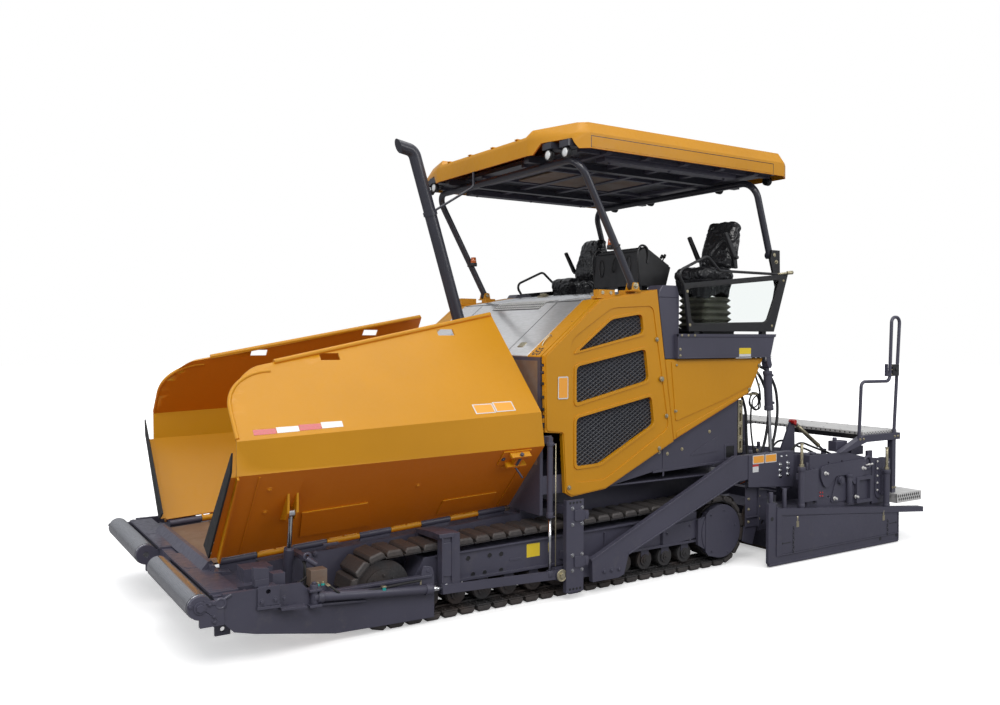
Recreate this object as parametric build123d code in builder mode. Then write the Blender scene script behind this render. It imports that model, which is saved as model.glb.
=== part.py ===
"""Tracked asphalt paver: hopper, tractor, operator platform with canopy, and a rigid screed.

Frame: +Z up, origin at the middle of the footprint on the ground, the machine faces -Y, its left is +X.
Sizes are in millimetres. Left pieces are drawn on the +X side and mirrored in the YZ plane.
"""
import os
from math import atan2, cos, degrees, hypot, pi, radians, sin, sqrt, tan

from build123d import *

os.makedirs("parts", exist_ok=True)

# ---------------------------------------------------------------- lengths along the machine
NOSE_LENGTH = 357        # push rollers' front to the hopper mouth
HOPPER_LENGTH = 2474     # hopper mouth to the wings' rear edge
BODY_LENGTH = 2700       # wings' rear edge to the operator platform's rear
TAIL_LENGTH = 2149       # platform's rear to the rear edge of the screed walkway
LENGTH = NOSE_LENGTH + HOPPER_LENGTH + BODY_LENGTH + TAIL_LENGTH
Y_NOSE = -LENGTH / 2
Y_MOUTH = Y_NOSE + NOSE_LENGTH
Y_BODY = Y_MOUTH + HOPPER_LENGTH
Y_TAIL = Y_BODY + BODY_LENGTH
Y_REAR = Y_TAIL + TAIL_LENGTH

# ---------------------------------------------------------------- widths and heights
TRACK_WIDTH_OVER = 2413  # over both tracks
SIDE_X = 1235            # outer face of the engine doors and side panels
PAVING_WIDTH = 3040      # over both end gates
CANOPY_WIDTH = 2720
CANOPY_TOP = 3920
PLATFORM_TOP = 2175      # operator's floor
HOOD_TOP = 2570          # top of the engine hood at its rear edge
SIDE_THICKNESS = 40      # engine doors and side panels
PLATE = 12               # common steel plate
MOVE_CLEARANCE = 6       # between moving neighbours
PIN_CLEARANCE = 0.05     # radial, pins in their bores


def block(x, y, z, mode=Mode.ADD):
    """A box between (low, high) pairs along each axis."""
    middle = Vector((x[0] + x[1]) / 2, (y[0] + y[1]) / 2, (z[0] + z[1]) / 2)
    with Locations(middle):
        Box(x[1] - x[0], y[1] - y[0], z[1] - z[0], mode=mode)


def plate_yz(x, points, mode=Mode.ADD):
    """A plate between two X planes, with its outline given as (y, z) corners."""
    with BuildSketch(Plane.YZ.offset(x[0])) as outline:
        with BuildLine():
            Polyline(*points, close=True)
        make_face()
    extrude(outline.sketch, amount=x[1] - x[0], mode=mode)


def plate_xz(y, points, mode=Mode.ADD):
    """A plate between two Y planes, with its outline given as (x, z) corners."""
    with BuildSketch(Plane.XZ.offset(-y[1])) as outline:
        with BuildLine():
            Polyline(*points, close=True)
        make_face()
    extrude(outline.sketch, amount=y[1] - y[0], mode=mode)


def plate_xy(z, points, mode=Mode.ADD):
    """A plate between two Z planes, with its outline given as (x, y) corners."""
    with BuildSketch(Plane.XY.offset(z[0])) as outline:
        with BuildLine():
            Polyline(*points, close=True)
        make_face()
    extrude(outline.sketch, amount=z[1] - z[0], mode=mode)


def rod(start, end, radius, mode=Mode.ADD):
    """A round bar between two points."""
    axis = Vector(*end) - Vector(*start)
    with BuildSketch(Plane(origin=Vector(*start), z_dir=axis)) as section:
        Circle(radius)
    extrude(section.sketch, amount=axis.length, mode=mode)


def rod_x(x, y, z, radius, mode=Mode.ADD):
    """A round bar along X."""
    rod((x[0], y, z), (x[1], y, z), radius, mode)


def bent_tube(points, bend_radius, tube_radius):
    """A round tube along straight runs joined by tangent bends."""
    with BuildLine() as path:
        FilletPolyline(*points, radius=bend_radius)
    with BuildSketch(Plane(origin=path.line @ 0, z_dir=path.line % 0)) as section:
        Circle(tube_radius)
    sweep(section.sketch, path=path.line)


def save(builder, name):
    """Label a finished piece and write it."""
    builder.part.label = name
    export_step(builder.part, f"parts/{name}.step")


def save_pair(left_builder, name):
    """Write a left piece and its mirror image as the right piece."""
    save(left_builder, f"{name}_left")
    with BuildPart() as right_side:
        mirror(left_builder.part, about=Plane.YZ)
    save(right_side, f"{name}_right")


# ================================================================ hinge line of the hopper wings
HINGE_X = 760
HINGE_FRONT_Y = Y_MOUTH + 24
HINGE_REAR_Y = Y_BODY - 50
HINGE_FRONT_Z = 555
HINGE_REAR_Z = 690
HINGE_SLOPE = (HINGE_REAR_Z - HINGE_FRONT_Z) / (HINGE_REAR_Y - HINGE_FRONT_Y)


def hinge_z(y):
    """Height of the hinge line at a station along the machine."""
    return HINGE_FRONT_Z + (y - HINGE_FRONT_Y) * HINGE_SLOPE


# ================================================================ tracks
SHOE_PITCH = 152
SHOE_THICKNESS = 24
CHAIN_DEPTH = 52
TRACK_SHOE_WIDTH = 305
TRACK_OUT_X = TRACK_WIDTH_OVER / 2
TRACK_IN_X = TRACK_OUT_X - TRACK_SHOE_WIDTH
IDLER_Y = Y_MOUTH + 1113
IDLER_OUTLINE = 290      # radius of the track outline round the idler
SPROCKET_Y = Y_BODY + 2078
SPROCKET_OUTLINE = 330   # radius of the track outline round the sprocket
TRACK_INNER_DEPTH = SHOE_THICKNESS + CHAIN_DEPTH


def track_path(offset):
    """Tangent points of the track outline, moved in by an offset: (y, z) pairs and both radii."""
    front_r = IDLER_OUTLINE - offset
    rear_r = SPROCKET_OUTLINE - offset
    front = (IDLER_Y, IDLER_OUTLINE)
    rear = (SPROCKET_Y, SPROCKET_OUTLINE)
    span = hypot(rear[0] - front[0], rear[1] - front[1])
    tilt = atan2(rear[1] - front[1], rear[0] - front[0])
    spread = atan2(rear_r - front_r, sqrt(span**2 - (rear_r - front_r) ** 2))
    top = tilt + spread
    low = tilt - spread
    top_front = (front[0] - front_r * sin(top), front[1] + front_r * cos(top))
    top_rear = (rear[0] - rear_r * sin(top), rear[1] + rear_r * cos(top))
    low_front = (front[0] + front_r * sin(low), front[1] - front_r * cos(low))
    low_rear = (rear[0] + rear_r * sin(low), rear[1] - rear_r * cos(low))
    return top_front, top_rear, low_rear, low_front, front_r, rear_r


def track_loop(offset):
    """The closed outline of the track, as lines and arcs in the current sketch."""
    top_front, top_rear, low_rear, low_front, front_r, rear_r = track_path(offset)
    Line(top_front, top_rear)
    ThreePointArc(top_rear, (SPROCKET_Y + rear_r, SPROCKET_OUTLINE), low_rear)
    Line(low_rear, low_front)
    ThreePointArc(low_front, (IDLER_Y - front_r, IDLER_OUTLINE), top_front)


def shoe_places(count):
    """Places of the shoes along the outline: (y, z, direction in degrees)."""
    top_front, top_rear, low_rear, low_front, front_r, rear_r = track_path(SHOE_THICKNESS)
    run = hypot(top_rear[0] - top_front[0], top_rear[1] - top_front[1])
    rise = atan2(top_rear[1] - top_front[1], top_rear[0] - top_front[0])
    fall = atan2(low_front[1] - low_rear[1], low_front[0] - low_rear[0])
    rear_sweep = (rise - fall) % (2 * pi)
    front_sweep = 2 * pi - rear_sweep
    lengths = [run, rear_r * rear_sweep, run, front_r * front_sweep]
    step = sum(lengths) / count
    places = []
    for number in range(count):
        along = (number + 0.5) * step
        if along < lengths[0]:
            y = top_front[0] + along * cos(rise)
            z = top_front[1] + along * sin(rise)
            places.append((y, z, degrees(rise)))
            continue
        along -= lengths[0]
        if along < lengths[1]:
            turn = rise - along / rear_r
            y = SPROCKET_Y - rear_r * sin(turn)
            z = SPROCKET_OUTLINE + rear_r * cos(turn)
            places.append((y, z, degrees(turn)))
            continue
        along -= lengths[1]
        if along < lengths[2]:
            y = low_rear[0] + along * cos(fall)
            z = low_rear[1] + along * sin(fall)
            places.append((y, z, degrees(fall)))
            continue
        along -= lengths[2]
        turn = fall - along / front_r
        y = IDLER_Y - front_r * sin(turn)
        z = IDLER_OUTLINE + front_r * cos(turn)
        places.append((y, z, degrees(turn)))
    return places


TRACK_LOOP_LENGTH = 2 * (SPROCKET_Y - IDLER_Y) + pi * (IDLER_OUTLINE + SPROCKET_OUTLINE)
SHOE_COUNT = round(TRACK_LOOP_LENGTH / SHOE_PITCH)

with BuildPart() as track_left:
    with BuildSketch(Plane.YZ.offset(TRACK_IN_X)) as loop_section:
        with BuildLine():
            track_loop(SHOE_THICKNESS)
        make_face()
        with BuildLine():
            track_loop(TRACK_INNER_DEPTH)
        make_face(mode=Mode.SUBTRACT)
        for shoe_y, shoe_z, shoe_turn in shoe_places(SHOE_COUNT):
            outward = Vector(-sin(radians(shoe_turn)), cos(radians(shoe_turn))) * (SHOE_THICKNESS / 2 - 1)
            with Locations(Location((shoe_y + outward.X, shoe_z + outward.Y, 0), (0, 0, shoe_turn))):
                Rectangle(SHOE_PITCH - 12, SHOE_THICKNESS + 2)
    extrude(loop_section.sketch, amount=TRACK_SHOE_WIDTH)
save_pair(track_left, "track")

# ================================================================ track frames, rollers, final drives
FRAME_IN_X = TRACK_IN_X + 40
FRAME_OUT_X = TRACK_OUT_X - 36
FRAME_BOTTOM = 262
CHASSIS_SIDE_X = 850     # outer face of the chassis beams
CHASSIS_IN_X = 700       # inner face of the chassis beams
FRAME_FRONT_Y = IDLER_Y + 90
FRAME_REAR_Y = SPROCKET_Y - 262
ROLLER_RADIUS = 88
ROLLER_Z = TRACK_INNER_DEPTH + ROLLER_RADIUS + 1
ROLLER_COUNT = 12
ROLLER_FRONT_Y = IDLER_Y + 380
ROLLER_REAR_Y = SPROCKET_Y - 400
ROLLER_PITCH = (ROLLER_REAR_Y - ROLLER_FRONT_Y) / (ROLLER_COUNT - 1)
ROLLER_STATIONS = [ROLLER_FRONT_Y + number * ROLLER_PITCH for number in range(ROLLER_COUNT)]
ROLLER_IN_X = FRAME_IN_X + 34
ROLLER_OUT_X = FRAME_OUT_X - 34
AXLE_RADIUS = 26
HANGER_THICKNESS = 20
IDLER_RADIUS = IDLER_OUTLINE - TRACK_INNER_DEPTH - 1
SPROCKET_RADIUS = SPROCKET_OUTLINE - TRACK_INNER_DEPTH - 1
CROSS_TUBE_STATIONS = [IDLER_Y + 700, SPROCKET_Y - 900]

with BuildPart() as track_frames:
    frame_top_front = IDLER_OUTLINE * 2 - TRACK_INNER_DEPTH - 22
    frame_top_rear = SPROCKET_OUTLINE * 2 - TRACK_INNER_DEPTH - 50
    plate_yz((FRAME_IN_X, FRAME_OUT_X), [(FRAME_FRONT_Y + 160, FRAME_BOTTOM), (FRAME_REAR_Y, FRAME_BOTTOM),
             (FRAME_REAR_Y, frame_top_rear), (IDLER_Y + 330, frame_top_front),
             (FRAME_FRONT_Y + 160, IDLER_OUTLINE + 60)])
    # fork cheeks that carry the idler's axle
    for cheek_x in (FRAME_IN_X, FRAME_OUT_X - HANGER_THICKNESS):
        block((cheek_x, cheek_x + HANGER_THICKNESS), (IDLER_Y - 60, FRAME_FRONT_Y + 170),
              (IDLER_OUTLINE - 60, IDLER_OUTLINE + 60))
    # hangers that carry the road rollers
    for station in ROLLER_STATIONS:
        for hanger_x in (ROLLER_IN_X - HANGER_THICKNESS, ROLLER_OUT_X):
            block((hanger_x, hanger_x + HANGER_THICKNESS), (station - 45, station + 45),
                  (ROLLER_Z - 34, FRAME_BOTTOM + 4))
    # cross tubes to the chassis beams
    for station in CROSS_TUBE_STATIONS:
        block((CHASSIS_SIDE_X, FRAME_IN_X + 10), (station - 110, station + 110), (FRAME_BOTTOM + 20, 430))
    # reach plate to the final drive
    block((FRAME_IN_X, FRAME_IN_X + 30), (FRAME_REAR_Y - 5, SPROCKET_Y), (FRAME_BOTTOM, 420))
    mirror(about=Plane.YZ)
save(track_frames, "track_frames")

with BuildPart() as track_rollers:
    for station in ROLLER_STATIONS:
        rod_x((ROLLER_IN_X, ROLLER_OUT_X), station, ROLLER_Z, ROLLER_RADIUS)
    rod_x((FRAME_IN_X + HANGER_THICKNESS, FRAME_OUT_X - HANGER_THICKNESS), IDLER_Y, IDLER_OUTLINE, IDLER_RADIUS)
    rod_x((FRAME_IN_X + 30, FRAME_OUT_X - 30), SPROCKET_Y, SPROCKET_OUTLINE, SPROCKET_RADIUS)
    mirror(about=Plane.YZ)
save(track_rollers, "track_rollers")

COVER_RADIUS = 250
COVER_OUT_X = TRACK_OUT_X + 24
with BuildPart() as final_drive_covers:
    # round gear housing with a flat tapered arm that reaches forward along the frame
    with BuildSketch(Plane.YZ.offset(FRAME_OUT_X)) as cover_outline:
        with Locations((SPROCKET_Y, SPROCKET_OUTLINE + 4)):
            Circle(COVER_RADIUS)
        with BuildLine():
            Polyline((SPROCKET_Y, SPROCKET_OUTLINE - 212), (SPROCKET_Y - 190, SPROCKET_OUTLINE - 170),
                     (SPROCKET_Y - 190, SPROCKET_OUTLINE + 190), (SPROCKET_Y, SPROCKET_OUTLINE + 240), close=True)
        make_face()
    extrude(cover_outline.sketch, amount=COVER_OUT_X - FRAME_OUT_X)
    plate_yz((FRAME_OUT_X, FRAME_OUT_X + 22), [(SPROCKET_Y - 700, FRAME_BOTTOM + 5),
             (SPROCKET_Y - 180, FRAME_BOTTOM + 45), (SPROCKET_Y - 180, frame_top_rear - 60),
             (SPROCKET_Y - 700, frame_top_rear - 95)])
    rod_x((FRAME_OUT_X - 30, FRAME_OUT_X), SPROCKET_Y, SPROCKET_OUTLINE, 120)
    mirror(about=Plane.YZ)
save(final_drive_covers, "final_drive_covers")

# ================================================================ chassis frame and conveyor
CHASSIS_FRONT_Y = Y_MOUTH + 300
CHASSIS_REAR_Y = Y_TAIL - 372
CHASSIS_BOTTOM = 250
HINGE_TO_BEAM = 42       # the beams' top lies this far under the hinge line
KNUCKLE_RADIUS = 26
HINGE_PIN_RADIUS = 14
KNUCKLE_COUNT = 9        # chassis and wing knuckles in turn along the hinge line
KNUCKLE_GAP = 4
DECK_BELOW_HINGE = 20    # top of the conveyor deck under the hinge line
DECK_THICKNESS = 16
DECK_HALF_WIDTH = 690
BUMPER_BLOCK_TOP = 480
BULKHEAD_Y = Y_BODY + 24
BULKHEAD_THICKNESS = 30
TUNNEL_TOP = 1090
TUNNEL_ROOF = 30

HINGE_START = Vector(HINGE_X, HINGE_FRONT_Y, HINGE_FRONT_Z)
HINGE_END = Vector(HINGE_X, HINGE_REAR_Y, HINGE_REAR_Z)
HINGE_AXIS = (HINGE_END - HINGE_START).normalized()
HINGE_LENGTH = (HINGE_END - HINGE_START).length
KNUCKLE_PITCH = HINGE_LENGTH / KNUCKLE_COUNT


def knuckles(first):
    """Every second knuckle of the hinge line, as short tubes round the pin."""
    for number in range(first, KNUCKLE_COUNT, 2):
        start = HINGE_START + HINGE_AXIS * (number * KNUCKLE_PITCH + KNUCKLE_GAP / 2)
        end = HINGE_START + HINGE_AXIS * ((number + 1) * KNUCKLE_PITCH - KNUCKLE_GAP / 2)
        rod(start, end, KNUCKLE_RADIUS)


def beam_top(y):
    """Top of the chassis beams at a station."""
    return hinge_z(y) - HINGE_TO_BEAM


with BuildPart() as chassis_frame:
    # hollow side beams under the hinge lines, then on to the rear as the conveyor tunnel's walls
    plate_yz((CHASSIS_IN_X, CHASSIS_SIDE_X), [(CHASSIS_FRONT_Y, CHASSIS_BOTTOM + 120),
             (CHASSIS_FRONT_Y + 300, CHASSIS_BOTTOM), (CHASSIS_REAR_Y, CHASSIS_BOTTOM),
             (CHASSIS_REAR_Y, TUNNEL_TOP), (BULKHEAD_Y + BULKHEAD_THICKNESS, TUNNEL_TOP),
             (BULKHEAD_Y + BULKHEAD_THICKNESS, beam_top(BULKHEAD_Y)), (CHASSIS_FRONT_Y, beam_top(CHASSIS_FRONT_Y))])
    plate_yz((CHASSIS_IN_X + PLATE, CHASSIS_SIDE_X - PLATE), [(CHASSIS_FRONT_Y + 320, CHASSIS_BOTTOM + PLATE),
             (CHASSIS_REAR_Y - PLATE, CHASSIS_BOTTOM + PLATE), (CHASSIS_REAR_Y - PLATE, beam_top(Y_BODY) - 40),
             (Y_BODY, beam_top(Y_BODY) - 40), (CHASSIS_FRONT_Y + 320, beam_top(CHASSIS_FRONT_Y) - 40)],
             mode=Mode.SUBTRACT)
    # webs that carry the chassis knuckles, the first one standing on the bumper's block
    plate_yz((HINGE_X - 10, HINGE_X + 10), [(HINGE_FRONT_Y + KNUCKLE_GAP, BUMPER_BLOCK_TOP),
             (HINGE_FRONT_Y + KNUCKLE_PITCH - 8, BUMPER_BLOCK_TOP),
             (HINGE_FRONT_Y + KNUCKLE_PITCH - 8, HINGE_FRONT_Z + 10), (HINGE_FRONT_Y + KNUCKLE_GAP, HINGE_FRONT_Z)])
    for number in range(2, KNUCKLE_COUNT, 2):
        web_front = HINGE_FRONT_Y + (number * KNUCKLE_PITCH + KNUCKLE_GAP) * HINGE_AXIS.Y
        web_rear = HINGE_FRONT_Y + ((number + 1) * KNUCKLE_PITCH - KNUCKLE_GAP) * HINGE_AXIS.Y
        plate_yz((HINGE_X - 10, HINGE_X + 10), [(web_front, beam_top(web_front) - 4),
                 (web_rear, beam_top(web_rear) - 4), (web_rear, hinge_z(web_rear)),
                 (web_front, hinge_z(web_front))])
    knuckles(0)
    rod(HINGE_START, HINGE_END, HINGE_PIN_RADIUS)
    mirror(about=Plane.YZ)
    # cross members and the tunnel's roof
    block((-CHASSIS_IN_X - 2, CHASSIS_IN_X + 2), (CHASSIS_FRONT_Y + 400, CHASSIS_FRONT_Y + 520),
          (CHASSIS_BOTTOM, CHASSIS_BOTTOM + 120))
    block((-CHASSIS_IN_X - 2, CHASSIS_IN_X + 2), (Y_BODY - 300, CHASSIS_REAR_Y - 200),
          (CHASSIS_BOTTOM, CHASSIS_BOTTOM + 20))
    block((-CHASSIS_SIDE_X, CHASSIS_SIDE_X), (BULKHEAD_Y + BULKHEAD_THICKNESS, CHASSIS_REAR_Y),
          (TUNNEL_TOP - TUNNEL_ROOF, TUNNEL_TOP))
save(chassis_frame, "chassis_frame")


def deck_z(y):
    """Top of the conveyor deck at a station."""
    return hinge_z(y) - DECK_BELOW_HINGE


DECK_FRONT_Y = Y_MOUTH - 6
DECK_REAR_Y = CHASSIS_REAR_Y - 30
with BuildPart() as conveyor_deck:
    plate_yz((-DECK_HALF_WIDTH, DECK_HALF_WIDTH), [(DECK_FRONT_Y, deck_z(DECK_FRONT_Y) - DECK_THICKNESS),
             (DECK_REAR_Y, deck_z(DECK_REAR_Y) - DECK_THICKNESS), (DECK_REAR_Y, deck_z(DECK_REAR_Y)),
             (DECK_FRONT_Y, deck_z(DECK_FRONT_Y))])
    # ledges on the chassis beams, and the legs of the deck's overhanging front
    plate_yz((DECK_HALF_WIDTH - 40, CHASSIS_IN_X), [(CHASSIS_FRONT_Y + 30, deck_z(CHASSIS_FRONT_Y + 30) - 46),
             (DECK_REAR_Y, deck_z(DECK_REAR_Y) - 46), (DECK_REAR_Y, deck_z(DECK_REAR_Y) - DECK_THICKNESS),
             (CHASSIS_FRONT_Y + 30, deck_z(CHASSIS_FRONT_Y + 30) - DECK_THICKNESS)])
    plate_yz((-CHASSIS_IN_X, -DECK_HALF_WIDTH + 40), [(CHASSIS_FRONT_Y + 30, deck_z(CHASSIS_FRONT_Y + 30) - 46),
             (DECK_REAR_Y, deck_z(DECK_REAR_Y) - 46), (DECK_REAR_Y, deck_z(DECK_REAR_Y) - DECK_THICKNESS),
             (CHASSIS_FRONT_Y + 30, deck_z(CHASSIS_FRONT_Y + 30) - DECK_THICKNESS)])
save(conveyor_deck, "conveyor_deck")

SLAT_STEP = 330
SLAT_HEIGHT = 14
CHAIN_COVER_HALF = 60    # raised cover between the two conveyors
with BuildPart() as conveyor_slats:
    # two chains of flat bars on each side of the middle cover, seated on the deck
    slat_start = DECK_FRONT_Y + 330
    slat_total = int((DECK_REAR_Y - 60 - slat_start) / SLAT_STEP)
    chain_end = slat_start + slat_total * SLAT_STEP + 40
    for chain_x in (CHAIN_COVER_HALF + 60, DECK_HALF_WIDTH - 90):
        plate_yz((chain_x, chain_x + 34), [(slat_start, deck_z(slat_start)), (chain_end, deck_z(chain_end)),
                 (chain_end, deck_z(chain_end) + SLAT_HEIGHT + 6), (slat_start, deck_z(slat_start) + SLAT_HEIGHT + 6)])
    for number in range(slat_total + 1):
        slat_y = slat_start + number * SLAT_STEP
        plate_yz((CHAIN_COVER_HALF + 30, DECK_HALF_WIDTH - 30), [(slat_y, deck_z(slat_y)),
                 (slat_y + 40, deck_z(slat_y + 40)), (slat_y + 40, deck_z(slat_y + 40) + SLAT_HEIGHT),
                 (slat_y, deck_z(slat_y) + SLAT_HEIGHT)])
    mirror(about=Plane.YZ)
    plate_yz((-CHAIN_COVER_HALF, CHAIN_COVER_HALF), [(slat_start, deck_z(slat_start)),
             (DECK_REAR_Y, deck_z(DECK_REAR_Y)), (DECK_REAR_Y, deck_z(DECK_REAR_Y) + 70),
             (slat_start + 250, deck_z(slat_start + 250) + 70), (slat_start, deck_z(slat_start) + 10)])
save(conveyor_slats, "conveyor_slats")

# ================================================================ front bumper and push rollers
ROLLER_END_X = 1388
ROLLER_START_X = 232
PUSH_RADIUS = 80
PUSH_Y = Y_NOSE + PUSH_RADIUS
PUSH_Z = 445
PUSH_AXLE = 22
BRACKET_THICKNESS = 34
BRACKET_GAP = 4
BUMPER_TOP = 505
TOW_EYE_RADIUS = 16
TOW_EYE = (PUSH_Y + 170, 255)
BUMPER_BACK_Y = DECK_FRONT_Y
LIP_HALF_WIDTH = 745
GUARD_X = 1412           # outer face at the bumper's corner
GUARD_NARROW_X = SIDE_X + 12
GUARD_REAR_Y = IDLER_Y + 375

with BuildPart() as front_bumper:
    # beam behind the rollers with platform plates on top
    block((0, ROLLER_END_X - 20), (PUSH_Y + 100, BUMPER_BACK_Y), (290, BUMPER_TOP - 16))
    block((130, ROLLER_END_X - 60), (PUSH_Y + 84, BUMPER_BACK_Y), (BUMPER_TOP - 18, BUMPER_TOP))
    # sloped lip in front of the conveyor floor
    plate_yz((0, LIP_HALF_WIDTH), [(BUMPER_BACK_Y - 96, BUMPER_TOP - 4), (BUMPER_BACK_Y, BUMPER_TOP - 4),
             (BUMPER_BACK_Y, deck_z(DECK_FRONT_Y)), (BUMPER_BACK_Y - 16, hinge_z(Y_MOUTH) + 12),
             (BUMPER_BACK_Y - 44, hinge_z(Y_MOUTH) + 10)])
    # roller brackets
    for bracket_x in (ROLLER_START_X - BRACKET_GAP - BRACKET_THICKNESS, ROLLER_END_X + BRACKET_GAP):
        rod_x((bracket_x, bracket_x + BRACKET_THICKNESS), PUSH_Y + 4, PUSH_Z - 2, PUSH_RADIUS - 4)
        block((bracket_x, bracket_x + BRACKET_THICKNESS), (PUSH_Y, PUSH_Y + 150), (PUSH_Z - 130, PUSH_Z + 30))
    # side blocks that join the beam to the chassis beams
    block((HINGE_X - 12, ROLLER_END_X - 190), (BUMPER_BACK_Y - 5, CHASSIS_FRONT_Y), (300, BUMPER_BLOCK_TOP))
    block((960, 1130), (Y_MOUTH + 90, Y_MOUTH + 290), (BUMPER_BLOCK_TOP - 10, BUMPER_BLOCK_TOP + 90))
    # outer ends that carry the roller brackets, and the lashing eyes under the beam
    block((ROLLER_END_X - 20, ROLLER_END_X + BRACKET_GAP + BRACKET_THICKNESS), (PUSH_Y + 100, PUSH_Y + 150),
          (PUSH_Z - 130, PUSH_Z + 30))
    block((1300, 1322), (PUSH_Y + 120, PUSH_Y + 220), (TOW_EYE[1] - 40, 300))
    rod_x((1290, 1330), TOW_EYE[0], TOW_EYE[1], TOW_EYE_RADIUS, mode=Mode.SUBTRACT)
    mirror(about=Plane.YZ)
    for side in (1, -1):
        for pin_x in (ROLLER_START_X - BRACKET_GAP - BRACKET_THICKNESS, ROLLER_END_X + BRACKET_GAP):
            low_x = min(side * pin_x, side * (pin_x + BRACKET_THICKNESS)) - 5
            rod_x((low_x, low_x + BRACKET_THICKNESS + 10), PUSH_Y, PUSH_Z, PUSH_AXLE + PIN_CLEARANCE,
                  mode=Mode.SUBTRACT)
save(front_bumper, "front_bumper")

with BuildPart() as push_roller_left:
    rod_x((ROLLER_START_X, ROLLER_END_X), PUSH_Y, PUSH_Z, PUSH_RADIUS)
    rod_x((ROLLER_START_X - BRACKET_GAP - BRACKET_THICKNESS + 2, ROLLER_END_X + BRACKET_GAP + BRACKET_THICKNESS - 2),
          PUSH_Y, PUSH_Z, PUSH_AXLE)
save_pair(push_roller_left, "push_roller")

with BuildPart() as front_guards:
    # plate along the outside: straight at the corner, angled in, then straight beside the track
    plate_xy((20, BUMPER_TOP), [(GUARD_X, PUSH_Y + 150), (GUARD_X, Y_MOUTH + 80), (GUARD_NARROW_X, Y_MOUTH + 690),
             (GUARD_NARROW_X, GUARD_REAR_Y), (GUARD_NARROW_X - PLATE, GUARD_REAR_Y),
             (GUARD_NARROW_X - PLATE, Y_MOUTH + 690), (GUARD_X - 26, Y_MOUTH + 80),
             (ROLLER_END_X - 20, PUSH_Y + 190), (ROLLER_END_X - 20, PUSH_Y + 150)])
    plate_yz((900, GUARD_X + 20), [(PUSH_Y + 140, 330), (Y_MOUTH - 60, 250), (Y_MOUTH + 700, 60), (GUARD_REAR_Y, 45),
             (GUARD_REAR_Y, 366), (Y_MOUTH + 700, 366), (Y_MOUTH + 640, 420), (Y_MOUTH + 480, 420),
             (Y_MOUTH + 420, 480), (Y_MOUTH + 130, 505), (PUSH_Y + 140, 505)], mode=Mode.INTERSECT)
    # ribs that hold the plate to the blocks and the chassis beam
    block((ROLLER_END_X - 190, GUARD_X - 20), (Y_MOUTH + 60, Y_MOUTH + 76), (300, 460))
    block((CHASSIS_SIDE_X, GUARD_NARROW_X + 20), (Y_MOUTH + 560, Y_MOUTH + 580), (200, 360))
    mirror(about=Plane.YZ)
save(front_guards, "front_guards")

# ================================================================ hopper wings
WING_THICKNESS = 14
PANEL_START = 36         # distance from the hinge axis to the panel's lower edge
RIM_RADIUS = 20
# outline of the left wing at the mouth and at its rear edge: (x, z) at the four bends
WING_FRONT = [(HINGE_X + 24, HINGE_FRONT_Z + 27), (1270, 1228), (1280, 1460), (892, 1891)]
WING_REAR = [(HINGE_X + 26, HINGE_REAR_Z + 30), (1304, 1276), (1292, 1550), (627, 2363)]
WING_REAR_LEAN = 120     # the rear edge's top lies this far ahead of its foot
WING_REAR_GAP = 14       # the opened door passes behind the lowered wing here
MOUTH_ARC_START = 1500   # height where the mouth's edge starts to curve back
MOUTH_ARC_MIDDLE = (62, 1775)
MOUTH_ARC_END = (394, 1968)
FLANGE_WIDTH = 50
FLAP_THICKNESS = 14
FLAP_AHEAD = 60


def wing_section(y):
    """The wing's outer (x, z) corners at a station, between its mouth and rear sections."""
    share = (y - Y_MOUTH) / HOPPER_LENGTH
    return [(front[0] + (rear[0] - front[0]) * share, front[1] + (rear[1] - front[1]) * share)
            for front, rear in zip(WING_FRONT, WING_REAR)]


def inset(corners, depth):
    """An open line of (x, z) corners moved towards the hopper's inside by a depth."""
    moved = []
    for index, corner in enumerate(corners):
        normals = []
        for low, high in ((index - 1, index), (index, index + 1)):
            if low >= 0 and high < len(corners):
                run_x = corners[high][0] - corners[low][0]
                run_z = corners[high][1] - corners[low][1]
                size = hypot(run_x, run_z)
                normals.append((-run_z / size, run_x / size))
        mean = (sum(n[0] for n in normals) / len(normals), sum(n[1] for n in normals) / len(normals))
        scale = depth / (mean[0] ** 2 + mean[1] ** 2)
        moved.append((corner[0] + mean[0] * scale, corner[1] + mean[1] * scale))
    return moved


# hopper cylinder: base on the chassis beam, rod's eye under the wing's lower panel
HOPPER_CYL_Y = CHASSIS_FRONT_Y + 133
HOPPER_CYL_BASE = (905, 330)
HOPPER_EYE_X = 1050
EYE_TO_PANEL = 50
EYE_RADIUS = 28
EYE_HALF_WIDTH = 20
LUG_THICKNESS = 16
LUG_GAP = 5

cyl_section = wing_section(HOPPER_CYL_Y)
panel_run = Vector(cyl_section[1][0] - cyl_section[0][0], cyl_section[1][1] - cyl_section[0][1]).normalized()
panel_in = Vector(-panel_run.Y, panel_run.X)
eye_share = (HOPPER_EYE_X - cyl_section[0][0]) / (cyl_section[1][0] - cyl_section[0][0])
eye_surface = Vector(HOPPER_EYE_X, cyl_section[0][1] + eye_share * (cyl_section[1][1] - cyl_section[0][1]))
HOPPER_EYE = eye_surface - panel_in * EYE_TO_PANEL

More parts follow.
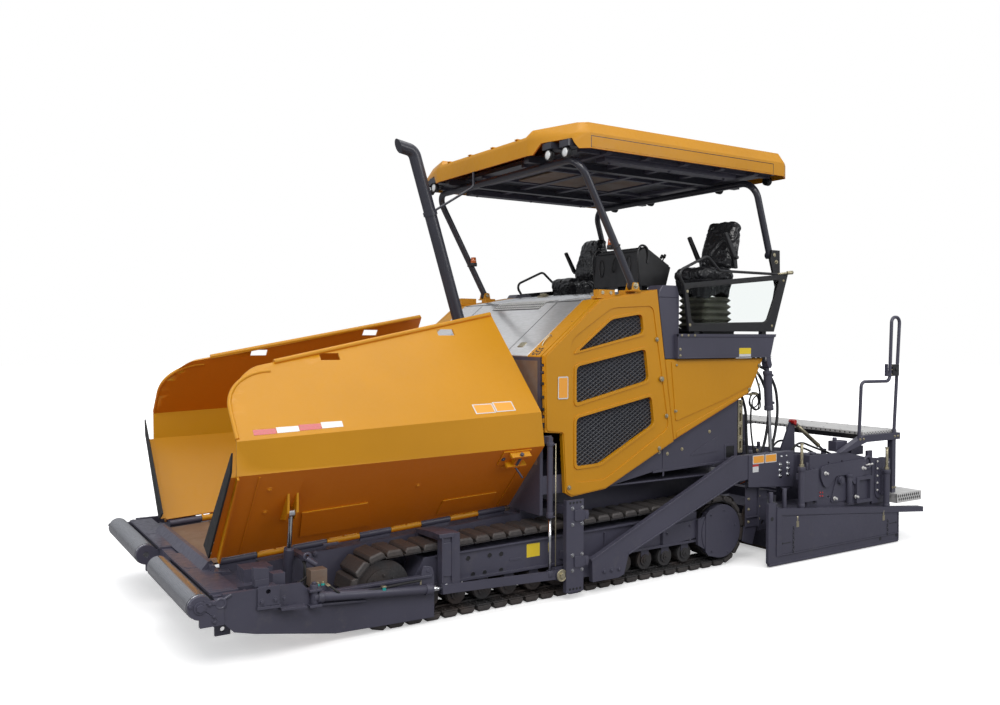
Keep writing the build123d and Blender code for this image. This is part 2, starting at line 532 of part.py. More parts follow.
with BuildPart() as hopper_wing_left:
    for station, corners in ((Y_MOUTH, WING_FRONT), (Y_BODY, WING_REAR)):
        with BuildSketch(Plane.XZ.offset(-station)):
            with BuildLine():
                Polyline(*corners, *reversed(inset(corners, WING_THICKNESS)), close=True)
            make_face()
    loft(ruled=True)
    # rounded mouth corner and leaning rear edge
    with BuildSketch(Plane.YZ.offset(200)) as wing_side:
        with BuildLine():
            Line((Y_MOUTH - 20, 500), (Y_MOUTH - 1, 1300))
            Line((Y_MOUTH - 1, 1300), (Y_MOUTH, MOUTH_ARC_START))
            arc_end = (Y_MOUTH + MOUTH_ARC_END[0], MOUTH_ARC_END[1])
            ThreePointArc((Y_MOUTH, MOUTH_ARC_START), (Y_MOUTH + MOUTH_ARC_MIDDLE[0], MOUTH_ARC_MIDDLE[1]), arc_end)
            Polyline(arc_end, (Y_BODY - WING_REAR_LEAN, 2440), (Y_BODY - WING_REAR_GAP, WING_REAR[1][1]),
                     (Y_BODY - WING_REAR_GAP, 500), (Y_MOUTH - 20, 500))
        make_face()
    extrude(wing_side.sketch, amount=1400, mode=Mode.INTERSECT)
    # two slots under the rim
    for slot_y, slot_x, slot_z in ((Y_MOUTH + 746, 700, 1975), (Y_BODY - 685, 600, 2160)):
        block((slot_x, slot_x + 300), (slot_y, slot_y + 150), (slot_z, slot_z + 50), mode=Mode.SUBTRACT)
    # rolled rim along the top edge
    rim_front = wing_section(Y_MOUTH + MOUTH_ARC_END[0])[3]
    rim_rear_y = Y_BODY - WING_REAR_LEAN
    rim_rear = wing_section(rim_rear_y)[3]
    rod((rim_front[0], Y_MOUTH + MOUTH_ARC_END[0], rim_front[1]), (rim_rear[0], rim_rear_y, rim_rear[1]), RIM_RADIUS)
    # flange round the mouth's lower edge, and the bar that clamps the rubber flap
    low, fold = Vector(*WING_FRONT[0]), Vector(*WING_FRONT[1])
    run = (fold - low).normalized()
    out = Vector(run.Y, -run.X)
    flange_corners = [low + run * 6 - out * 5, fold - run * 4 - out * 5, fold - run * 4 + out * 30,
                      low + run * 6 + out * FLANGE_WIDTH]
    plate_xz((Y_MOUTH, Y_MOUTH + WING_THICKNESS), [(corner.X, corner.Y) for corner in flange_corners])
    clamp_corners = [low + run * 12 - out * 3, fold - run * 10 - out * 3, fold - run * 10 - out * (WING_THICKNESS - 2),
                     low + run * 12 - out * (WING_THICKNESS - 2)]
    plate_xz((Y_MOUTH - FLAP_AHEAD + FLAP_THICKNESS, Y_MOUTH + 4), [(corner.X, corner.Y) for corner in clamp_corners])
    # knuckles and the webs that hold them
    knuckles(1)
    for number in range(1, KNUCKLE_COUNT, 2):
        web_front = HINGE_FRONT_Y + (number * KNUCKLE_PITCH + KNUCKLE_GAP) * HINGE_AXIS.Y
        web_rear = HINGE_FRONT_Y + ((number + 1) * KNUCKLE_PITCH - KNUCKLE_GAP) * HINGE_AXIS.Y
        for station in (web_front, (web_front + web_rear) / 2 - 6, web_rear - 12):
            middle = hinge_z(station + 6)
            base = wing_section(station)[0]
            plate_xz((station, station + 12), [(HINGE_X - 14, middle + 4), (HINGE_X + 14, middle + 4),
                     (base[0] + 4, base[1] + 10), (base[0] - 12, base[1] + 18)])
    rod(HINGE_START, HINGE_END, HINGE_PIN_RADIUS + PIN_CLEARANCE, mode=Mode.SUBTRACT)
    # two lug plates for the cylinder's eye
    for lug_y in (HOPPER_CYL_Y - EYE_HALF_WIDTH - LUG_GAP - LUG_THICKNESS, HOPPER_CYL_Y + EYE_HALF_WIDTH + LUG_GAP):
        lug = [eye_surface - panel_run * 130 + panel_in * 5, eye_surface + panel_run * 150 + panel_in * 5,
               HOPPER_EYE + panel_run * 32 - panel_in * 32, HOPPER_EYE - panel_run * 32 - panel_in * 32]
        plate_xz((lug_y, lug_y + LUG_THICKNESS), [(corner.X, corner.Y) for corner in lug])
save_pair(hopper_wing_left, "hopper_wing")

with BuildPart() as hopper_flap_left:
    plate_xz((Y_MOUTH - FLAP_AHEAD, Y_MOUTH - FLAP_AHEAD + FLAP_THICKNESS),
             [(659, 663), (1357, 1400), (1334, 1268), (WING_FRONT[0][0] - 2, WING_FRONT[0][1] + 10)])
save_pair(hopper_flap_left, "hopper_flap")

# ================================================================ hopper cylinders
HOPPER_BARREL_RADIUS = 36
HOPPER_BARREL_LENGTH = 330
HOPPER_ROD_RADIUS = 17
ROD_CLEARANCE = 0.05

# the cylinder lies in a plane square to the hinge line, so its base stands a little behind its eye
base_point = Vector(HOPPER_CYL_BASE[0], HOPPER_CYL_Y + HINGE_SLOPE * (HOPPER_EYE.Y - HOPPER_CYL_BASE[1]),
                    HOPPER_CYL_BASE[1])
eye_point = Vector(HOPPER_EYE.X, HOPPER_CYL_Y, HOPPER_EYE.Y)
stroke_axis = (eye_point - base_point).normalized()
HOPPER_CYL_LENGTH = (eye_point - base_point).length
BASE_PIN_RADIUS = 14

with BuildPart() as hopper_barrel_left:
    rod(base_point + stroke_axis * 12, base_point + stroke_axis * 60, EYE_HALF_WIDTH - 2)
    rod(base_point + stroke_axis * 56, base_point + stroke_axis * HOPPER_BARREL_LENGTH, HOPPER_BARREL_RADIUS)
    rod(base_point - HINGE_AXIS * EYE_HALF_WIDTH, base_point + HINGE_AXIS * EYE_HALF_WIDTH, EYE_RADIUS)
    rod(base_point - HINGE_AXIS * 60, base_point + HINGE_AXIS * 60, BASE_PIN_RADIUS + PIN_CLEARANCE,
        mode=Mode.SUBTRACT)
    rod(base_point + stroke_axis * 66, base_point + stroke_axis * (HOPPER_BARREL_LENGTH + 5),
        HOPPER_ROD_RADIUS + ROD_CLEARANCE, mode=Mode.SUBTRACT)
save_pair(hopper_barrel_left, "hopper_barrel")

with BuildPart() as hopper_rod_left:
    rod(base_point + stroke_axis * (HOPPER_BARREL_LENGTH - 90), eye_point - stroke_axis * 10, HOPPER_ROD_RADIUS)
    rod(eye_point - HINGE_AXIS * EYE_HALF_WIDTH, eye_point + HINGE_AXIS * EYE_HALF_WIDTH, EYE_RADIUS)
save_pair(hopper_rod_left, "hopper_rod")

with BuildPart() as cylinder_brackets:
    # two ears on the chassis beam and the pin between them
    for ear_y in (base_point.Y - EYE_HALF_WIDTH - LUG_GAP - LUG_THICKNESS, base_point.Y + EYE_HALF_WIDTH + LUG_GAP):
        plate_xz((ear_y, ear_y + LUG_THICKNESS), [(CHASSIS_SIDE_X, base_point.Z - 70),
                 (base_point.X + 20, base_point.Z - 40), (base_point.X + 34, base_point.Z),
                 (base_point.X + 20, base_point.Z + 34), (CHASSIS_SIDE_X, base_point.Z + 70)])
    pin_reach = HINGE_AXIS * (EYE_HALF_WIDTH + LUG_GAP + 8)
    rod(base_point - pin_reach, base_point + pin_reach, BASE_PIN_RADIUS)
    mirror(about=Plane.YZ)

# ================================================================ hopper rear bulkhead, engine bay and hood
BULKHEAD_HALF_WIDTH = SIDE_X - SIDE_THICKNESS - 10
BULKHEAD_TOP = 1985
BULKHEAD_FOOT = 690
HOOD_FRONT_Y = BULKHEAD_Y
HOOD_BEND = (Y_BODY + 604, 2467)
HOOD_REAR_Y = Y_BODY + 1249
HOOD_HALF_WIDTH = 1000
HOOD_SHEET = 10
FENDER_Z = 872
FENDER_THICKNESS = 15
DOOR_IN_X = SIDE_X - SIDE_THICKNESS
BODY_HALF_WIDTH = 1165
SEAM = 8                 # gap round the doors

DOOR_HINGE_X = DOOR_IN_X + 12
DOOR_HINGE_Y = Y_BODY + 44
DOOR_HINGE_STATIONS = (1470, 1890)
DOOR_PIN_RADIUS = 6
DOOR_KNUCKLE_RADIUS = 12
DOOR_KNUCKLE_HALF = 18

with BuildPart() as hopper_bulkhead:
    plate_xz((BULKHEAD_Y, BULKHEAD_Y + BULKHEAD_THICKNESS),
             [(-BULKHEAD_HALF_WIDTH, BULKHEAD_FOOT), (BULKHEAD_HALF_WIDTH, BULKHEAD_FOOT),
              (BULKHEAD_HALF_WIDTH, BULKHEAD_TOP), (-BULKHEAD_HALF_WIDTH, BULKHEAD_TOP)])
    block((-CHASSIS_IN_X, CHASSIS_IN_X), (BULKHEAD_Y - 5, BULKHEAD_Y + BULKHEAD_THICKNESS + 5), (600, 1000),
          mode=Mode.SUBTRACT)
    # pins of the side doors, each between two ears
    for hinge_height in DOOR_HINGE_STATIONS:
        for ear_low in (hinge_height - DOOR_KNUCKLE_HALF - 18, hinge_height + DOOR_KNUCKLE_HALF + 2):
            block((BULKHEAD_HALF_WIDTH, DOOR_HINGE_X + 6), (DOOR_HINGE_Y - 13, DOOR_HINGE_Y + 8), (ear_low, ear_low + 16))
        rod((DOOR_HINGE_X, DOOR_HINGE_Y, hinge_height - DOOR_KNUCKLE_HALF - 16),
            (DOOR_HINGE_X, DOOR_HINGE_Y, hinge_height + DOOR_KNUCKLE_HALF + 16), DOOR_PIN_RADIUS)
    mirror(about=Plane.YZ)
save(hopper_bulkhead, "hopper_bulkhead")


def hood_band(x, depth, rise=0):
    """A strip of the hood's profile between two X planes: slope up from the bulkhead, then the top."""
    plate_yz(x, [(HOOD_FRONT_Y, BULKHEAD_TOP), (HOOD_FRONT_Y, BULKHEAD_TOP + HOOD_SHEET),
                 (HOOD_BEND[0], HOOD_BEND[1] + rise), (HOOD_REAR_Y, HOOD_TOP + rise),
                 (HOOD_REAR_Y, HOOD_TOP - depth), (HOOD_BEND[0] + depth * 0.4, HOOD_BEND[1] - depth),
                 (HOOD_FRONT_Y + BULKHEAD_THICKNESS, BULKHEAD_TOP)])


with BuildPart() as hood_center:
    hood_band((-HOOD_HALF_WIDTH, HOOD_HALF_WIDTH), HOOD_SHEET)
save(hood_center, "hood_center")

POST_X = 1215            # canopy posts' middle
POST_RADIUS = 32
BOSS_HALF = 34           # half length of the bosses at the posts' ends
FRONT_PIVOT = (Y_BODY + 981, 2593)
with BuildPart() as hood_sides:
    hood_band((HOOD_HALF_WIDTH, DOOR_IN_X - SEAM), 40)
    # stepped foot and two ears for the front canopy post
    block((1100, POST_X + 42), (FRONT_PIVOT[0] - 60, FRONT_PIVOT[0] + 60), (FRONT_PIVOT[1] - 48, FRONT_PIVOT[1] - 36))
    block((1100, DOOR_IN_X - SEAM), (FRONT_PIVOT[0] - 60, FRONT_PIVOT[0] + 60),
          (FRONT_PIVOT[1] - 90, FRONT_PIVOT[1] - 40))
    for ear_x in (POST_X - BOSS_HALF - 10, POST_X + BOSS_HALF):
        plate_yz((ear_x, ear_x + 10), [(FRONT_PIVOT[0] - 45, FRONT_PIVOT[1] - 40),
                 (FRONT_PIVOT[0] + 45, FRONT_PIVOT[1] - 40), (FRONT_PIVOT[0] + 28, FRONT_PIVOT[1] + 28),
                 (FRONT_PIVOT[0] - 28, FRONT_PIVOT[1] + 28)])
    mirror(about=Plane.YZ)
save(hood_sides, "hood_sides")

with BuildPart() as engine_block:
    block((-430, 430), (BULKHEAD_Y + 120, HOOD_REAR_Y - 40), (TUNNEL_TOP, 1880))
save(engine_block, "engine_block")

REAR_BODY_FRONT_Y = HOOD_REAR_Y + 110
# outline of the left engine door: (y from the wings' rear edge, z)
DOOR_TOP_FRONT = (33, 1998)
DOOR_TOP_BEND = (604, 2467)
DOOR_TOP_REAR = (1249, 2570)
DOOR_LOW_REAR = (1457, 1215)
DOOR_OUTLINE = [DOOR_TOP_FRONT, DOOR_TOP_BEND, DOOR_TOP_REAR, DOOR_LOW_REAR, (673, 860), (311, 825),
                (246, 862), (215, 1358), (44, 1374)]
GRILLES = {
    "upper": [(360, 2026), (731, 2304), (1073, 2354), (1095, 2183)],
    "middle": [(352, 1906), (1116, 2050), (1155, 1768), (352, 1592)],
    "lower": [(352, 1476), (1189, 1633), (1221, 1379), (613, 1077), (354, 1067)],
}
GRILLE_THICKNESS = 8


def door_line(z):
    """Station of the door's rear edge at a height."""
    share = (DOOR_TOP_REAR[1] - z) / (DOOR_TOP_REAR[1] - DOOR_LOW_REAR[1])
    return Y_BODY + DOOR_TOP_REAR[0] + share * (DOOR_LOW_REAR[0] - DOOR_TOP_REAR[0])


with BuildPart() as side_door_left:
    plate_yz((DOOR_IN_X, SIDE_X), [(Y_BODY + y, z) for y, z in DOOR_OUTLINE])
    for corners in GRILLES.values():
        plate_yz((DOOR_IN_X - 5, SIDE_X + 5), [(Y_BODY + y, z) for y, z in corners], mode=Mode.SUBTRACT)
    # pockets for the hinges, with the door's knuckles in them
    for hinge_height in DOOR_HINGE_STATIONS:
        block((DOOR_IN_X - 5, DOOR_HINGE_X + 15), (DOOR_HINGE_Y - 20, DOOR_HINGE_Y + 20),
              (hinge_height - DOOR_KNUCKLE_HALF - 25, hinge_height + DOOR_KNUCKLE_HALF + 25), mode=Mode.SUBTRACT)
        knuckle_z = (hinge_height - DOOR_KNUCKLE_HALF, hinge_height + DOOR_KNUCKLE_HALF)
        rod((DOOR_HINGE_X, DOOR_HINGE_Y, knuckle_z[0]), (DOOR_HINGE_X, DOOR_HINGE_Y, knuckle_z[1]), DOOR_KNUCKLE_RADIUS)
        block((DOOR_HINGE_X, DOOR_HINGE_X + 17), (DOOR_HINGE_Y - 1, DOOR_HINGE_Y + 22), knuckle_z)
        rod((DOOR_HINGE_X, DOOR_HINGE_Y, knuckle_z[0] - 5), (DOOR_HINGE_X, DOOR_HINGE_Y, knuckle_z[1] + 5),
            DOOR_PIN_RADIUS + PIN_CLEARANCE, mode=Mode.SUBTRACT)
save_pair(side_door_left, "side_door")

with BuildPart() as door_grilles_left:
    for corners in GRILLES.values():
        plate_yz((DOOR_IN_X + 2, DOOR_IN_X + 2 + GRILLE_THICKNESS), [(Y_BODY + y, z) for y, z in corners])
save_pair(door_grilles_left, "door_grilles")

# ================================================================ rear body and operator platform
PLATFORM_LOW = 1957
BODY_WALL = 12
DASH_TOP = 2530
DASH_REAR_Y = HOOD_REAR_Y + 265
PLATFORM_REAR_Y = Y_TAIL
PLATFORM_HALF_WIDTH = 1175
SIDE_BOX_OUT_X = 1272
PANEL_TOP = PLATFORM_LOW - 6

with BuildPart() as rear_body:
    # closed body behind the engine bay, hollow and open to the tunnel's roof
    block((-BODY_HALF_WIDTH, BODY_HALF_WIDTH), (REAR_BODY_FRONT_Y, CHASSIS_REAR_Y), (TUNNEL_TOP, PLATFORM_LOW))
    block((-BODY_HALF_WIDTH + BODY_WALL, BODY_HALF_WIDTH - BODY_WALL),
          (REAR_BODY_FRONT_Y + BODY_WALL, CHASSIS_REAR_Y - BODY_WALL), (TUNNEL_TOP - 5, PLATFORM_LOW - BODY_WALL),
          mode=Mode.SUBTRACT)
save(rear_body, "rear_body")

with BuildPart() as side_skirts:
    # dark sheet under the doors and rear panels, arched over the track, and the fender on top of the track
    block((CHASSIS_SIDE_X, BODY_HALF_WIDTH), (BULKHEAD_Y + BULKHEAD_THICKNESS, CHASSIS_REAR_Y),
          (FENDER_Z - FENDER_THICKNESS, FENDER_Z))
    plate_yz((BODY_HALF_WIDTH, DOOR_IN_X - SEAM), [(BULKHEAD_Y + BULKHEAD_THICKNESS, FENDER_Z - FENDER_THICKNESS),
             (Y_BODY + 700, FENDER_Z - FENDER_THICKNESS), (Y_BODY + 1250, 948), (CHASSIS_REAR_Y + 6, 985),
             (CHASSIS_REAR_Y + 6, PANEL_TOP - 20), (Y_BODY + 1500, PANEL_TOP - 20), (Y_BODY + 1500, 1300),
             (Y_BODY + 900, 1010), (BULKHEAD_Y + BULKHEAD_THICKNESS, 1010)])
    mirror(about=Plane.YZ)
save(side_skirts, "side_skirts")

with BuildPart() as rear_side_panels:
    plate_yz((DOOR_IN_X - SEAM, SIDE_X), [(door_line(PANEL_TOP) + SEAM, PANEL_TOP), (Y_TAIL - 76, PANEL_TOP),
             (Y_TAIL - 265, 1616), (Y_TAIL - 399, 1561), (door_line(1223) + SEAM, 1223)])
    mirror(about=Plane.YZ)
save(rear_side_panels, "rear_side_panels")

with BuildPart() as platform_deck:
    block((-PLATFORM_HALF_WIDTH, PLATFORM_HALF_WIDTH), (REAR_BODY_FRONT_Y, PLATFORM_REAR_Y), (PLATFORM_LOW, PLATFORM_TOP))
    block((-PLATFORM_HALF_WIDTH + BODY_WALL, PLATFORM_HALF_WIDTH - BODY_WALL),
          (REAR_BODY_FRONT_Y + BODY_WALL, PLATFORM_REAR_Y - BODY_WALL),
          (PLATFORM_LOW + BODY_WALL, PLATFORM_TOP - 2 * BODY_WALL), mode=Mode.SUBTRACT)
save(platform_deck, "platform_deck")

with BuildPart() as platform_side_boxes:
    box_outline = [(DASH_REAR_Y - 40, PLATFORM_LOW), (Y_TAIL - 10, PLATFORM_LOW), (Y_TAIL + 52, PLATFORM_TOP),
                   (DASH_REAR_Y - 40, PLATFORM_TOP)]
    plate_yz((PLATFORM_HALF_WIDTH, SIDE_BOX_OUT_X), box_outline)
    plate_yz((PLATFORM_HALF_WIDTH + 8, SIDE_BOX_OUT_X - 8), [(DASH_REAR_Y - 30, PLATFORM_LOW + 8),
             (Y_TAIL - 20, PLATFORM_LOW + 8), (Y_TAIL + 36, PLATFORM_TOP - 8), (DASH_REAR_Y - 30, PLATFORM_TOP - 8)],
             mode=Mode.SUBTRACT)
    mirror(about=Plane.YZ)
save(platform_side_boxes, "platform_side_boxes")

with BuildPart() as dash_cabinet:
    # cabinet across the front of the platform; its ends are the dark pillars behind the doors
    dash_front_low = door_line(PLATFORM_LOW) + SEAM
    dash_front_top = door_line(DASH_TOP) + SEAM
    plate_yz((-SIDE_X, SIDE_X), [(dash_front_low, PLATFORM_LOW), (dash_front_top, DASH_TOP),
             (DASH_REAR_Y, DASH_TOP), (DASH_REAR_Y, PLATFORM_TOP), (REAR_BODY_FRONT_Y, PLATFORM_TOP),
             (REAR_BODY_FRONT_Y, PLATFORM_LOW)])
    plate_yz((PLATFORM_HALF_WIDTH, SIDE_X), [(REAR_BODY_FRONT_Y - 2, PLATFORM_LOW), (DASH_REAR_Y - 40, PLATFORM_LOW),
             (DASH_REAR_Y - 40, PLATFORM_TOP + 2), (REAR_BODY_FRONT_Y - 2, PLATFORM_TOP + 2)])
    plate_yz((-SIDE_X, -PLATFORM_HALF_WIDTH), [(REAR_BODY_FRONT_Y - 2, PLATFORM_LOW), (DASH_REAR_Y - 40, PLATFORM_LOW),
             (DASH_REAR_Y - 40, PLATFORM_TOP + 2), (REAR_BODY_FRONT_Y - 2, PLATFORM_TOP + 2)])
    plate_yz((-SIDE_X + 10, SIDE_X - 10), [(dash_front_top + 14, PLATFORM_TOP + 10), (dash_front_top + 14, DASH_TOP - 10),
             (DASH_REAR_Y - 10, DASH_TOP - 10), (DASH_REAR_Y - 10, PLATFORM_TOP + 10)], mode=Mode.SUBTRACT)
save(dash_cabinet, "dash_cabinet")

# side screens of the platform
GLASS_X = 1290
GLASS_THICKNESS = 6
REAR_PIVOT = (Y_TAIL + 30, 2947)
SCREEN = [(DASH_REAR_Y - 6, 2631), (DASH_REAR_Y + 60, 2204), (Y_TAIL - 1, 2204), (Y_TAIL + 197, 2768)]
with BuildPart() as screen_frames:
    plate_yz((GLASS_X - 14, GLASS_X + 14), SCREEN)
    pane = [(SCREEN[0][0] + 30, SCREEN[0][1] - 34), (SCREEN[1][0] + 24, SCREEN[1][1] + 60),
            (SCREEN[2][0] - 96, SCREEN[2][1] + 82), (SCREEN[3][0] - 100, SCREEN[3][1] - 48)]
    plate_yz((GLASS_X - 20, GLASS_X + 20), pane, mode=Mode.SUBTRACT)
    # rear pillar plates that hold the canopy's rear hoop
    pillar_x = POST_X + BOSS_HALF
    plate_yz((pillar_x, pillar_x + 24), [(Y_TAIL - 10, 2330), (Y_TAIL + 50, 2330), (Y_TAIL + 118, 2640),
             (Y_TAIL + 110, REAR_PIVOT[1] + 46), (Y_TAIL, REAR_PIVOT[1] + 46), (Y_TAIL - 24, REAR_PIVOT[1] - 47),
             (Y_TAIL + 62, 2640)])
    plate_yz((pillar_x + 22, GLASS_X - 14), [(Y_TAIL - 10, 2330), (Y_TAIL + 50, 2330), (Y_TAIL + 90, 2560),
             (Y_TAIL + 50, 2560)])
    # feet on the side boxes
    for foot_y in (DASH_REAR_Y + 150, Y_TAIL - 140):
        block((SIDE_BOX_OUT_X - 40, GLASS_X - 14), (foot_y, foot_y + 60), (PLATFORM_TOP, PLATFORM_TOP + 60))
    mirror(about=Plane.YZ)
save(screen_frames, "screen_frames")

with BuildPart() as side_glass:
    plate_yz((GLASS_X - GLASS_THICKNESS / 2, GLASS_X + GLASS_THICKNESS / 2), pane)
    mirror(about=Plane.YZ)
save(side_glass, "side_glass")

RAIL_RADIUS = 13
with BuildPart() as grab_rails:
    # bent rail over each screen, from its front corner to the rear canopy post
    bent_tube([(GLASS_X, SCREEN[0][0] + 20, SCREEN[0][1] - 30), (GLASS_X, SCREEN[0][0] - 70, SCREEN[0][1] + 100),
               (GLASS_X, SCREEN[0][0] + 300, SCREEN[0][1] + 260), (GLASS_X, SCREEN[0][0] + 460, SCREEN[0][1] + 130),
               (GLASS_X, SCREEN[3][0] - 150, SCREEN[3][1] - 8)], 60, RAIL_RADIUS)
    plate_yz((GLASS_X - 14, GLASS_X + 14), SCREEN, mode=Mode.SUBTRACT)
    mirror(about=Plane.YZ)
save(grab_rails, "grab_rails")

# ================================================================ seats and console
SEAT_X = 1000
SEAT_Y = DASH_REAR_Y + 560
SEAT_BASE_TOP = 2660
with BuildPart() as seat_bases:
    # bellows that hide the seat's suspension, on a swivel plate
    with BuildSketch(Plane.XY.offset(PLATFORM_TOP)):
        with Locations((SEAT_X, SEAT_Y)):
            RectangleRounded(400, 420, 40)
    extrude(amount=40)
    with BuildSketch(Plane.XY.offset(PLATFORM_TOP + 40)):
        with Locations((SEAT_X, SEAT_Y)):
            RectangleRounded(350, 370, 40)
    extrude(amount=SEAT_BASE_TOP - PLATFORM_TOP - 40)
    mirror(about=Plane.YZ)
save(seat_bases, "seat_bases")

with BuildPart() as seats:
    # cushion, back and headrest of each seat
    block((SEAT_X - 235, SEAT_X + 235), (SEAT_Y - 250, SEAT_Y + 220), (SEAT_BASE_TOP, SEAT_BASE_TOP + 150))
    plate_yz((SEAT_X - 230, SEAT_X + 230), [(SEAT_Y + 110, SEAT_BASE_TOP + 140), (SEAT_Y + 230, SEAT_BASE_TOP + 130),
             (SEAT_Y + 330, SEAT_BASE_TOP + 600), (SEAT_Y + 230, SEAT_BASE_TOP + 620)])
    for arm_x in (SEAT_X - 262, SEAT_X + 222):
        block((arm_x, arm_x + 40), (SEAT_Y - 180, SEAT_Y + 190), (SEAT_BASE_TOP + 330, SEAT_BASE_TOP + 375))
    mirror(about=Plane.YZ)
save(seats, "seats")

CONSOLE_X = 330
CONSOLE_Y = DASH_REAR_Y + 230
with BuildPart() as console:
    # control desk on a pedestal that slides across the platform
    block((CONSOLE_X - 110, CONSOLE_X + 110), (CONSOLE_Y - 90, CONSOLE_Y + 110), (PLATFORM_TOP, 2640))
    plate_yz((CONSOLE_X - 330, CONSOLE_X + 330), [(CONSOLE_Y - 210, 2640), (CONSOLE_Y + 150, 2640),
             (CONSOLE_Y + 210, 2830), (CONSOLE_Y - 120, 3010), (CONSOLE_Y - 210, 2960)])
save(console, "console")

# ================================================================ exhaust pipe
EXHAUST_X = -100
EXHAUST_RADIUS = 57
EXHAUST_FOOT = (Y_BODY + 90, 2021)
EXHAUST_TOP = (Y_BODY - 471, 3820)
EXHAUST_TIP = (Y_BODY - 664, 3856)
CANOPY_FRONT_Y = Y_BODY + 152
CANOPY_LOW = 3695
with BuildPart() as exhaust_pipe:
    lean = Vector(0, EXHAUST_FOOT[0] - EXHAUST_TOP[0], EXHAUST_FOOT[1] - EXHAUST_TOP[1]).normalized()
    foot = Vector(EXHAUST_X, *EXHAUST_FOOT)
    with BuildLine() as pipe_path:
        FilletPolyline(foot + lean * 90, (EXHAUST_X, *EXHAUST_TOP), (EXHAUST_X, *EXHAUST_TIP), radius=90)
    with BuildSketch(Plane(origin=pipe_path.line @ 0, z_dir=pipe_path.line % 0)) as pipe_section:
        Circle(EXHAUST_RADIUS)
    sweep(pipe_section.sketch, path=pipe_path.line)
    # cut flush with the hood's slope, and an oblique mouth
    plate_yz((EXHAUST_X - 100, EXHAUST_X + 100), [(HOOD_FRONT_Y, BULKHEAD_TOP + HOOD_SHEET), HOOD_BEND,
             (HOOD_BEND[0], 1500), (HOOD_FRONT_Y - 200, 1500), (HOOD_FRONT_Y - 200, BULKHEAD_TOP - 163)],
             mode=Mode.SUBTRACT)
    plate_yz((EXHAUST_X - 100, EXHAUST_X + 100), [(EXHAUST_TIP[0] - 120, 3980), (EXHAUST_TIP[0] - 8, 3980),
             (EXHAUST_TIP[0] + 96, 3700), (EXHAUST_TIP[0] - 120, 3700)], mode=Mode.SUBTRACT)
    rod(foot - lean * 1330, foot - lean * 1290, EXHAUST_RADIUS + 8)
    # stay from the clamp up to the roof's front edge
    stay_start = foot - lean * 1310 + Vector(0, 30, 20)
    bent_tube([stay_start, (EXHAUST_X, CANOPY_FRONT_Y + 7, CANOPY_LOW - 140),
               (EXHAUST_X, CANOPY_FRONT_Y + 7, CANOPY_LOW)], 60, 11)
save(exhaust_pipe, "exhaust_pipe")

# ================================================================ canopy
CANOPY_REAR_Y = Y_TAIL + 189
CANOPY_CREASE = 3821
CANOPY_SHEET = 14
HALF = CANOPY_WIDTH / 2
CANOPY_PLAN = [(-793, CANOPY_FRONT_Y), (793, CANOPY_FRONT_Y), (HALF - 87, CANOPY_FRONT_Y + 144),
               (HALF, CANOPY_FRONT_Y + 245), (HALF, CANOPY_REAR_Y - 130), (HALF - 95, CANOPY_REAR_Y),
               (-HALF + 95, CANOPY_REAR_Y), (-HALF, CANOPY_REAR_Y - 130), (-HALF, CANOPY_FRONT_Y + 245),
               (-HALF + 87, CANOPY_FRONT_Y + 144)]
CANOPY_TAPER = degrees(atan2(60, CANOPY_TOP - CANOPY_CREASE))
CENTRE_DROP = 55
FRONT_BEND = (Y_BODY + 389, 3640)
REAR_BEND = (Y_TAIL - 188, 3640)
HOOP_BEND_RADIUS = 160


def canopy_layer(low, high, inset_by, taper, mode):
    """One layer of the roof, from its plan outline set in by a distance."""
    with BuildSketch(Plane.XY.offset(low)) as plan:
        with BuildLine():
            Polyline(*CANOPY_PLAN, close=True)
        make_face()
        if inset_by:
            offset(amount=-inset_by, kind=Kind.INTERSECTION)
    extrude(plan.sketch, amount=high - low, taper=taper, mode=mode)


with BuildPart() as canopy_roof:
    canopy_layer(CANOPY_LOW, CANOPY_CREASE, 0, 0, Mode.ADD)
    canopy_layer(CANOPY_CREASE, CANOPY_TOP, 0, CANOPY_TAPER, Mode.ADD)
    # sunken middle bay, open at the front
    plate_xz((CANOPY_FRONT_Y - 10, CANOPY_REAR_Y - 260), [(-800, CANOPY_TOP + 5), (-740, CANOPY_TOP - CENTRE_DROP),
             (740, CANOPY_TOP - CENTRE_DROP), (800, CANOPY_TOP + 5)], mode=Mode.SUBTRACT)
    # hollow from below
    canopy_layer(CANOPY_LOW - 5, CANOPY_CREASE - 10, CANOPY_SHEET, 0, Mode.SUBTRACT)
    canopy_layer(CANOPY_CREASE - 11, CANOPY_TOP - CENTRE_DROP - CANOPY_SHEET, CANOPY_SHEET + 30, 0, Mode.SUBTRACT)
    # notches for the front lights
    for side in (1, -1):
        plate_xz((CANOPY_FRONT_Y - 10, CANOPY_FRONT_Y + 190), [(side * 850, CANOPY_LOW - 5), (side * 940, 3782),
                 (side * 1250, 3782), (side * 1300, CANOPY_LOW - 5)], mode=Mode.SUBTRACT)
save(canopy_roof, "canopy_roof")

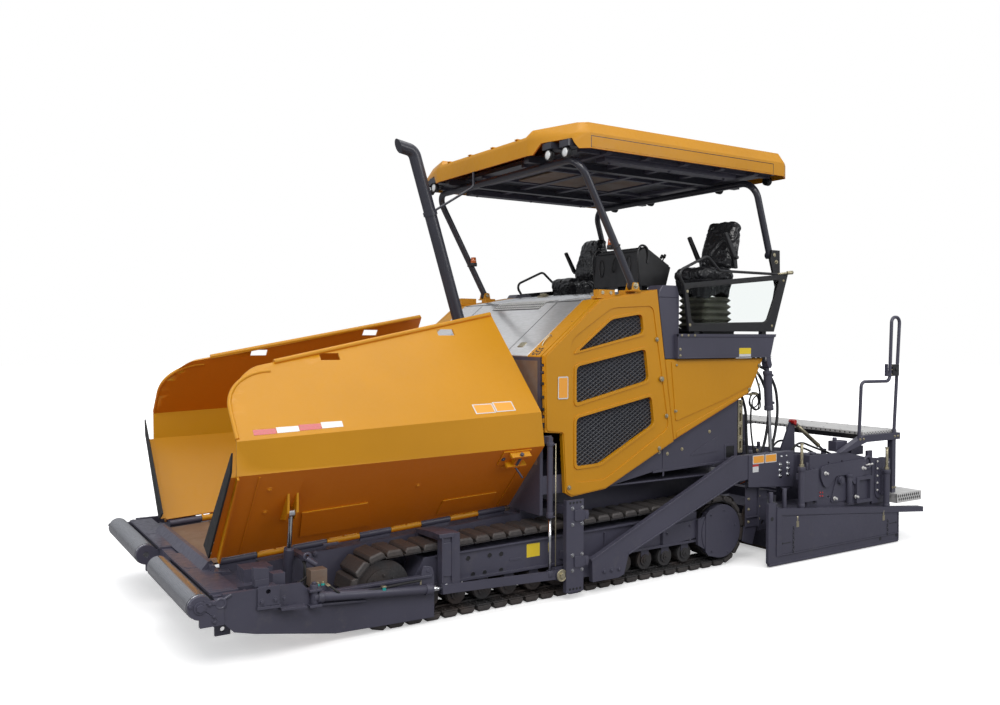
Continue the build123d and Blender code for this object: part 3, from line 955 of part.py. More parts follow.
with BuildPart() as canopy_frame:
    for pivot, bend in ((FRONT_PIVOT, FRONT_BEND), (REAR_PIVOT, REAR_BEND)):
        bent_tube([(POST_X, pivot[0], pivot[1]), (POST_X, bend[0], bend[1]),
                   (-POST_X, bend[0], bend[1]), (-POST_X, pivot[0], pivot[1])], HOOP_BEND_RADIUS, POST_RADIUS)
        for boss_x in (POST_X, -POST_X):
            rod_x((boss_x - BOSS_HALF, boss_x + BOSS_HALF), pivot[0], pivot[1], POST_RADIUS + 2)
    # beams along the roof, seated on the hoops and under the roof's sheet
    for beam_x in (-700, 700):
        block((beam_x - 35, beam_x + 35), (CANOPY_FRONT_Y + 60, CANOPY_REAR_Y - 60), (FRONT_BEND[1] + 20, 3720))
    # dark ceiling with cross ribs, and the pods behind the front lights
    block((-HALF + 60, HALF - 60), (CANOPY_FRONT_Y + 250, CANOPY_REAR_Y - 140), (3718, 3730))
    block((-HALF + CANOPY_SHEET, HALF - CANOPY_SHEET), (CANOPY_FRONT_Y + 260, CANOPY_FRONT_Y + 300), (3722, 3760))
    block((-HALF + CANOPY_SHEET, HALF - CANOPY_SHEET), (CANOPY_REAR_Y - 200, CANOPY_REAR_Y - 160), (3722, 3760))
    for side in (1, -1):
        for pod_x, pod_y in ((1000, 60), (1180, 105)):
            block((side * pod_x - 62, side * pod_x + 62), (CANOPY_FRONT_Y + pod_y, CANOPY_FRONT_Y + 255), (3722, 3776))
save(canopy_frame, "canopy_frame")

LIGHT_RADIUS = 46
LIGHT_DEPTH = 50
with BuildPart() as canopy_lights:
    # round work lights under the front pods and the roof's rear edge: (x, y, z)
    for light_x, light_y in ((1000, 66), (1180, 111)):
        rod((light_x, CANOPY_FRONT_Y + light_y, 3676), (light_x, CANOPY_FRONT_Y + light_y + LIGHT_DEPTH, 3676),
            LIGHT_RADIUS)
    for light_x in (1150, 520):
        rod((light_x, CANOPY_REAR_Y - 200, 3676), (light_x, CANOPY_REAR_Y - 150, 3676), LIGHT_RADIUS - 4)
    mirror(about=Plane.YZ)
save(canopy_lights, "canopy_lights")

# ================================================================ tow point, drag bars and levelling cylinders
TOW_PIN = (Y_BODY + 152, 212)
TOW_PIN_RADIUS = 28
ARM_IN_X = 1275
ARM_THICKNESS = 50
ANCHOR_Y = (IDLER_Y + 420, IDLER_Y + 580)
DRAG_THICKNESS = 30
POST_Y = (TOW_PIN[0] + 77, TOW_PIN[0] + 167)
POST_GAP = 7
LEVEL_Y = TOW_PIN[0] - 103
LEVEL_X = ARM_IN_X + 18
LEVEL_TOP = 1345

with BuildPart() as tow_point_gear:
    # anchors that hook over the tracks, with the drag bars bolted to them
    plate_xz(ANCHOR_Y, [(CHASSIS_SIDE_X, 530), (CHASSIS_SIDE_X + 30, 530), (CHASSIS_SIDE_X + 30, 606),
                        (ARM_IN_X - 60, 612), (ARM_IN_X - 60, 215), (ARM_IN_X, 215), (ARM_IN_X, 665),
                        (ARM_IN_X - 95, 665), (CHASSIS_SIDE_X, 638)])
    plate_yz((ARM_IN_X, ARM_IN_X + DRAG_THICKNESS), [(ANCHOR_Y[0], 222), (ANCHOR_Y[1], 218), (TOW_PIN[0] + 38, TOW_PIN[1] - 34),
             (TOW_PIN[0] + 38, TOW_PIN[1] + 34), (ANCHOR_Y[1], 282), (ANCHOR_Y[0], 286)])
    rod_x((ARM_IN_X - 42, ARM_IN_X + DRAG_THICKNESS), TOW_PIN[0], TOW_PIN[1], TOW_PIN_RADIUS)
    rod_x((ARM_IN_X + DRAG_THICKNESS, ARM_IN_X + DRAG_THICKNESS + 14), TOW_PIN[0], TOW_PIN[1], 52)
    # levelling cylinders: bracket on the bulkhead, barrel, rod and eye on the drag bar
    block((BULKHEAD_HALF_WIDTH, LEVEL_X + 20), (BULKHEAD_Y, BULKHEAD_Y + BULKHEAD_THICKNESS), (LEVEL_TOP - 60, LEVEL_TOP))
    rod((LEVEL_X, LEVEL_Y, LEVEL_TOP - 5), (LEVEL_X, LEVEL_Y, 700), 24)
    rod((LEVEL_X, LEVEL_Y, 705), (LEVEL_X, LEVEL_Y, TOW_PIN[1] + 20), 12)
    mirror(about=Plane.YZ)
save(tow_point_gear, "tow_point_gear")

with BuildPart() as guide_posts:
    # upright guide for the tow arm, clamped to the track frame below and the chassis above
    block((ARM_IN_X + POST_GAP, ARM_IN_X + POST_GAP + 40), POST_Y, (45, 800))
    block((FRAME_OUT_X, ARM_IN_X + POST_GAP), (POST_Y[0] + 10, POST_Y[1] - 10), (310, 372))
    block((CHASSIS_SIDE_X, ARM_IN_X + POST_GAP), (POST_Y[0] + 10, POST_Y[1] - 10), (690, 750))
    # bolt holes at both ends
    for row_z in (85, 765):
        with Locations(*[(ARM_IN_X + 20, POST_Y[0] + 15 + 20 * number, row_z) for number in range(4)]):
            Cylinder(6, 80, rotation=(0, 90, 0), mode=Mode.SUBTRACT)
    mirror(about=Plane.YZ)
save(guide_posts, "guide_posts")

# ================================================================ tow arms and screed
LIFT_X = 1240            # screed lift cylinders: pivot under the platform and eye beside the arm, as (y, z)
LIFT_TOP = (Y_TAIL - 20, 1880)
LIFT_EYE = (Y_TAIL + 41, 1000)
LINK_IN_X = ARM_IN_X - 50
with BuildPart() as tow_arms:
    plate_yz((ARM_IN_X, ARM_IN_X + ARM_THICKNESS), [(Y_BODY + 461, 300), (Y_TAIL - 531, 1040), (Y_TAIL + 264, 1040),
             (Y_TAIL + 264, 700), (Y_TAIL + 177, 655), (Y_TAIL - 183, 825), (Y_TAIL - 494, 800), (Y_BODY + 859, 290),
             (Y_BODY + 809, 130), (Y_BODY + 749, 110), (Y_BODY + 469, 110)])
    plate_yz((LINK_IN_X, ARM_IN_X), [(Y_BODY + 461, 145), (Y_BODY + 800, 145), (Y_BODY + 800, 262), (Y_BODY + 461, 262)])
    plate_yz((LINK_IN_X, ARM_IN_X - MOVE_CLEARANCE), [(TOW_PIN[0] - 30, TOW_PIN[1] - 50), (Y_BODY + 470, 145), (Y_BODY + 470, 262),
             (TOW_PIN[0] - 30, TOW_PIN[1] + 50), (TOW_PIN[0] - 50, TOW_PIN[1])])
    rod_x((LINK_IN_X - 5, ARM_IN_X + 5), TOW_PIN[0], TOW_PIN[1], TOW_PIN_RADIUS + PIN_CLEARANCE, mode=Mode.SUBTRACT)
    # pocket beside the rear plate for the lift cylinder's eye
    pocket_x = LIFT_X - EYE_HALF_WIDTH - LUG_GAP - 12
    block((pocket_x, ARM_IN_X), (LIFT_EYE[0] - 60, LIFT_EYE[0] + 60), (LIFT_EYE[1] - 64, LIFT_EYE[1] - 50))
    block((pocket_x, pocket_x + 12), (LIFT_EYE[0] - 60, LIFT_EYE[0] + 60), (LIFT_EYE[1] - 64, LIFT_EYE[1] + 34))
    mirror(about=Plane.YZ)
save(tow_arms, "tow_arms")

SCREED_HALF = 1420       # bolt-on faces of the basic screed
SCREED_FRONT_Y = Y_TAIL + 214
SCREED_REAR_Y = Y_REAR - 450
SCREED_LOW = 6
SOLE_THICKNESS = 34
SCREED_WALL = 10
SCREED_BOX_TOP = 470
HEAD_FRONT_Y = Y_TAIL + 393
HEAD_REAR_Y = Y_REAR - 810
END_FRAME_TOP = 990
END_HOLE_RADIUS = 12
END_HOLE_Y = (HEAD_FRONT_Y + 290, HEAD_FRONT_Y + 500)
END_HOLE_Z = (560, 900)
WALKWAY_Z = 1170
STEP_Z = 500

with BuildPart() as screed_plate:
    plate_yz((-SCREED_HALF, SCREED_HALF), [(SCREED_FRONT_Y + 30, SCREED_LOW), (SCREED_REAR_Y, SCREED_LOW),
             (SCREED_REAR_Y, SCREED_LOW + SOLE_THICKNESS), (SCREED_FRONT_Y, SCREED_LOW + SOLE_THICKNESS)])
save(screed_plate, "screed_plate")

with BuildPart() as screed_frame:
    # hollow lower casing with rounded-off nose
    casing = [(SCREED_FRONT_Y, SCREED_LOW + SOLE_THICKNESS), (SCREED_REAR_Y, SCREED_LOW + SOLE_THICKNESS),
              (SCREED_REAR_Y, SCREED_BOX_TOP - 40), (HEAD_REAR_Y, SCREED_BOX_TOP), (HEAD_FRONT_Y, SCREED_BOX_TOP),
              (SCREED_FRONT_Y, SCREED_BOX_TOP - 60)]
    plate_yz((-SCREED_HALF + 20, SCREED_HALF - 20), casing)
    inner = [(SCREED_FRONT_Y + SCREED_WALL, SCREED_LOW + SOLE_THICKNESS + SCREED_WALL),
             (SCREED_REAR_Y - SCREED_WALL, SCREED_LOW + SOLE_THICKNESS + SCREED_WALL),
             (SCREED_REAR_Y - SCREED_WALL, SCREED_BOX_TOP - 52), (HEAD_REAR_Y - 5, SCREED_BOX_TOP - SCREED_WALL),
             (HEAD_FRONT_Y + 5, SCREED_BOX_TOP - SCREED_WALL), (SCREED_FRONT_Y + SCREED_WALL, SCREED_BOX_TOP - 74)]
    plate_yz((-SCREED_HALF + 30, SCREED_HALF - 30), inner, mode=Mode.SUBTRACT)
    # bolt-on end frames and the two cross tubes between them
    for low_x in (-SCREED_HALF, SCREED_HALF - 20):
        plate_yz((low_x, low_x + 20), [(HEAD_FRONT_Y, SCREED_BOX_TOP - 30), (HEAD_FRONT_Y, END_FRAME_TOP), (HEAD_FRONT_Y + 560, END_FRAME_TOP),
                 (HEAD_REAR_Y, 900), (HEAD_REAR_Y, SCREED_BOX_TOP - 30)])
        plate_yz((low_x, low_x + 20), [(HEAD_REAR_Y + 50, SCREED_BOX_TOP - 50), (HEAD_REAR_Y + 50, 900),
                 (SCREED_REAR_Y, 870), (SCREED_REAR_Y, SCREED_BOX_TOP - 50)])
    for tube_y, tube_z in ((HEAD_FRONT_Y + 150, 880), (HEAD_REAR_Y - 200, 820)):
        rod_x((-SCREED_HALF + 10, SCREED_HALF - 10), tube_y, tube_z, 60)
    # holes for bolting on screed extensions
    for hole_y in (END_HOLE_Y[0], END_HOLE_Y[1]):
        for hole_z in (END_HOLE_Z[0], END_HOLE_Z[1]):
            for low_x in (-SCREED_HALF, SCREED_HALF - 20):
                rod_x((low_x - 5, low_x + 25), hole_y, hole_z, END_HOLE_RADIUS, mode=Mode.SUBTRACT)
    # ribs over the casing
    for rib_x in (-1000, -340, 320, 980):
        plate_yz((rib_x, rib_x + 20), [(HEAD_FRONT_Y + 40, SCREED_BOX_TOP - 4), (HEAD_FRONT_Y + 60, 950), (HEAD_FRONT_Y + 240, 1300),
                 (HEAD_FRONT_Y + 290, 1300), (HEAD_FRONT_Y + 300, 960), (HEAD_REAR_Y - 80, 900), (HEAD_REAR_Y, SCREED_BOX_TOP - 4)])
    # turnbuckles from the outer ribs down to lugs on the rear cross tube
    for side in (1, -1):
        rod((side * 1010, HEAD_FRONT_Y + 250, 1280), (side * 1010, HEAD_REAR_Y - 190, 945), 12)
        block(sorted((side * 998, side * 1022)), (HEAD_REAR_Y - 225, HEAD_REAR_Y - 165), (860, 965))
    # brackets to the tow arms' rear plates
    for side in (1, -1):
        block(sorted((side * (ARM_IN_X - 22), side * ARM_IN_X)), (Y_TAIL + 110, HEAD_FRONT_Y + 22), (660, 990))
        block(sorted((side * (ARM_IN_X - 22), side * (SCREED_HALF - 10))), (HEAD_FRONT_Y, HEAD_FRONT_Y + 22), (660, 990))
save(screed_frame, "screed_frame")

GATE_X = (PAVING_WIDTH / 2 - 30, PAVING_WIDTH / 2 - 10)
GATE_FRONT_Y = Y_TAIL - 300
GATE_REAR_Y = Y_REAR - 432
GATE_NOSE = 110          # length of the plate ahead of its upright tube
BAR_FRONT_Z = 557
BAR_REAR_Z = 332
JACK_Y = (Y_TAIL + 189, SCREED_REAR_Y - 162)
JACK_LOW = (500, 370)
with BuildPart() as end_gates:
    # side plate that stands on the ground, under a bar that slopes down to the rear
    plate_yz(GATE_X, [(GATE_FRONT_Y, BAR_FRONT_Z + 45), (GATE_FRONT_Y, 40), (GATE_FRONT_Y + 24, SCREED_LOW),
             (GATE_REAR_Y, SCREED_LOW), (GATE_REAR_Y, BAR_REAR_Z + 10), (GATE_FRONT_Y + GATE_NOSE, BAR_FRONT_Z - 15),
             (GATE_FRONT_Y + GATE_NOSE, BAR_FRONT_Z + 40)])
    plate_yz((GATE_X[0] - 40, PAVING_WIDTH / 2), [(GATE_FRONT_Y + GATE_NOSE + 10, BAR_FRONT_Z - 11),
             (GATE_FRONT_Y + GATE_NOSE + 10, BAR_FRONT_Z - 73), (Y_REAR, BAR_REAR_Z - 55), (Y_REAR, BAR_REAR_Z)])
    block((GATE_X[0] - 10, PAVING_WIDTH / 2), (GATE_FRONT_Y + GATE_NOSE, GATE_FRONT_Y + GATE_NOSE + 70),
          (100, BAR_FRONT_Z - 30))
    # height jacks and the arms that carry the gate on the screed's end frames
    for jack_y, jack_low in zip(JACK_Y, JACK_LOW):
        rod((GATE_X[0], jack_y, jack_low), (GATE_X[0], jack_y, jack_low + 400), 30)
        rod((GATE_X[0], jack_y, jack_low + 400), (GATE_X[0], jack_y, jack_low + 640), 13)
    block((SCREED_HALF, GATE_X[0]), (HEAD_FRONT_Y + 10, HEAD_FRONT_Y + 40), (560, 860))
    block((GATE_X[0] - 40, GATE_X[0]), (JACK_Y[0], HEAD_FRONT_Y + 40), (560, 860))
    block((SCREED_HALF, GATE_X[0]), (JACK_Y[1] - 15, JACK_Y[1] + 15), (500, 760))
    mirror(about=Plane.YZ)
save(end_gates, "end_gates")

DECK_HALF = 1395
STEP_HALF = PAVING_WIDTH / 2 - 25
with BuildPart() as screed_walkway:
    # upper planks and the lower rear step, each on bearers
    block((-DECK_HALF, DECK_HALF), (HEAD_REAR_Y - 70, SCREED_REAR_Y + 150), (WALKWAY_Z - 30, WALKWAY_Z))
    block((-STEP_HALF, STEP_HALF), (SCREED_REAR_Y + 10, Y_REAR), (STEP_Z - 50, STEP_Z))
    block((-DECK_HALF, DECK_HALF), (SCREED_REAR_Y, SCREED_REAR_Y + 10), (SCREED_BOX_TOP - 140, STEP_Z))
save(screed_walkway, "screed_walkway")

RAIL_X = 1400
RAIL_RADIUS = 17
RAIL_LOW_Z = 1695        # the rail's lower, level stretch
RAIL_TOP_Z = 2366
with BuildPart() as screed_handrails:
    # bearer under the planks with its post and strut, then the bent handrail and its switch box
    beam_x = RAIL_X - 35
    plate_yz((beam_x, beam_x + 70), [(HEAD_FRONT_Y + 460, END_FRAME_TOP), (HEAD_FRONT_Y + 560, END_FRAME_TOP),
             (HEAD_REAR_Y - 60, WALKWAY_Z - 100), (SCREED_REAR_Y + 150, WALKWAY_Z - 100),
             (SCREED_REAR_Y + 150, WALKWAY_Z - 30), (HEAD_REAR_Y - 106, WALKWAY_Z - 30)])
    block((beam_x, beam_x + 60), (SCREED_REAR_Y + 30, SCREED_REAR_Y + 90), (STEP_Z, WALKWAY_Z - 80))
    rail_x = RAIL_X + RAIL_RADIUS - 3
    bent_tube([(rail_x, HEAD_REAR_Y - 165, WALKWAY_Z - 70), (rail_x, HEAD_REAR_Y - 135, RAIL_LOW_Z),
               (rail_x, SCREED_REAR_Y - 15, RAIL_LOW_Z - 5), (rail_x, SCREED_REAR_Y + 10, RAIL_TOP_Z),
               (rail_x, SCREED_REAR_Y + 150, RAIL_TOP_Z), (rail_x, SCREED_REAR_Y + 68, WALKWAY_Z - 50)], 60, RAIL_RADIUS)
    block((RAIL_X - 4, RAIL_X + 26), (SCREED_REAR_Y - 78, SCREED_REAR_Y + 108), (1742, 1772))
    block((RAIL_X - 4, RAIL_X + 26), (SCREED_REAR_Y - 78, SCREED_REAR_Y - 60), (1742, 1872))
    block((RAIL_X + 2, RAIL_X + 26), (SCREED_REAR_Y - 5, SCREED_REAR_Y + 112), (1742, 1868))
    mirror(about=Plane.YZ)
save(screed_handrails, "screed_handrails")

# ================================================================ screed lift cylinders
LIFT_BARREL_RADIUS = 40
LIFT_BARREL_LENGTH = 440
LIFT_ROD_RADIUS = 18
LIFT_EYE_RADIUS = 30
LIFT_PIN_RADIUS = 16
lift_start = Vector(LIFT_X, *LIFT_TOP)
lift_end = Vector(LIFT_X, *LIFT_EYE)
lift_axis = (lift_end - lift_start).normalized()

with BuildPart() as lift_barrels:
    rod(lift_start + lift_axis * 14, lift_start + lift_axis * 60, EYE_HALF_WIDTH - 2)
    rod(lift_start + lift_axis * 56, lift_start + lift_axis * LIFT_BARREL_LENGTH, LIFT_BARREL_RADIUS)
    rod_x((LIFT_X - EYE_HALF_WIDTH, LIFT_X + EYE_HALF_WIDTH), LIFT_TOP[0], LIFT_TOP[1], LIFT_EYE_RADIUS)
    rod_x((LIFT_X - 60, LIFT_X + 60), LIFT_TOP[0], LIFT_TOP[1], LIFT_PIN_RADIUS + PIN_CLEARANCE, mode=Mode.SUBTRACT)
    rod(lift_start + lift_axis * 70, lift_start + lift_axis * (LIFT_BARREL_LENGTH + 5),
        LIFT_ROD_RADIUS + ROD_CLEARANCE, mode=Mode.SUBTRACT)
    mirror(about=Plane.YZ)
save(lift_barrels, "lift_barrels")

with BuildPart() as lift_rods:
    rod(lift_start + lift_axis * (LIFT_BARREL_LENGTH - 50), lift_end - lift_axis * 10, LIFT_ROD_RADIUS)
    rod_x((LIFT_X - EYE_HALF_WIDTH, LIFT_X + EYE_HALF_WIDTH), LIFT_EYE[0], LIFT_EYE[1], LIFT_EYE_RADIUS)
    mirror(about=Plane.YZ)
save(lift_rods, "lift_rods")

with BuildPart() as lift_brackets:
    add(cylinder_brackets.part)
    for ear_x in (LIFT_X - EYE_HALF_WIDTH - LUG_GAP - 12, LIFT_X + EYE_HALF_WIDTH + LUG_GAP):
        plate_yz((ear_x, ear_x + 12), [(LIFT_TOP[0] - 48, PLATFORM_LOW), (LIFT_TOP[0] + 8, PLATFORM_LOW),
                 (LIFT_TOP[0] + 30, LIFT_TOP[1]), (LIFT_TOP[0] + 14, LIFT_TOP[1] - 28),
                 (LIFT_TOP[0] - 14, LIFT_TOP[1] - 28), (LIFT_TOP[0] - 34, LIFT_TOP[1])])
    rod_x((LIFT_X - EYE_HALF_WIDTH - LUG_GAP - 6, LIFT_X + EYE_HALF_WIDTH + LUG_GAP + 6), LIFT_TOP[0], LIFT_TOP[1], LIFT_PIN_RADIUS)
    mirror(about=Plane.YZ)
save(lift_brackets, "cylinder_brackets")

# ================================================================ augers
AUGER_Y = Y_TAIL - 51
AUGER_Z = 352
AUGER_RADIUS = 190
AUGER_SHAFT = 42
AUGER_START_X = 70
AUGER_END_X = 1200
AUGER_STEPS = 16
FLIGHT_THICKNESS = 10
JOURNAL_RADIUS = 24
JOURNAL_LENGTH = 22
with BuildPart() as auger_left:
    rod_x((AUGER_START_X, AUGER_END_X), AUGER_Y, AUGER_Z, AUGER_SHAFT)
    rod_x((AUGER_START_X - JOURNAL_LENGTH, AUGER_END_X + JOURNAL_LENGTH), AUGER_Y, AUGER_Z, JOURNAL_RADIUS)
    flight_step = (AUGER_END_X - AUGER_START_X - 120) / (AUGER_STEPS - 1)
    for number in range(AUGER_STEPS):
        flight_x = AUGER_START_X + 50 + number * flight_step
        with BuildSketch(Plane.YZ.offset(flight_x)) as flight:
            with Locations(Location((AUGER_Y, AUGER_Z, 0), (0, 0, -90 * number))):
                Circle(AUGER_RADIUS)
                Rectangle(AUGER_RADIUS + 5, AUGER_RADIUS + 5, align=(Align.MIN, Align.MIN), mode=Mode.INTERSECT)
        extrude(flight.sketch, amount=FLIGHT_THICKNESS)
save_pair(auger_left, "auger")

with BuildPart() as auger_bracket:
    # beam over the augers, its arms to the chassis, the middle gear case and the outer hangers
    block((-1240, 1240), (AUGER_Y - 60, AUGER_Y + 40), (AUGER_Z + AUGER_RADIUS + 40, AUGER_Z + AUGER_RADIUS + 130))
    for arm_x in (-CHASSIS_SIDE_X, CHASSIS_IN_X):
        block((arm_x, arm_x + CHASSIS_SIDE_X - CHASSIS_IN_X), (CHASSIS_REAR_Y, AUGER_Y - 60),
              (AUGER_Z + AUGER_RADIUS + 40, AUGER_Z + AUGER_RADIUS + 130))
    block((-AUGER_START_X + MOVE_CLEARANCE, AUGER_START_X - MOVE_CLEARANCE), (AUGER_Y - 90, AUGER_Y + 90), (AUGER_Z - 110, AUGER_Z + AUGER_RADIUS + 45))
    for hanger_x in (-AUGER_END_X - 22 - MOVE_CLEARANCE, AUGER_END_X + MOVE_CLEARANCE):
        block((hanger_x, hanger_x + 22), (AUGER_Y - 60, AUGER_Y + 60), (AUGER_Z - 70, AUGER_Z + AUGER_RADIUS + 45))
    # bearings of both shafts
    for low_x in (AUGER_START_X - JOURNAL_LENGTH - 4, AUGER_END_X):
        for side in (1, -1):
            rod_x((side * low_x, side * (low_x + 40)), AUGER_Y, AUGER_Z, JOURNAL_RADIUS + PIN_CLEARANCE, mode=Mode.SUBTRACT)
save(auger_bracket, "auger_bracket")

with BuildPart() as slotted_brackets:
    # slotted zinc uprights at the rear corners of the body
    block((BODY_HALF_WIDTH - 6, BODY_HALF_WIDTH + 30), (CHASSIS_REAR_Y + 8, CHASSIS_REAR_Y + 66), (1045, 1550))
    with Locations(*[(BODY_HALF_WIDTH, CHASSIS_REAR_Y + 37, 1115 + 135 * number) for number in range(4)]):
        Box(100, 26, 80, mode=Mode.SUBTRACT)
    block((BODY_HALF_WIDTH - 40, BODY_HALF_WIDTH - 6), (CHASSIS_REAR_Y, CHASSIS_REAR_Y + 66), (1045, 1550))
    mirror(about=Plane.YZ)
save(slotted_brackets, "slotted_brackets")

# ================================================================ hoses at the rear
HOSE_RADIUS = 14


def hose(x, points):
    """A hose in one upright plane, its bends as wide as the runs beside them allow."""
    corners = [Vector(x, y, z) for y, z in points]
    radii = []
    for before, corner, after in zip(corners, corners[1:], corners[2:]):
        turn = (corner - before).get_angle(after - corner)
        run = min((corner - before).length, (after - corner).length)
        radii.append(0.45 * run / tan(radians(turn / 2)))
    with BuildLine() as route:
        FilletPolyline(*corners, radius=radii)
    with BuildSketch(Plane(origin=corners[0], z_dir=corners[1] - corners[0])) as section:
        Circle(HOSE_RADIUS)
    sweep(section.sketch, path=route.line)


BEAM_TOP_Z = AUGER_Z + AUGER_RADIUS + 130
with BuildPart() as rear_hoses:
    # two arches from under the platform and one from the body's rear wall, all down to the auger beam
    hose(1140, [(PLATFORM_REAR_Y - 30, PLATFORM_LOW), (PLATFORM_REAR_Y - 30, 1870), (PLATFORM_REAR_Y + 90, 1830),
                (PLATFORM_REAR_Y + 225, 1660), (PLATFORM_REAR_Y + 262, 1410), (PLATFORM_REAR_Y + 205, 1120),
                (PLATFORM_REAR_Y + 70, 890), (AUGER_Y + 8, 770), (AUGER_Y + 8, BEAM_TOP_Z)])
    hose(1095, [(PLATFORM_REAR_Y - 50, PLATFORM_LOW), (PLATFORM_REAR_Y - 50, 1850), (PLATFORM_REAR_Y + 50, 1765),
                (PLATFORM_REAR_Y + 155, 1590), (PLATFORM_REAR_Y + 180, 1350), (PLATFORM_REAR_Y + 120, 1090),
                (PLATFORM_REAR_Y + 20, 890), (AUGER_Y, 770), (AUGER_Y, BEAM_TOP_Z)])
    hose(1050, [(CHASSIS_REAR_Y, 1645), (CHASSIS_REAR_Y + 90, 1645), (CHASSIS_REAR_Y + 205, 1590),
                (CHASSIS_REAR_Y + 270, 1430), (CHASSIS_REAR_Y + 278, 1200), (AUGER_Y - 20, 960),
                (AUGER_Y - 10, 790), (AUGER_Y - 10, BEAM_TOP_Z)])
    mirror(about=Plane.YZ)
save(rear_hoses, "rear_hoses")
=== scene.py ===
"""Looks of the tracked asphalt paver: materials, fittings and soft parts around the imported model."""
import math

import bmesh
import bpy
from mathutils import Matrix, Vector, noise


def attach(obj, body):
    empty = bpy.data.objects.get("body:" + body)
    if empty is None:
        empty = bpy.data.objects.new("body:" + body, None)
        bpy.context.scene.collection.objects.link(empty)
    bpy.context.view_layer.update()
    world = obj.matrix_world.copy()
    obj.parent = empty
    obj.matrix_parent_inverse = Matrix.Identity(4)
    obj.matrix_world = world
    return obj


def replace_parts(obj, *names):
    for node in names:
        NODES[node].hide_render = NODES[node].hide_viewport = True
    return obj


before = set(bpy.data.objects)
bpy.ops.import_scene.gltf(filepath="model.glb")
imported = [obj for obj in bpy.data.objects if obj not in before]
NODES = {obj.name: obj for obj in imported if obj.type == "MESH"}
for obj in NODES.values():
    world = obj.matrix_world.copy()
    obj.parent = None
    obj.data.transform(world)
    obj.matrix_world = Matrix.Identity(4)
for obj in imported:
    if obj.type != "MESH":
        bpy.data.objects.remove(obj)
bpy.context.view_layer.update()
SCENE = bpy.context.scene
BLACK, WHITE = (0, 0, 0), (1, 1, 1)


# ------------------------------------------------------------------ shader helpers
def new_mat(name):
    m = bpy.data.materials.new(name)
    m.use_nodes = True
    return m, m.node_tree, m.node_tree.nodes["Principled BSDF"]


def link(tree, a, b):
    tree.links.new(a, b)


def node(tree, kind, **values):
    n = tree.nodes.new("ShaderNode" + kind)
    for key, value in values.items():
        if key in n.inputs:
            n.inputs[key].default_value = value
        else:
            setattr(n, key, value)
    return n


def feed(tree, n, values):
    """Numbers are set and sockets are linked, input by input."""
    for slot, value in values:
        if isinstance(value, (int, float)):
            n.inputs[slot].default_value = value
        elif isinstance(value, tuple):
            n.inputs[slot].default_value = (*value[:3], 1)
        else:
            link(tree, value, n.inputs[slot])


def maths(tree, operation, *values):
    m = node(tree, "Math", operation=operation)
    feed(tree, m, enumerate(values))
    return m.outputs[0]


def put(shader, **values):
    """Set inputs by name, with _ for a space."""
    for key, value in values.items():
        shader.inputs[key.replace("_", " ")].default_value = value


def coords(tree, scale=(1, 1, 1)):
    mapping = node(tree, "Mapping", Scale=scale)
    link(tree, node(tree, "TexCoord").outputs["Object"], mapping.inputs["Vector"])
    return mapping.outputs["Vector"]


def ramp(tree, source, *stops):
    r = node(tree, "ValToRGB")
    while len(r.color_ramp.elements) < len(stops):
        r.color_ramp.elements.new(0.5)
    for e, (place, color) in zip(r.color_ramp.elements, stops):
        e.position = place
        e.color = (*color, 1) if isinstance(color, tuple) else (color, color, color, 1)
    link(tree, source, r.inputs["Fac"])
    return r.outputs["Color"]


def mix(tree, a, b, factor):
    m = node(tree, "Mix", data_type="RGBA", blend_type="MIX")
    feed(tree, m, ((0, factor), (6, a), (7, b)))
    return m.outputs[2]


def noise_tex(tree, vector, scale, detail=4.0, rough=0.55):
    n = node(tree, "TexNoise", Scale=scale, Detail=detail, Roughness=rough)
    link(tree, vector, n.inputs["Vector"])
    return n.outputs["Fac"]


def bump(tree, shader, height, strength, distance):
    b = node(tree, "Bump", Strength=strength, Distance=distance)
    link(tree, height, b.inputs["Height"])
    link(tree, b.outputs["Normal"], shader.inputs["Normal"])


def parts_of(tree, socket):
    """X, Y and Z of a vector."""
    split = node(tree, "SeparateXYZ")
    link(tree, socket, split.inputs[0])
    return split.outputs


def height_mask(tree, low, high):
    """1 below a height and 0 above it, in metres."""
    r = node(tree, "MapRange", **{"From Min": low, "From Max": high, "To Min": 1, "To Max": 0})
    link(tree, parts_of(tree, node(tree, "TexCoord").outputs["Object"])["Z"], r.inputs["Value"])
    return r.outputs["Result"]


def scaled(color, factor, offset=0.0):
    return tuple(min(1, c * factor + offset) for c in color)


def vary_rough(tree, shader, source, rough, low, high):
    """Roughness between two shares of its value; low and high are (place, share)."""
    spread = ramp(tree, source, (low[0], rough * low[1]), (high[0], min(1, rough * high[1])))
    link(tree, spread, shader.inputs["Roughness"])


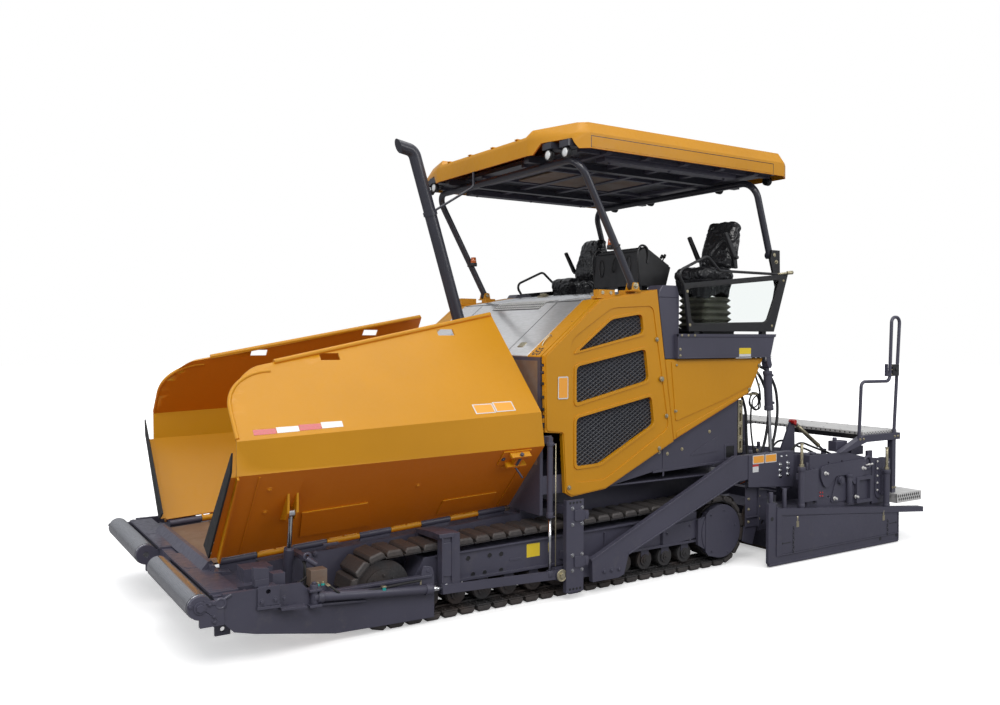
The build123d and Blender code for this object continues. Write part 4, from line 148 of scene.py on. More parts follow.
def paint(name, color, rough=0.38, coat=0.25, dust=0.25, shade=0.1, dust_top=1.2,
          dust_color=(0.3, 0.27, 0.23), painted_down_shade=None):
    """Sprayed paint: slight colour drift, orange peel, fine scuffs, road dust low down and, when given, a
    painted shade on faces that look down.
    """
    m, t, s = new_mat(name)
    v = coords(t)
    base = ramp(t, noise_tex(t, v, 1.3, 3), (0.3, scaled(color, 1 - shade)),
                (0.7, scaled(color, 1 + shade * 0.7)))
    specks = ramp(t, noise_tex(t, v, 9, 8, 0.7), (0.56, BLACK), (0.72, WHITE))
    dust_mask = maths(t, "MULTIPLY", maths(t, "MULTIPLY", height_mask(t, 0.1, dust_top), dust), specks)
    base = mix(t, base, dust_color, dust_mask)
    if painted_down_shade:
        # painted shade: faces that look down take a deeper, redder tone
        up = parts_of(t, node(t, "NewGeometry").outputs["Normal"])["Z"]
        base = mix(t, base, painted_down_shade,
                   ramp(t, maths(t, "MULTIPLY_ADD", up, 0.5, 0.5), (0.18, WHITE), (0.48, BLACK)))
    link(t, base, s.inputs["Base Color"])
    vary_rough(t, s, noise_tex(t, v, 26, 5), rough, (0.35, 0.85), (0.7, 1.25))
    put(s, Coat_Weight=coat, Coat_Roughness=0.15)
    bump(t, s, noise_tex(t, v, 420, 2), 0.05, 0.0006)
    return m


def steel(name, color, rough=0.35, metal=1.0, streak=(1, 1, 1), rust=0.0, depth=0.08):
    """Bare metal: directional streaks, worn patches and a little rust."""
    m, t, s = new_mat(name)
    lines = noise_tex(t, coords(t, streak), 60, 6, 0.6)
    broad = noise_tex(t, coords(t), 2.2, 5, 0.6)
    base = ramp(t, lines, (0.3, scaled(color, 0.78)), (0.72, scaled(color, 1.15)))
    if rust:
        base = mix(t, base, (0.19, 0.095, 0.05), ramp(t, broad, (0.46, BLACK), (0.66, (rust,) * 3)))
    link(t, base, s.inputs["Base Color"])
    put(s, Metallic=metal)
    vary_rough(t, s, broad, rough, (0.3, 0.75), (0.75, 1.35))
    bump(t, s, lines, depth, 0.001)
    return m


def plastic(name, color, rough=0.5, grain=380, depth=0.12):
    m, t, s = new_mat(name)
    v = coords(t)
    base = ramp(t, noise_tex(t, v, 5, 4), (0.3, scaled(color, 0.85)), (0.7, scaled(color, 1.25, 0.004)))
    link(t, base, s.inputs["Base Color"])
    vary_rough(t, s, noise_tex(t, v, 14, 5), rough, (0.3, 0.85), (0.7, 1.2))
    bump(t, s, noise_tex(t, v, grain, 3), depth, 0.0008)
    return m


def diamond_mesh(name, color, pitch=0.018):
    """Expanded metal in YZ: diamond openings with raised strands; the openings are painted near black, a
    painted shade of the space behind.
    """
    m, t, s = new_mat(name)
    axes = parts_of(t, node(t, "TexCoord").outputs["Object"])
    lines = []
    for slope in (1.7, -1.7):
        wave = maths(t, "PINGPONG", maths(t, "MULTIPLY_ADD", axes["Z"], slope, axes["Y"]), pitch)
        lines.append(maths(t, "DIVIDE", wave, pitch))
    strand = ramp(t, maths(t, "MINIMUM", *lines), (0.12, WHITE), (0.26, BLACK))
    # painted shade: the openings go near black, the strands lighter
    link(t, mix(t, scaled(color, 0.35), scaled(color, 3.2), strand), s.inputs["Base Color"])
    put(s, Roughness=0.42, Metallic=0.3)
    bump(t, s, strand, 0.8, 0.003)
    return m


def glass(name, tint, rough=0.01):
    m, t, s = new_mat(name)
    s.inputs["Base Color"].default_value = (*tint, 1)
    put(s, Transmission_Weight=1.0, IOR=1.06)
    vary_rough(t, s, noise_tex(t, coords(t), 8, 4), rough, (0.3, 1), (0.8, 3))
    return m


def lens(name, color):
    m, t, s = new_mat(name)
    base = ramp(t, noise_tex(t, coords(t), 90, 2), (0.3, scaled(color, 0.85)), (0.7, color))
    link(t, base, s.inputs["Base Color"])
    put(s, Roughness=0.08, Coat_Weight=1.0, Specular_IOR_Level=0.8)
    return m


ORANGE = (0.6, 0.262, 0.0)
SLATE = (0.066, 0.064, 0.094)
MAT = {
    # the orange paint carries a redder painted shade on faces that look down
    "orange": paint("paint_orange", ORANGE, 0.46, 0.04, 0.15, 0.05, 0.9, painted_down_shade=(0.68, 0.165, 0.0)),
    "slate": paint("paint_slate", SLATE, 0.42, 0.12, 0.35, 0.12, 0.9, dust_color=(0.125, 0.118, 0.118)),
    "slate_clean": paint("paint_slate_clean", SLATE, rough=0.36, coat=0.2, dust=0.0, shade=0.08),
    "post": paint("paint_post", (0.036, 0.037, 0.05), rough=0.34, dust=0.0, shade=0.12),
    "black": paint("paint_black", (0.012, 0.012, 0.014), rough=0.36, dust=0.0),
    "strand": paint("grille_grey", (0.085, 0.088, 0.1), rough=0.4, coat=0.1, dust=0.3, shade=0.15),
    "sticker": paint("sticker_orange", (0.93, 0.4, 0.05), rough=0.35, dust=0, shade=0.02),
    "sticker_yellow": paint("sticker_yellow", (0.85, 0.62, 0.03), rough=0.35, dust=0, shade=0.02),
    "roller": steel("roller_steel", (0.4, 0.405, 0.43), rough=0.24, metal=0.85, streak=(0.15, 4, 4),
                    depth=0.05),
    "track": steel("track_steel", (0.07, 0.068, 0.07), rough=0.6, metal=0.5, rust=0.22, depth=0.25),
    "pad": steel("track_pad", (0.088, 0.08, 0.078), rough=0.55, metal=0.4, rust=0.12, depth=0.35),
    "worn": steel("worn_steel", (0.25, 0.19, 0.15), 0.5, 0.45, streak=(6, 0.25, 6), rust=0.55, depth=0.12),
    "chrome": steel("rod_chrome", (0.72, 0.73, 0.75), rough=0.12, depth=0.01),
    "zinc": steel("zinc_yellow", (0.52, 0.47, 0.33), rough=0.38, metal=0.85, depth=0.05),
    "polished": steel("hood_polish", (0.93, 0.93, 0.93), 0.17, 0.65, streak=(0.2, 3, 3), depth=0.02),
    "board": steel("tread_board", (0.8, 0.79, 0.77), rough=0.4, metal=0.35, streak=(0.3, 3, 3), depth=0.05),
    "iron": steel("engine_iron", (0.05, 0.05, 0.055), rough=0.6, metal=0.5, depth=0.1),
    "rubber": plastic("rubber_black", (0.018, 0.018, 0.019), rough=0.72, grain=160, depth=0.2),
    "plastic": plastic("plastic_black", (0.02, 0.02, 0.022), rough=0.42),
    "sheet": plastic("cover_black", (0.014, 0.014, 0.016), rough=0.22, grain=40, depth=0.25),
    "bellows": plastic("bellows_olive", (0.045, 0.044, 0.032), rough=0.55, grain=120, depth=0.25),
    "teal": plastic("valve_cap_teal", (0.01, 0.3, 0.28), rough=0.4),
    "mesh": diamond_mesh("grille_mesh", (0.018, 0.019, 0.026)),
    "pane": glass("pane_glass", (0.9, 0.94, 0.93)),
    "lens": lens("lamp_lens", (0.85, 0.87, 0.88)),
    "amber": lens("lamp_amber", (0.75, 0.16, 0.02)),
    "red": lens("tape_red", (0.55, 0.018, 0.014)),
    "silver": lens("tape_white", (0.78, 0.79, 0.79)),
}
# slot names by first material, unless a piece names another; the pieces look one up, but it is not applied
SLOT_OF = {"orange": "body_paint", "silver": "body_paint", "slate": "frame_paint",
           "slate_clean": "frame_paint",
           "worn": "frame_paint", "zinc": "zinc", "rubber": "rubber_black", "bellows": "rubber_black",
           "plastic": "plastic_black", "sheet": "plastic_black", "black": "black_paint",
           "chrome": "rod_chrome",
           "track": "track_steel", "pad": "track_steel", "roller": "roller_steel", "iron": "engine_iron",
           "strand": "mesh_black", "board": "walkway_board"}

# a name that ends in * stands for its left and right node
NODE_MATERIALS = {
    "post": "canopy_frame exhaust_pipe",
    "slate": "auger_bracket chassis_frame cylinder_brackets dash_cabinet end_gates final_drive_covers "
             "front_bumper front_guards guide_posts hopper_barrel_* hopper_bulkhead lift_barrels platform_deck "
             "platform_side_boxes rear_body screed_frame screed_handrails side_skirts tow_arms tow_point_gear "
             "track_frames",
    "orange": "canopy_roof hood_sides hopper_wing_* rear_side_panels side_door_*",
    "black": "grab_rails screen_frames",
    "roller": "push_roller_*",
    "track": "track_* track_rollers auger_*",
    "worn": "conveyor_deck conveyor_slats screed_plate",
    "chrome": "hopper_rod_* lift_rods",
    "zinc": "slotted_brackets",
    "polished": "hood_center",
    "board": "screed_walkway",
    "iron": "engine_block",
    "rubber": "hopper_flap_* seat_bases",
    "plastic": "console seats",
    "mesh": "door_grilles_*",
    "pane": "side_glass",
    "lens": "canopy_lights",
}
SOFT_EDGE = {"track_*": 0.003, "side_glass": 0, "conveyor_slats": 0.002, "door_grilles_*": 0,
             "canopy_roof": 0.014,
             "side_door_*": 0.01, "rear_side_panels": 0.01, "canopy_lights": 0.003}
USUAL_EDGE = 0.004
SHARP = math.radians(35)


def modify(obj, name, kind, **values):
    mod = obj.modifiers.new(name, kind)
    for key, value in values.items():
        setattr(mod, key, value)


def dress(piece, material, width):
    """Material and soft edges of a node."""
    if not piece.material_slots:
        piece.data.materials.append(material)
    for slot in piece.material_slots:
        slot.material = material
    if width:
        modify(piece, "weld", "WELD", merge_threshold=0.00005)
        modify(piece, "soft_edges", "BEVEL", width=width, segments=2, limit_method="ANGLE", angle_limit=SHARP,
               harden_normals=True, use_clamp_overlap=True)
        modify(piece, "even_shading", "WEIGHTED_NORMAL", mode="FACE_AREA", weight=60)


for key, names in NODE_MATERIALS.items():
    for name in names.split():
        for node_name in [name[:-1] + hand for hand in ("left", "right")] if name.endswith("*") else [name]:
            dress(NODES[node_name], MAT[key], SOFT_EDGE.get(name, USUAL_EDGE))


# ------------------------------------------------------------------ camera
def place_camera(place, turn, dip, roll, lens_mm):
    """Angles in degrees: turn from +Y, dip below the horizon and roll."""
    data = bpy.data.cameras.new("camera")
    data.lens = lens_mm
    data.sensor_width = 36
    cam = bpy.data.objects.new("camera", data)
    SCENE.collection.objects.link(cam)
    turn, dip, roll = math.radians(turn), math.radians(dip), math.radians(roll)
    forward = Vector((-math.sin(turn) * math.cos(dip), math.cos(turn) * math.cos(dip), -math.sin(dip)))
    right = Vector((math.cos(turn), math.sin(turn), 0))
    up = right.cross(forward)
    side = right * math.cos(roll) + up * math.sin(roll)
    top = up * math.cos(roll) - right * math.sin(roll)
    rotation = Matrix((side, top, -forward)).transposed().to_4x4()
    cam.matrix_world = Matrix.Translation(place) @ rotation
    SCENE.camera = cam


# front left of the machine at standing height, seen along its body
place_camera((7.131, -5.197, 2.162), 57.26, 1.1, 0.16, 32.2)


# ------------------------------------------------------------------ mesh helpers
FINE_EDGE = 0.0015      # bevels up to this width take one segment


def new_object(name, bm):
    bmesh.ops.recalc_face_normals(bm, faces=bm.faces)
    mesh = bpy.data.meshes.new(name)
    bm.to_mesh(mesh)
    bm.free()
    obj = bpy.data.objects.new(name, mesh)
    SCENE.collection.objects.link(obj)
    return obj


def finish_mesh(name, bm, materials, body, edge=0.0, smooth=False, segments=2, slot=None):
    """Turn a bmesh into a piece that rides on a body."""
    obj = new_object(name, bm)
    for m in materials:
        obj.data.materials.append(m)
    if smooth:
        for f in obj.data.polygons:
            f.use_smooth = True
    if edge:
        modify(obj, "edges", "BEVEL", width=edge, segments=1 if edge <= FINE_EDGE else segments,
               limit_method="ANGLE", angle_limit=SHARP, use_clamp_overlap=True)
    if body:
        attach(obj, body)
    return obj


def turns(count):
    """Angles of equal steps round a circle."""
    return [2 * math.pi * k / count for k in range(count)]


def orbit(centre, radius, angle):
    return centre[0] + radius * math.cos(angle), centre[1] + radius * math.sin(angle)


def paint_faces(faces, mat):
    for f in faces:
        f.material_index = mat


def add_box(bm, low, high, mat=0):
    c = [(low[i] + high[i]) / 2 for i in range(3)]
    s = [abs(high[i] - low[i]) for i in range(3)]
    geo = bmesh.ops.create_cube(bm, size=1, matrix=Matrix.Translation(c) @ Matrix.Diagonal((*s, 1)))
    paint_faces({f for v in geo["verts"] for f in v.link_faces}, mat)


def add_rod(bm, start, end, radius, sides=20, mat=0, radius2=None):
    a, b = Vector(start), Vector(end)
    d = b - a
    place = Matrix.Translation((a + b) / 2) @ d.to_track_quat("Z", "Y").to_matrix().to_4x4()
    geo = bmesh.ops.create_cone(bm, cap_ends=True, cap_tris=False, segments=sides, radius1=radius,
                                radius2=radius if radius2 is None else radius2, depth=d.length, matrix=place)
    for f in {f for v in geo["verts"] for f in v.link_faces}:
        f.material_index = mat
        if len(f.verts) == 4:
            f.smooth = sides > 8


def wall(bm, a, b, mat=0, smooth=False):
    """Faces between two closed rings."""
    n = len(a)
    for k in range(n):
        f = bm.faces.new((a[k], a[(k + 1) % n], b[(k + 1) % n], b[k]))
        f.material_index, f.smooth = mat, smooth


def loft(bm, rings, caps=True, mat=0, smooth=False):
    """Walls from ring to ring, closed at both ends unless caps is off."""
    for a, b in zip(rings, rings[1:]):
        wall(bm, a, b, mat, smooth)
    if caps:
        bm.faces.new(list(reversed(rings[0])))
        bm.faces.new(rings[-1])


def slab(bm, a, b, mat=0):
    """A closed plate between two outlines of the same count."""
    n = len(a)
    faces = [bm.faces.new(a), bm.faces.new(list(reversed(b)))]
    for i in range(n):
        faces.append(bm.faces.new((a[i], b[i], b[(i + 1) % n], a[(i + 1) % n])))
    paint_faces(faces, mat)


def add_ring(bm, centre, axis, radius, tube, mat=0, sides=28, tube_sides=8):
    """A torus round an axis."""
    m = Matrix.Translation(centre) @ Vector(axis).to_track_quat("Z", "Y").to_matrix().to_4x4()
    rings = []
    for a in turns(sides):
        ring = []
        for b in turns(tube_sides):
            r = radius + tube * math.cos(b)
            ring.append(bm.verts.new(m @ Vector((r * math.cos(a), r * math.sin(a), tube * math.sin(b)))))
        rings.append(ring)
    loft(bm, rings + rings[:1], False, mat, True)


def add_bolt(bm, point, axis, across, height, mat=0):
    """Hexagon bolt head on its washer."""
    p, n = Vector(point), Vector(axis).normalized()
    foot = 0.002
    add_rod(bm, p - n * foot, p + n * 0.0025, across * 0.95, 16, mat)
    add_rod(bm, p + n * foot, p + n * (foot + height), across * 0.58, 6, mat)
    add_rod(bm, p + n * (foot + height * 0.9), p + n * (foot + height + 0.0012), across * 0.42, 12, mat,
            radius2=across * 0.34)


def placed(u, v, w, plane):
    """A point of an outline at station w. YZ at X, XZ at Y or XY at Z."""
    return {"YZ": (w, u, v), "XZ": (u, w, v), "XY": (u, v, w)}[plane]


def prism(bm, points, low, high, plane="YZ", mat=0):
    """Extrude an outline between two stations."""
    slab(bm, *[[bm.verts.new(placed(u, v, w, plane)) for u, v in points] for w in (low, high)], mat)


def plate_holes(bm, outer, holes, low, high):
    """A flat plate in YZ with openings, between two stations along X."""
    edges, loops = [], []
    for points in [outer] + holes:
        ring = [bm.verts.new((high, y, z)) for y, z in points]
        loops.append(ring)
        for i in range(len(ring)):
            edges.append(bm.edges.new((ring[i], ring[(i + 1) % len(ring)])))
    filled = bmesh.ops.triangle_fill(bm, edges=edges, use_beauty=True, use_dissolve=False)
    top = [f for f in filled["geom"] if isinstance(f, bmesh.types.BMFace)]
    foot = {v: bm.verts.new((low, v.co.y, v.co.z)) for v in {v for f in top for v in f.verts}}
    for f in top:
        bm.faces.new([foot[v] for v in reversed(f.verts)])
    for ring in loops:
        for a, b in zip(ring, ring[1:] + ring[:1]):
            bm.faces.new((a, b, foot[b], foot[a]))


def rect(u0, v0, u1, v1):
    return [(u0, v0), (u1, v0), (u1, v1), (u0, v1)]


def rounded(points, radius, steps=4):
    """Round the corners of a closed outline."""
    out = []
    n = len(points)
    for i in range(n):
        p0, p1, p2 = (Vector(points[(i + k) % n]) for k in (-1, 0, 1))
        a, b = (p0 - p1), (p2 - p1)
        r = min(radius, a.length * 0.45, b.length * 0.45)
        s, e = p1 + a.normalized() * r, p1 + b.normalized() * r
        for k in range(steps + 1):
            t = k / steps
            q = s * (1 - t) ** 2 + p1 * 2 * t * (1 - t) + e * t ** 2
            out.append((q.x, q.y))
    return out


def outset(points, distance):
    """Move a closed outline outwards."""
    n = len(points)
    pairs = zip(points, points[1:] + points[:1])
    sign = 1 if sum(a[0] * b[1] - b[0] * a[1] for a, b in pairs) > 0 else -1
    out = []
    for i in range(n):
        p0, p1, p2 = (Vector(points[(i + k) % n]) for k in (-1, 0, 1))
        a, b = (p1 - p0).normalized(), (p2 - p1).normalized()
        na, nb = Vector((a.y, -a.x)) * sign, Vector((b.y, -b.x)) * sign
        m = (na + nb).normalized()
        q = p1 + m * (distance / max(0.35, m.dot(na)))
        out.append((q.x, q.y))
    return out


def tube(name, points, radius, key, body="tractor", resolution=10, sides=3, slot=None):
    """A smooth tube along a NURBS route."""
    data = bpy.data.curves.new(name, "CURVE")
    data.dimensions = "3D"
    spline = data.splines.new("NURBS")
    spline.points.add(len(points) - 1)
    for p, co in zip(spline.points, points):
        p.co = (*co, 1)
    spline.order_u = min(3, len(points))
    spline.use_endpoint_u = True
    spline.resolution_u = resolution
    data.bevel_depth = radius
    data.bevel_resolution = sides
    data.use_fill_caps = True
    data.materials.append(MAT[key])
    obj = bpy.data.objects.new(name, data)
    SCENE.collection.objects.link(obj)
    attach(obj, body)
    slot or SLOT_OF[key]


def hose(name, side, route, radius, key="rubber", body="tractor", resolution=8):
    """A tube whose route is given for the left side."""
    tube(name, [(side * x, y, z) for x, y, z in route], radius, key, body, resolution, slot="rubber_black")


def both():
    return (1, "left"), (-1, "right")


def flip(side, low, high):
    """Stations along X for one side of the machine."""
    return (low, high) if side > 0 else (-high, -low)


class Work:
    """A mesh in the making. Its numbers are for the left side, and X turns over with the side."""

    def __init__(self, side=1, hand=""):
        self.bm, self.side, self.hand = bmesh.new(), side, hand

    def at(self, x, y, z):
        return self.side * x, y, z

    def box(self, low, high, mat=0):
        add_box(self.bm, self.at(*low), self.at(*high), mat)

    def rod(self, start, end, radius, sides=20, mat=0, radius2=None):
        add_rod(self.bm, self.at(*start), self.at(*end), radius, sides, mat, radius2)

    def pin(self, x0, x1, y, z, *shape, **more):
        """A rod along X."""
        self.rod((x0, y, z), (x1, y, z), *shape, **more)

    def pins(self, x0, x1, spots, *shape):
        for y, z in spots:
            self.pin(x0, x1, y, z, *shape)

    def post(self, x, y, z0, z1, *shape, **more):
        """A rod along Z."""
        self.rod((x, y, z0), (x, y, z1), *shape, **more)

    def ring(self, centre, radius, tube, mat=0, sides=28, tube_sides=8, axis=(1, 0, 0)):
        add_ring(self.bm, self.at(*centre), axis, radius, tube, mat, sides, tube_sides)

    def bolt(self, point, across, height, mat=0, axis=(1, 0, 0)):
        add_bolt(self.bm, self.at(*point), self.at(*axis), across, height, mat)

    def bolts(self, x, spots, across, height):
        for y, z in spots:
            self.bolt((x, y, z), across, height)

    def plate(self, points, low, high, soft=0, mat=0, steps=4):
        """An outline in YZ between two stations along X, its corners softened."""
        outline = rounded(points, soft, steps) if soft else points
        prism(self.bm, outline, *flip(self.side, low, high), mat=mat)

    def panel(self, y0, z0, y1, z1, low, high, soft=0, mat=0):
        """A rectangular plate."""
        self.plate(rect(y0, z0, y1, z1), low, high, soft, mat)

    def frame(self, outer, holes, low, high):
        plate_holes(self.bm, outer, holes, *flip(self.side, low, high))

    def done(self, name, keys, body="tractor", slot=None, **finish):
        """Close the piece."""
        keys = (keys,) if isinstance(keys, str) else keys
        name += "_" + self.hand if self.hand else ""
        return finish_mesh(name, self.bm, [MAT[key] for key in keys], body, slot=slot or SLOT_OF[keys[0]],
                           **finish)


# ------------------------------------------------------------------ floor, world and lights
def make_floor():
    """A pale floor that glows towards the horizon, for the camera only."""
    bm = bmesh.new()
    half = 60
    bmesh.ops.create_grid(bm, x_segments=2, y_segments=2, size=half)
    floor_mat, t, s = new_mat("floor_white")
    v = coords(t)
    seen = node(t, "LightPath").outputs["Is Camera Ray"]
    pale = ramp(t, noise_tex(t, v, 0.6, 3), (0.3, (0.9, 0.9, 0.905)), (0.7, (0.93, 0.93, 0.93)))
    link(t, mix(t, (0.26, 0.26, 0.27), pale, seen), s.inputs["Base Color"])
    far = node(t, "VectorMath", operation="LENGTH")
    link(t, v, far.inputs[0])
    glow = ramp(t, maths(t, "DIVIDE", far.outputs["Value"], half), (0.1, (0.42, 0.42, 0.42)), (0.24, WHITE))
    link(t, mix(t, BLACK, glow, seen), s.inputs["Emission Color"])
    put(s, Roughness=0.8, Specular_IOR_Level=0.1, Emission_Strength=1.0)
    floor = finish_mesh("floor", bm, [floor_mat], None)
    floor.location = (0, 0, -0.003)


def make_world():
    """A soft sky for the light, and plain white for the camera and through glass."""
    world = bpy.data.worlds.new("studio")
    SCENE.world = world
    world.use_nodes = True
    t = world.node_tree
    t.nodes.clear()
    out = node(t, "OutputWorld")
    light = node(t, "Background", Strength=0.72)
    seen = node(t, "Background", Color=(1, 1, 1, 1), Strength=1.0)
    height = parts_of(t, node(t, "TexCoord").outputs["Generated"])["Z"]
    sky = ramp(t, height, (0.0, (0.42, 0.43, 0.45)), (0.3, (0.62, 0.64, 0.68)), (1.0, WHITE))
    link(t, sky, light.inputs["Color"])
    path = node(t, "LightPath").outputs
    choose = node(t, "MixShader")
    direct = maths(t, "MAXIMUM", path["Is Camera Ray"], path["Is Transmission Ray"])
    feed(t, choose, enumerate((direct, light.outputs[0], seen.outputs[0])))
    link(t, choose.outputs[0], out.inputs[0])


def area(name, place, aim, size, power, color=WHITE):
    data = bpy.data.lights.new(name, "AREA")
    data.shape = "RECTANGLE"
    data.size, data.size_y = size
    data.energy = power
    data.color = color
    obj = bpy.data.objects.new(name, data)
    obj.location = place
    obj.rotation_euler = (Vector(aim) - Vector(place)).to_track_quat("-Z", "Y").to_euler()
    SCENE.collection.objects.link(obj)


make_floor()
make_world()
area("key", (9, -6, 10), (0, 0, 1.2), (6, 5), 640, (1.0, 0.985, 0.96))
area("side", (11, 5, 6), (0, 1, 1.0), (7, 4), 260)
area("front", (1, -13, 6), (0, -2, 1.2), (7, 4), 260)
area("top", (0, 0, 13), (0, 0, 0), (9, 10), 520)
SCENE.view_settings.view_transform = "Standard"


# ------------------------------------------------------------------ hopper wings
WING_FRONT_Y, WING_REAR_Y = -3.483, -1.009
WING_FRONT = [(0.784, 0.582), (1.27, 1.228), (1.28, 1.46), (0.892, 1.891)]
WING_REAR = [(0.786, 0.72), (1.304, 1.276), (1.292, 1.55), (0.627, 2.363)]


def wing_point(y, band, t, lift=0.0, side=1):
    """A point on the outer skin: band 0 is the lower slope, 1 the upright band, 2 the upper slope."""
    share = (y - WING_FRONT_Y) / (WING_REAR_Y - WING_FRONT_Y)
    corners = [Vector(a).lerp(Vector(b), share) for a, b in zip(WING_FRONT, WING_REAR)]
    a, b = corners[band], corners[band + 1]
    run = (b - a).normalized()
    p = a.lerp(b, t) + Vector((run.y, -run.x)) * lift
    return Vector((side * p.x, y, p.y))


def wing_patch(w, corners, band, thick, mat=0, lift=0.0008):
    """A thin plate on the skin, its corners given as (y, t), lower front first, then round."""
    (y0, t0), (y1, t1), (y2, t2), (y3, t3) = corners
    steps = 6
    rows = []
    for i in range(steps + 1):
        s = i / steps
        ends = (y0 + (y1 - y0) * s, t0 + (t1 - t0) * s), (y3 + (y2 - y3) * s, t3 + (t2 - t3) * s)
        rows.append([w.bm.verts.new(wing_point(y, band, t, rise, w.side))
                     for rise in (lift + thick, lift) for y, t in ends])
    faces = []
    for a, b in zip(rows, rows[1:]):
        for ring in ((a[0], b[0], b[1], a[1]), (a[2], a[3], b[3], b[2]), (a[0], a[2], b[2], b[0]),
                     (a[1], b[1], b[3], a[3])):
            faces.append(w.bm.faces.new(ring))
    a, b = rows[0], rows[-1]
    faces.append(w.bm.faces.new((a[0], a[1], a[3], a[2])))
    faces.append(w.bm.faces.new((b[0], b[2], b[3], b[1])))
    paint_faces(faces, mat)


for side, hand in both():
    body = "hopper_wing_" + hand
    # reflective tape in four fields along the outer skin
    w = Work(side, hand)
    edges = [-3.365, -3.205, -3.045, -2.885, -2.725]
    for i in range(4):
        a, b = edges[i] + 0.002, edges[i + 1] - 0.002
        wing_patch(w, [(a, 0.058), (b, 0.054), (b, 0.122), (a, 0.134)], 2, 0.0006, i % 2)
    w.done("wing_tape", ("red", "silver"), body, slot="body_paint")
    # two blank labels near the rear
    w = Work(side, hand)
    for a in (-1.64, -1.455):
        wing_patch(w, [(a, 0.04), (a + 0.18, 0.036), (a + 0.172, 0.128), (a - 0.008, 0.138)], 2, 0.0005)
        wing_patch(w, [(a + 0.01, 0.048), (a + 0.17, 0.044), (a + 0.163, 0.12), (a + 0.003, 0.13)], 2, 0.001,
                   1)
    w.done("wing_labels", ("silver", "sticker"), body)
    # stiffening plate on the lower slope, weld seams, plug bolts
    w = Work(side, hand)
    wing_patch(w, [(-2.9, 0.115), (-2.33, 0.1), (-2.43, 0.455), (-2.94, 0.45)], 0, 0.01)
    wing_patch(w, rect(-1.75, 0.08, -1.25, 0.3), 0, 0.008)
    for y, t in ((-3.23, 0.8), (-3.22, 0.52), (-2.66, 0.3), (-2.05, 0.6), (-1.5, 0.2), (-1.33, 0.72)):
        p = wing_point(y, 0, t, 0.0, side)
        q = wing_point(y, 0, t, 1.0, side)
        add_bolt(w.bm, p, q - p, 0.024, 0.006)
    for y in (-3.33, -1.16):
        wing_patch(w, rect(y, 0.03, y + 0.012, 0.97), 0, 0.006)
    w.done("wing_plates", "orange", body, edge=0.003)
    # rolled rim round the mouth's upper corner
    arc = []
    for i in range(25):
        s = i / 24
        if s < 0.42:
            y, z = -3.474, 1.475 + (1.66 - 1.475) * s / 0.42
        else:
            a = (s - 0.42) / 0.58 * math.pi / 2
            y, z = -3.474 + 0.235 * (1 - math.cos(a)) * 1.45, 1.66 + 0.245 * math.sin(a)
        share = (y - WING_FRONT_Y) / (WING_REAR_Y - WING_FRONT_Y)
        c = [Vector(p).lerp(Vector(q), share) for p, q in zip(WING_FRONT, WING_REAR)]
        t = (z - c[2].y) / (c[3].y - c[2].y)
        arc.append(wing_point(y, 2, min(max(t, 0.0), 1.0), -0.004, side))
    tube("wing_rim_" + hand, arc, 0.015, "orange", body, resolution=4, sides=2)
    # transport lock: bracket, pivot and lever at the rear of the upright band
    w = Work(side, hand)
    for t in (0.8, 0.945):
        wing_patch(w, rect(-1.34, t - 0.014, -1.16, t + 0.014), 0, 0.06)
    wing_patch(w, rect(-1.4, 0.775, -1.14, 0.975), 0, 0.01)
    wing_patch(w, rect(-1.285, 0.79, -1.215, 0.955), 0, 0.048)
    low, high = wing_point(-1.25, 0, 0.775, 0.045, side), wing_point(-1.25, 0, 0.985, 0.045, side)
    add_rod(w.bm, low, high, 0.015, 16, 1)
    add_rod(w.bm, low, low + Vector((side * 0.02, 0.06, -0.09)), 0.008, 10, 1)
    for y in (-1.375, -1.155):
        add_bolt(w.bm, wing_point(y, 0, 0.87, 0.01, side), (side * 0.8, 0, -0.6), 0.02, 0.01, 1)
    w.done("wing_lock", ("orange", "slate"), body, edge=0.003)

    # bolts of the flap's clamp strip
    w = Work(side, hand)
    for i in range(7):
        s = 0.06 + 0.88 * i / 6
        x = 0.79 + (1.262 - 0.79) * s
        z = 0.6 + (1.215 - 0.6) * s
        w.bolt((x - 0.008, -3.53, z + 0.006), 0.017, 0.009, axis=(0, -1, 0))
    w.done("flap_bolts", "zinc", body, edge=0.001)


# ------------------------------------------------------------------ engine doors
DOOR = [(-0.976, 1.998), (-0.405, 2.467), (0.24, 2.57), (0.448, 1.215), (-0.336, 0.86), (-0.698, 0.825),
        (-0.763, 0.862), (-0.794, 1.358), (-0.965, 1.374)]
RECESS = [(-0.713, 2.126), (-0.281, 2.399), (0.19, 2.425), (0.385, 1.338), (-0.355, 0.935), (-0.684, 0.94)]
WINDOWS = [[(-0.649, 2.026), (-0.278, 2.304), (0.064, 2.354), (0.086, 2.183)],
           [(-0.657, 1.906), (0.107, 2.05), (0.146, 1.768), (-0.657, 1.592)],
           [(-0.657, 1.476), (0.18, 1.633), (0.212, 1.379), (-0.396, 1.077), (-0.655, 1.067)]]

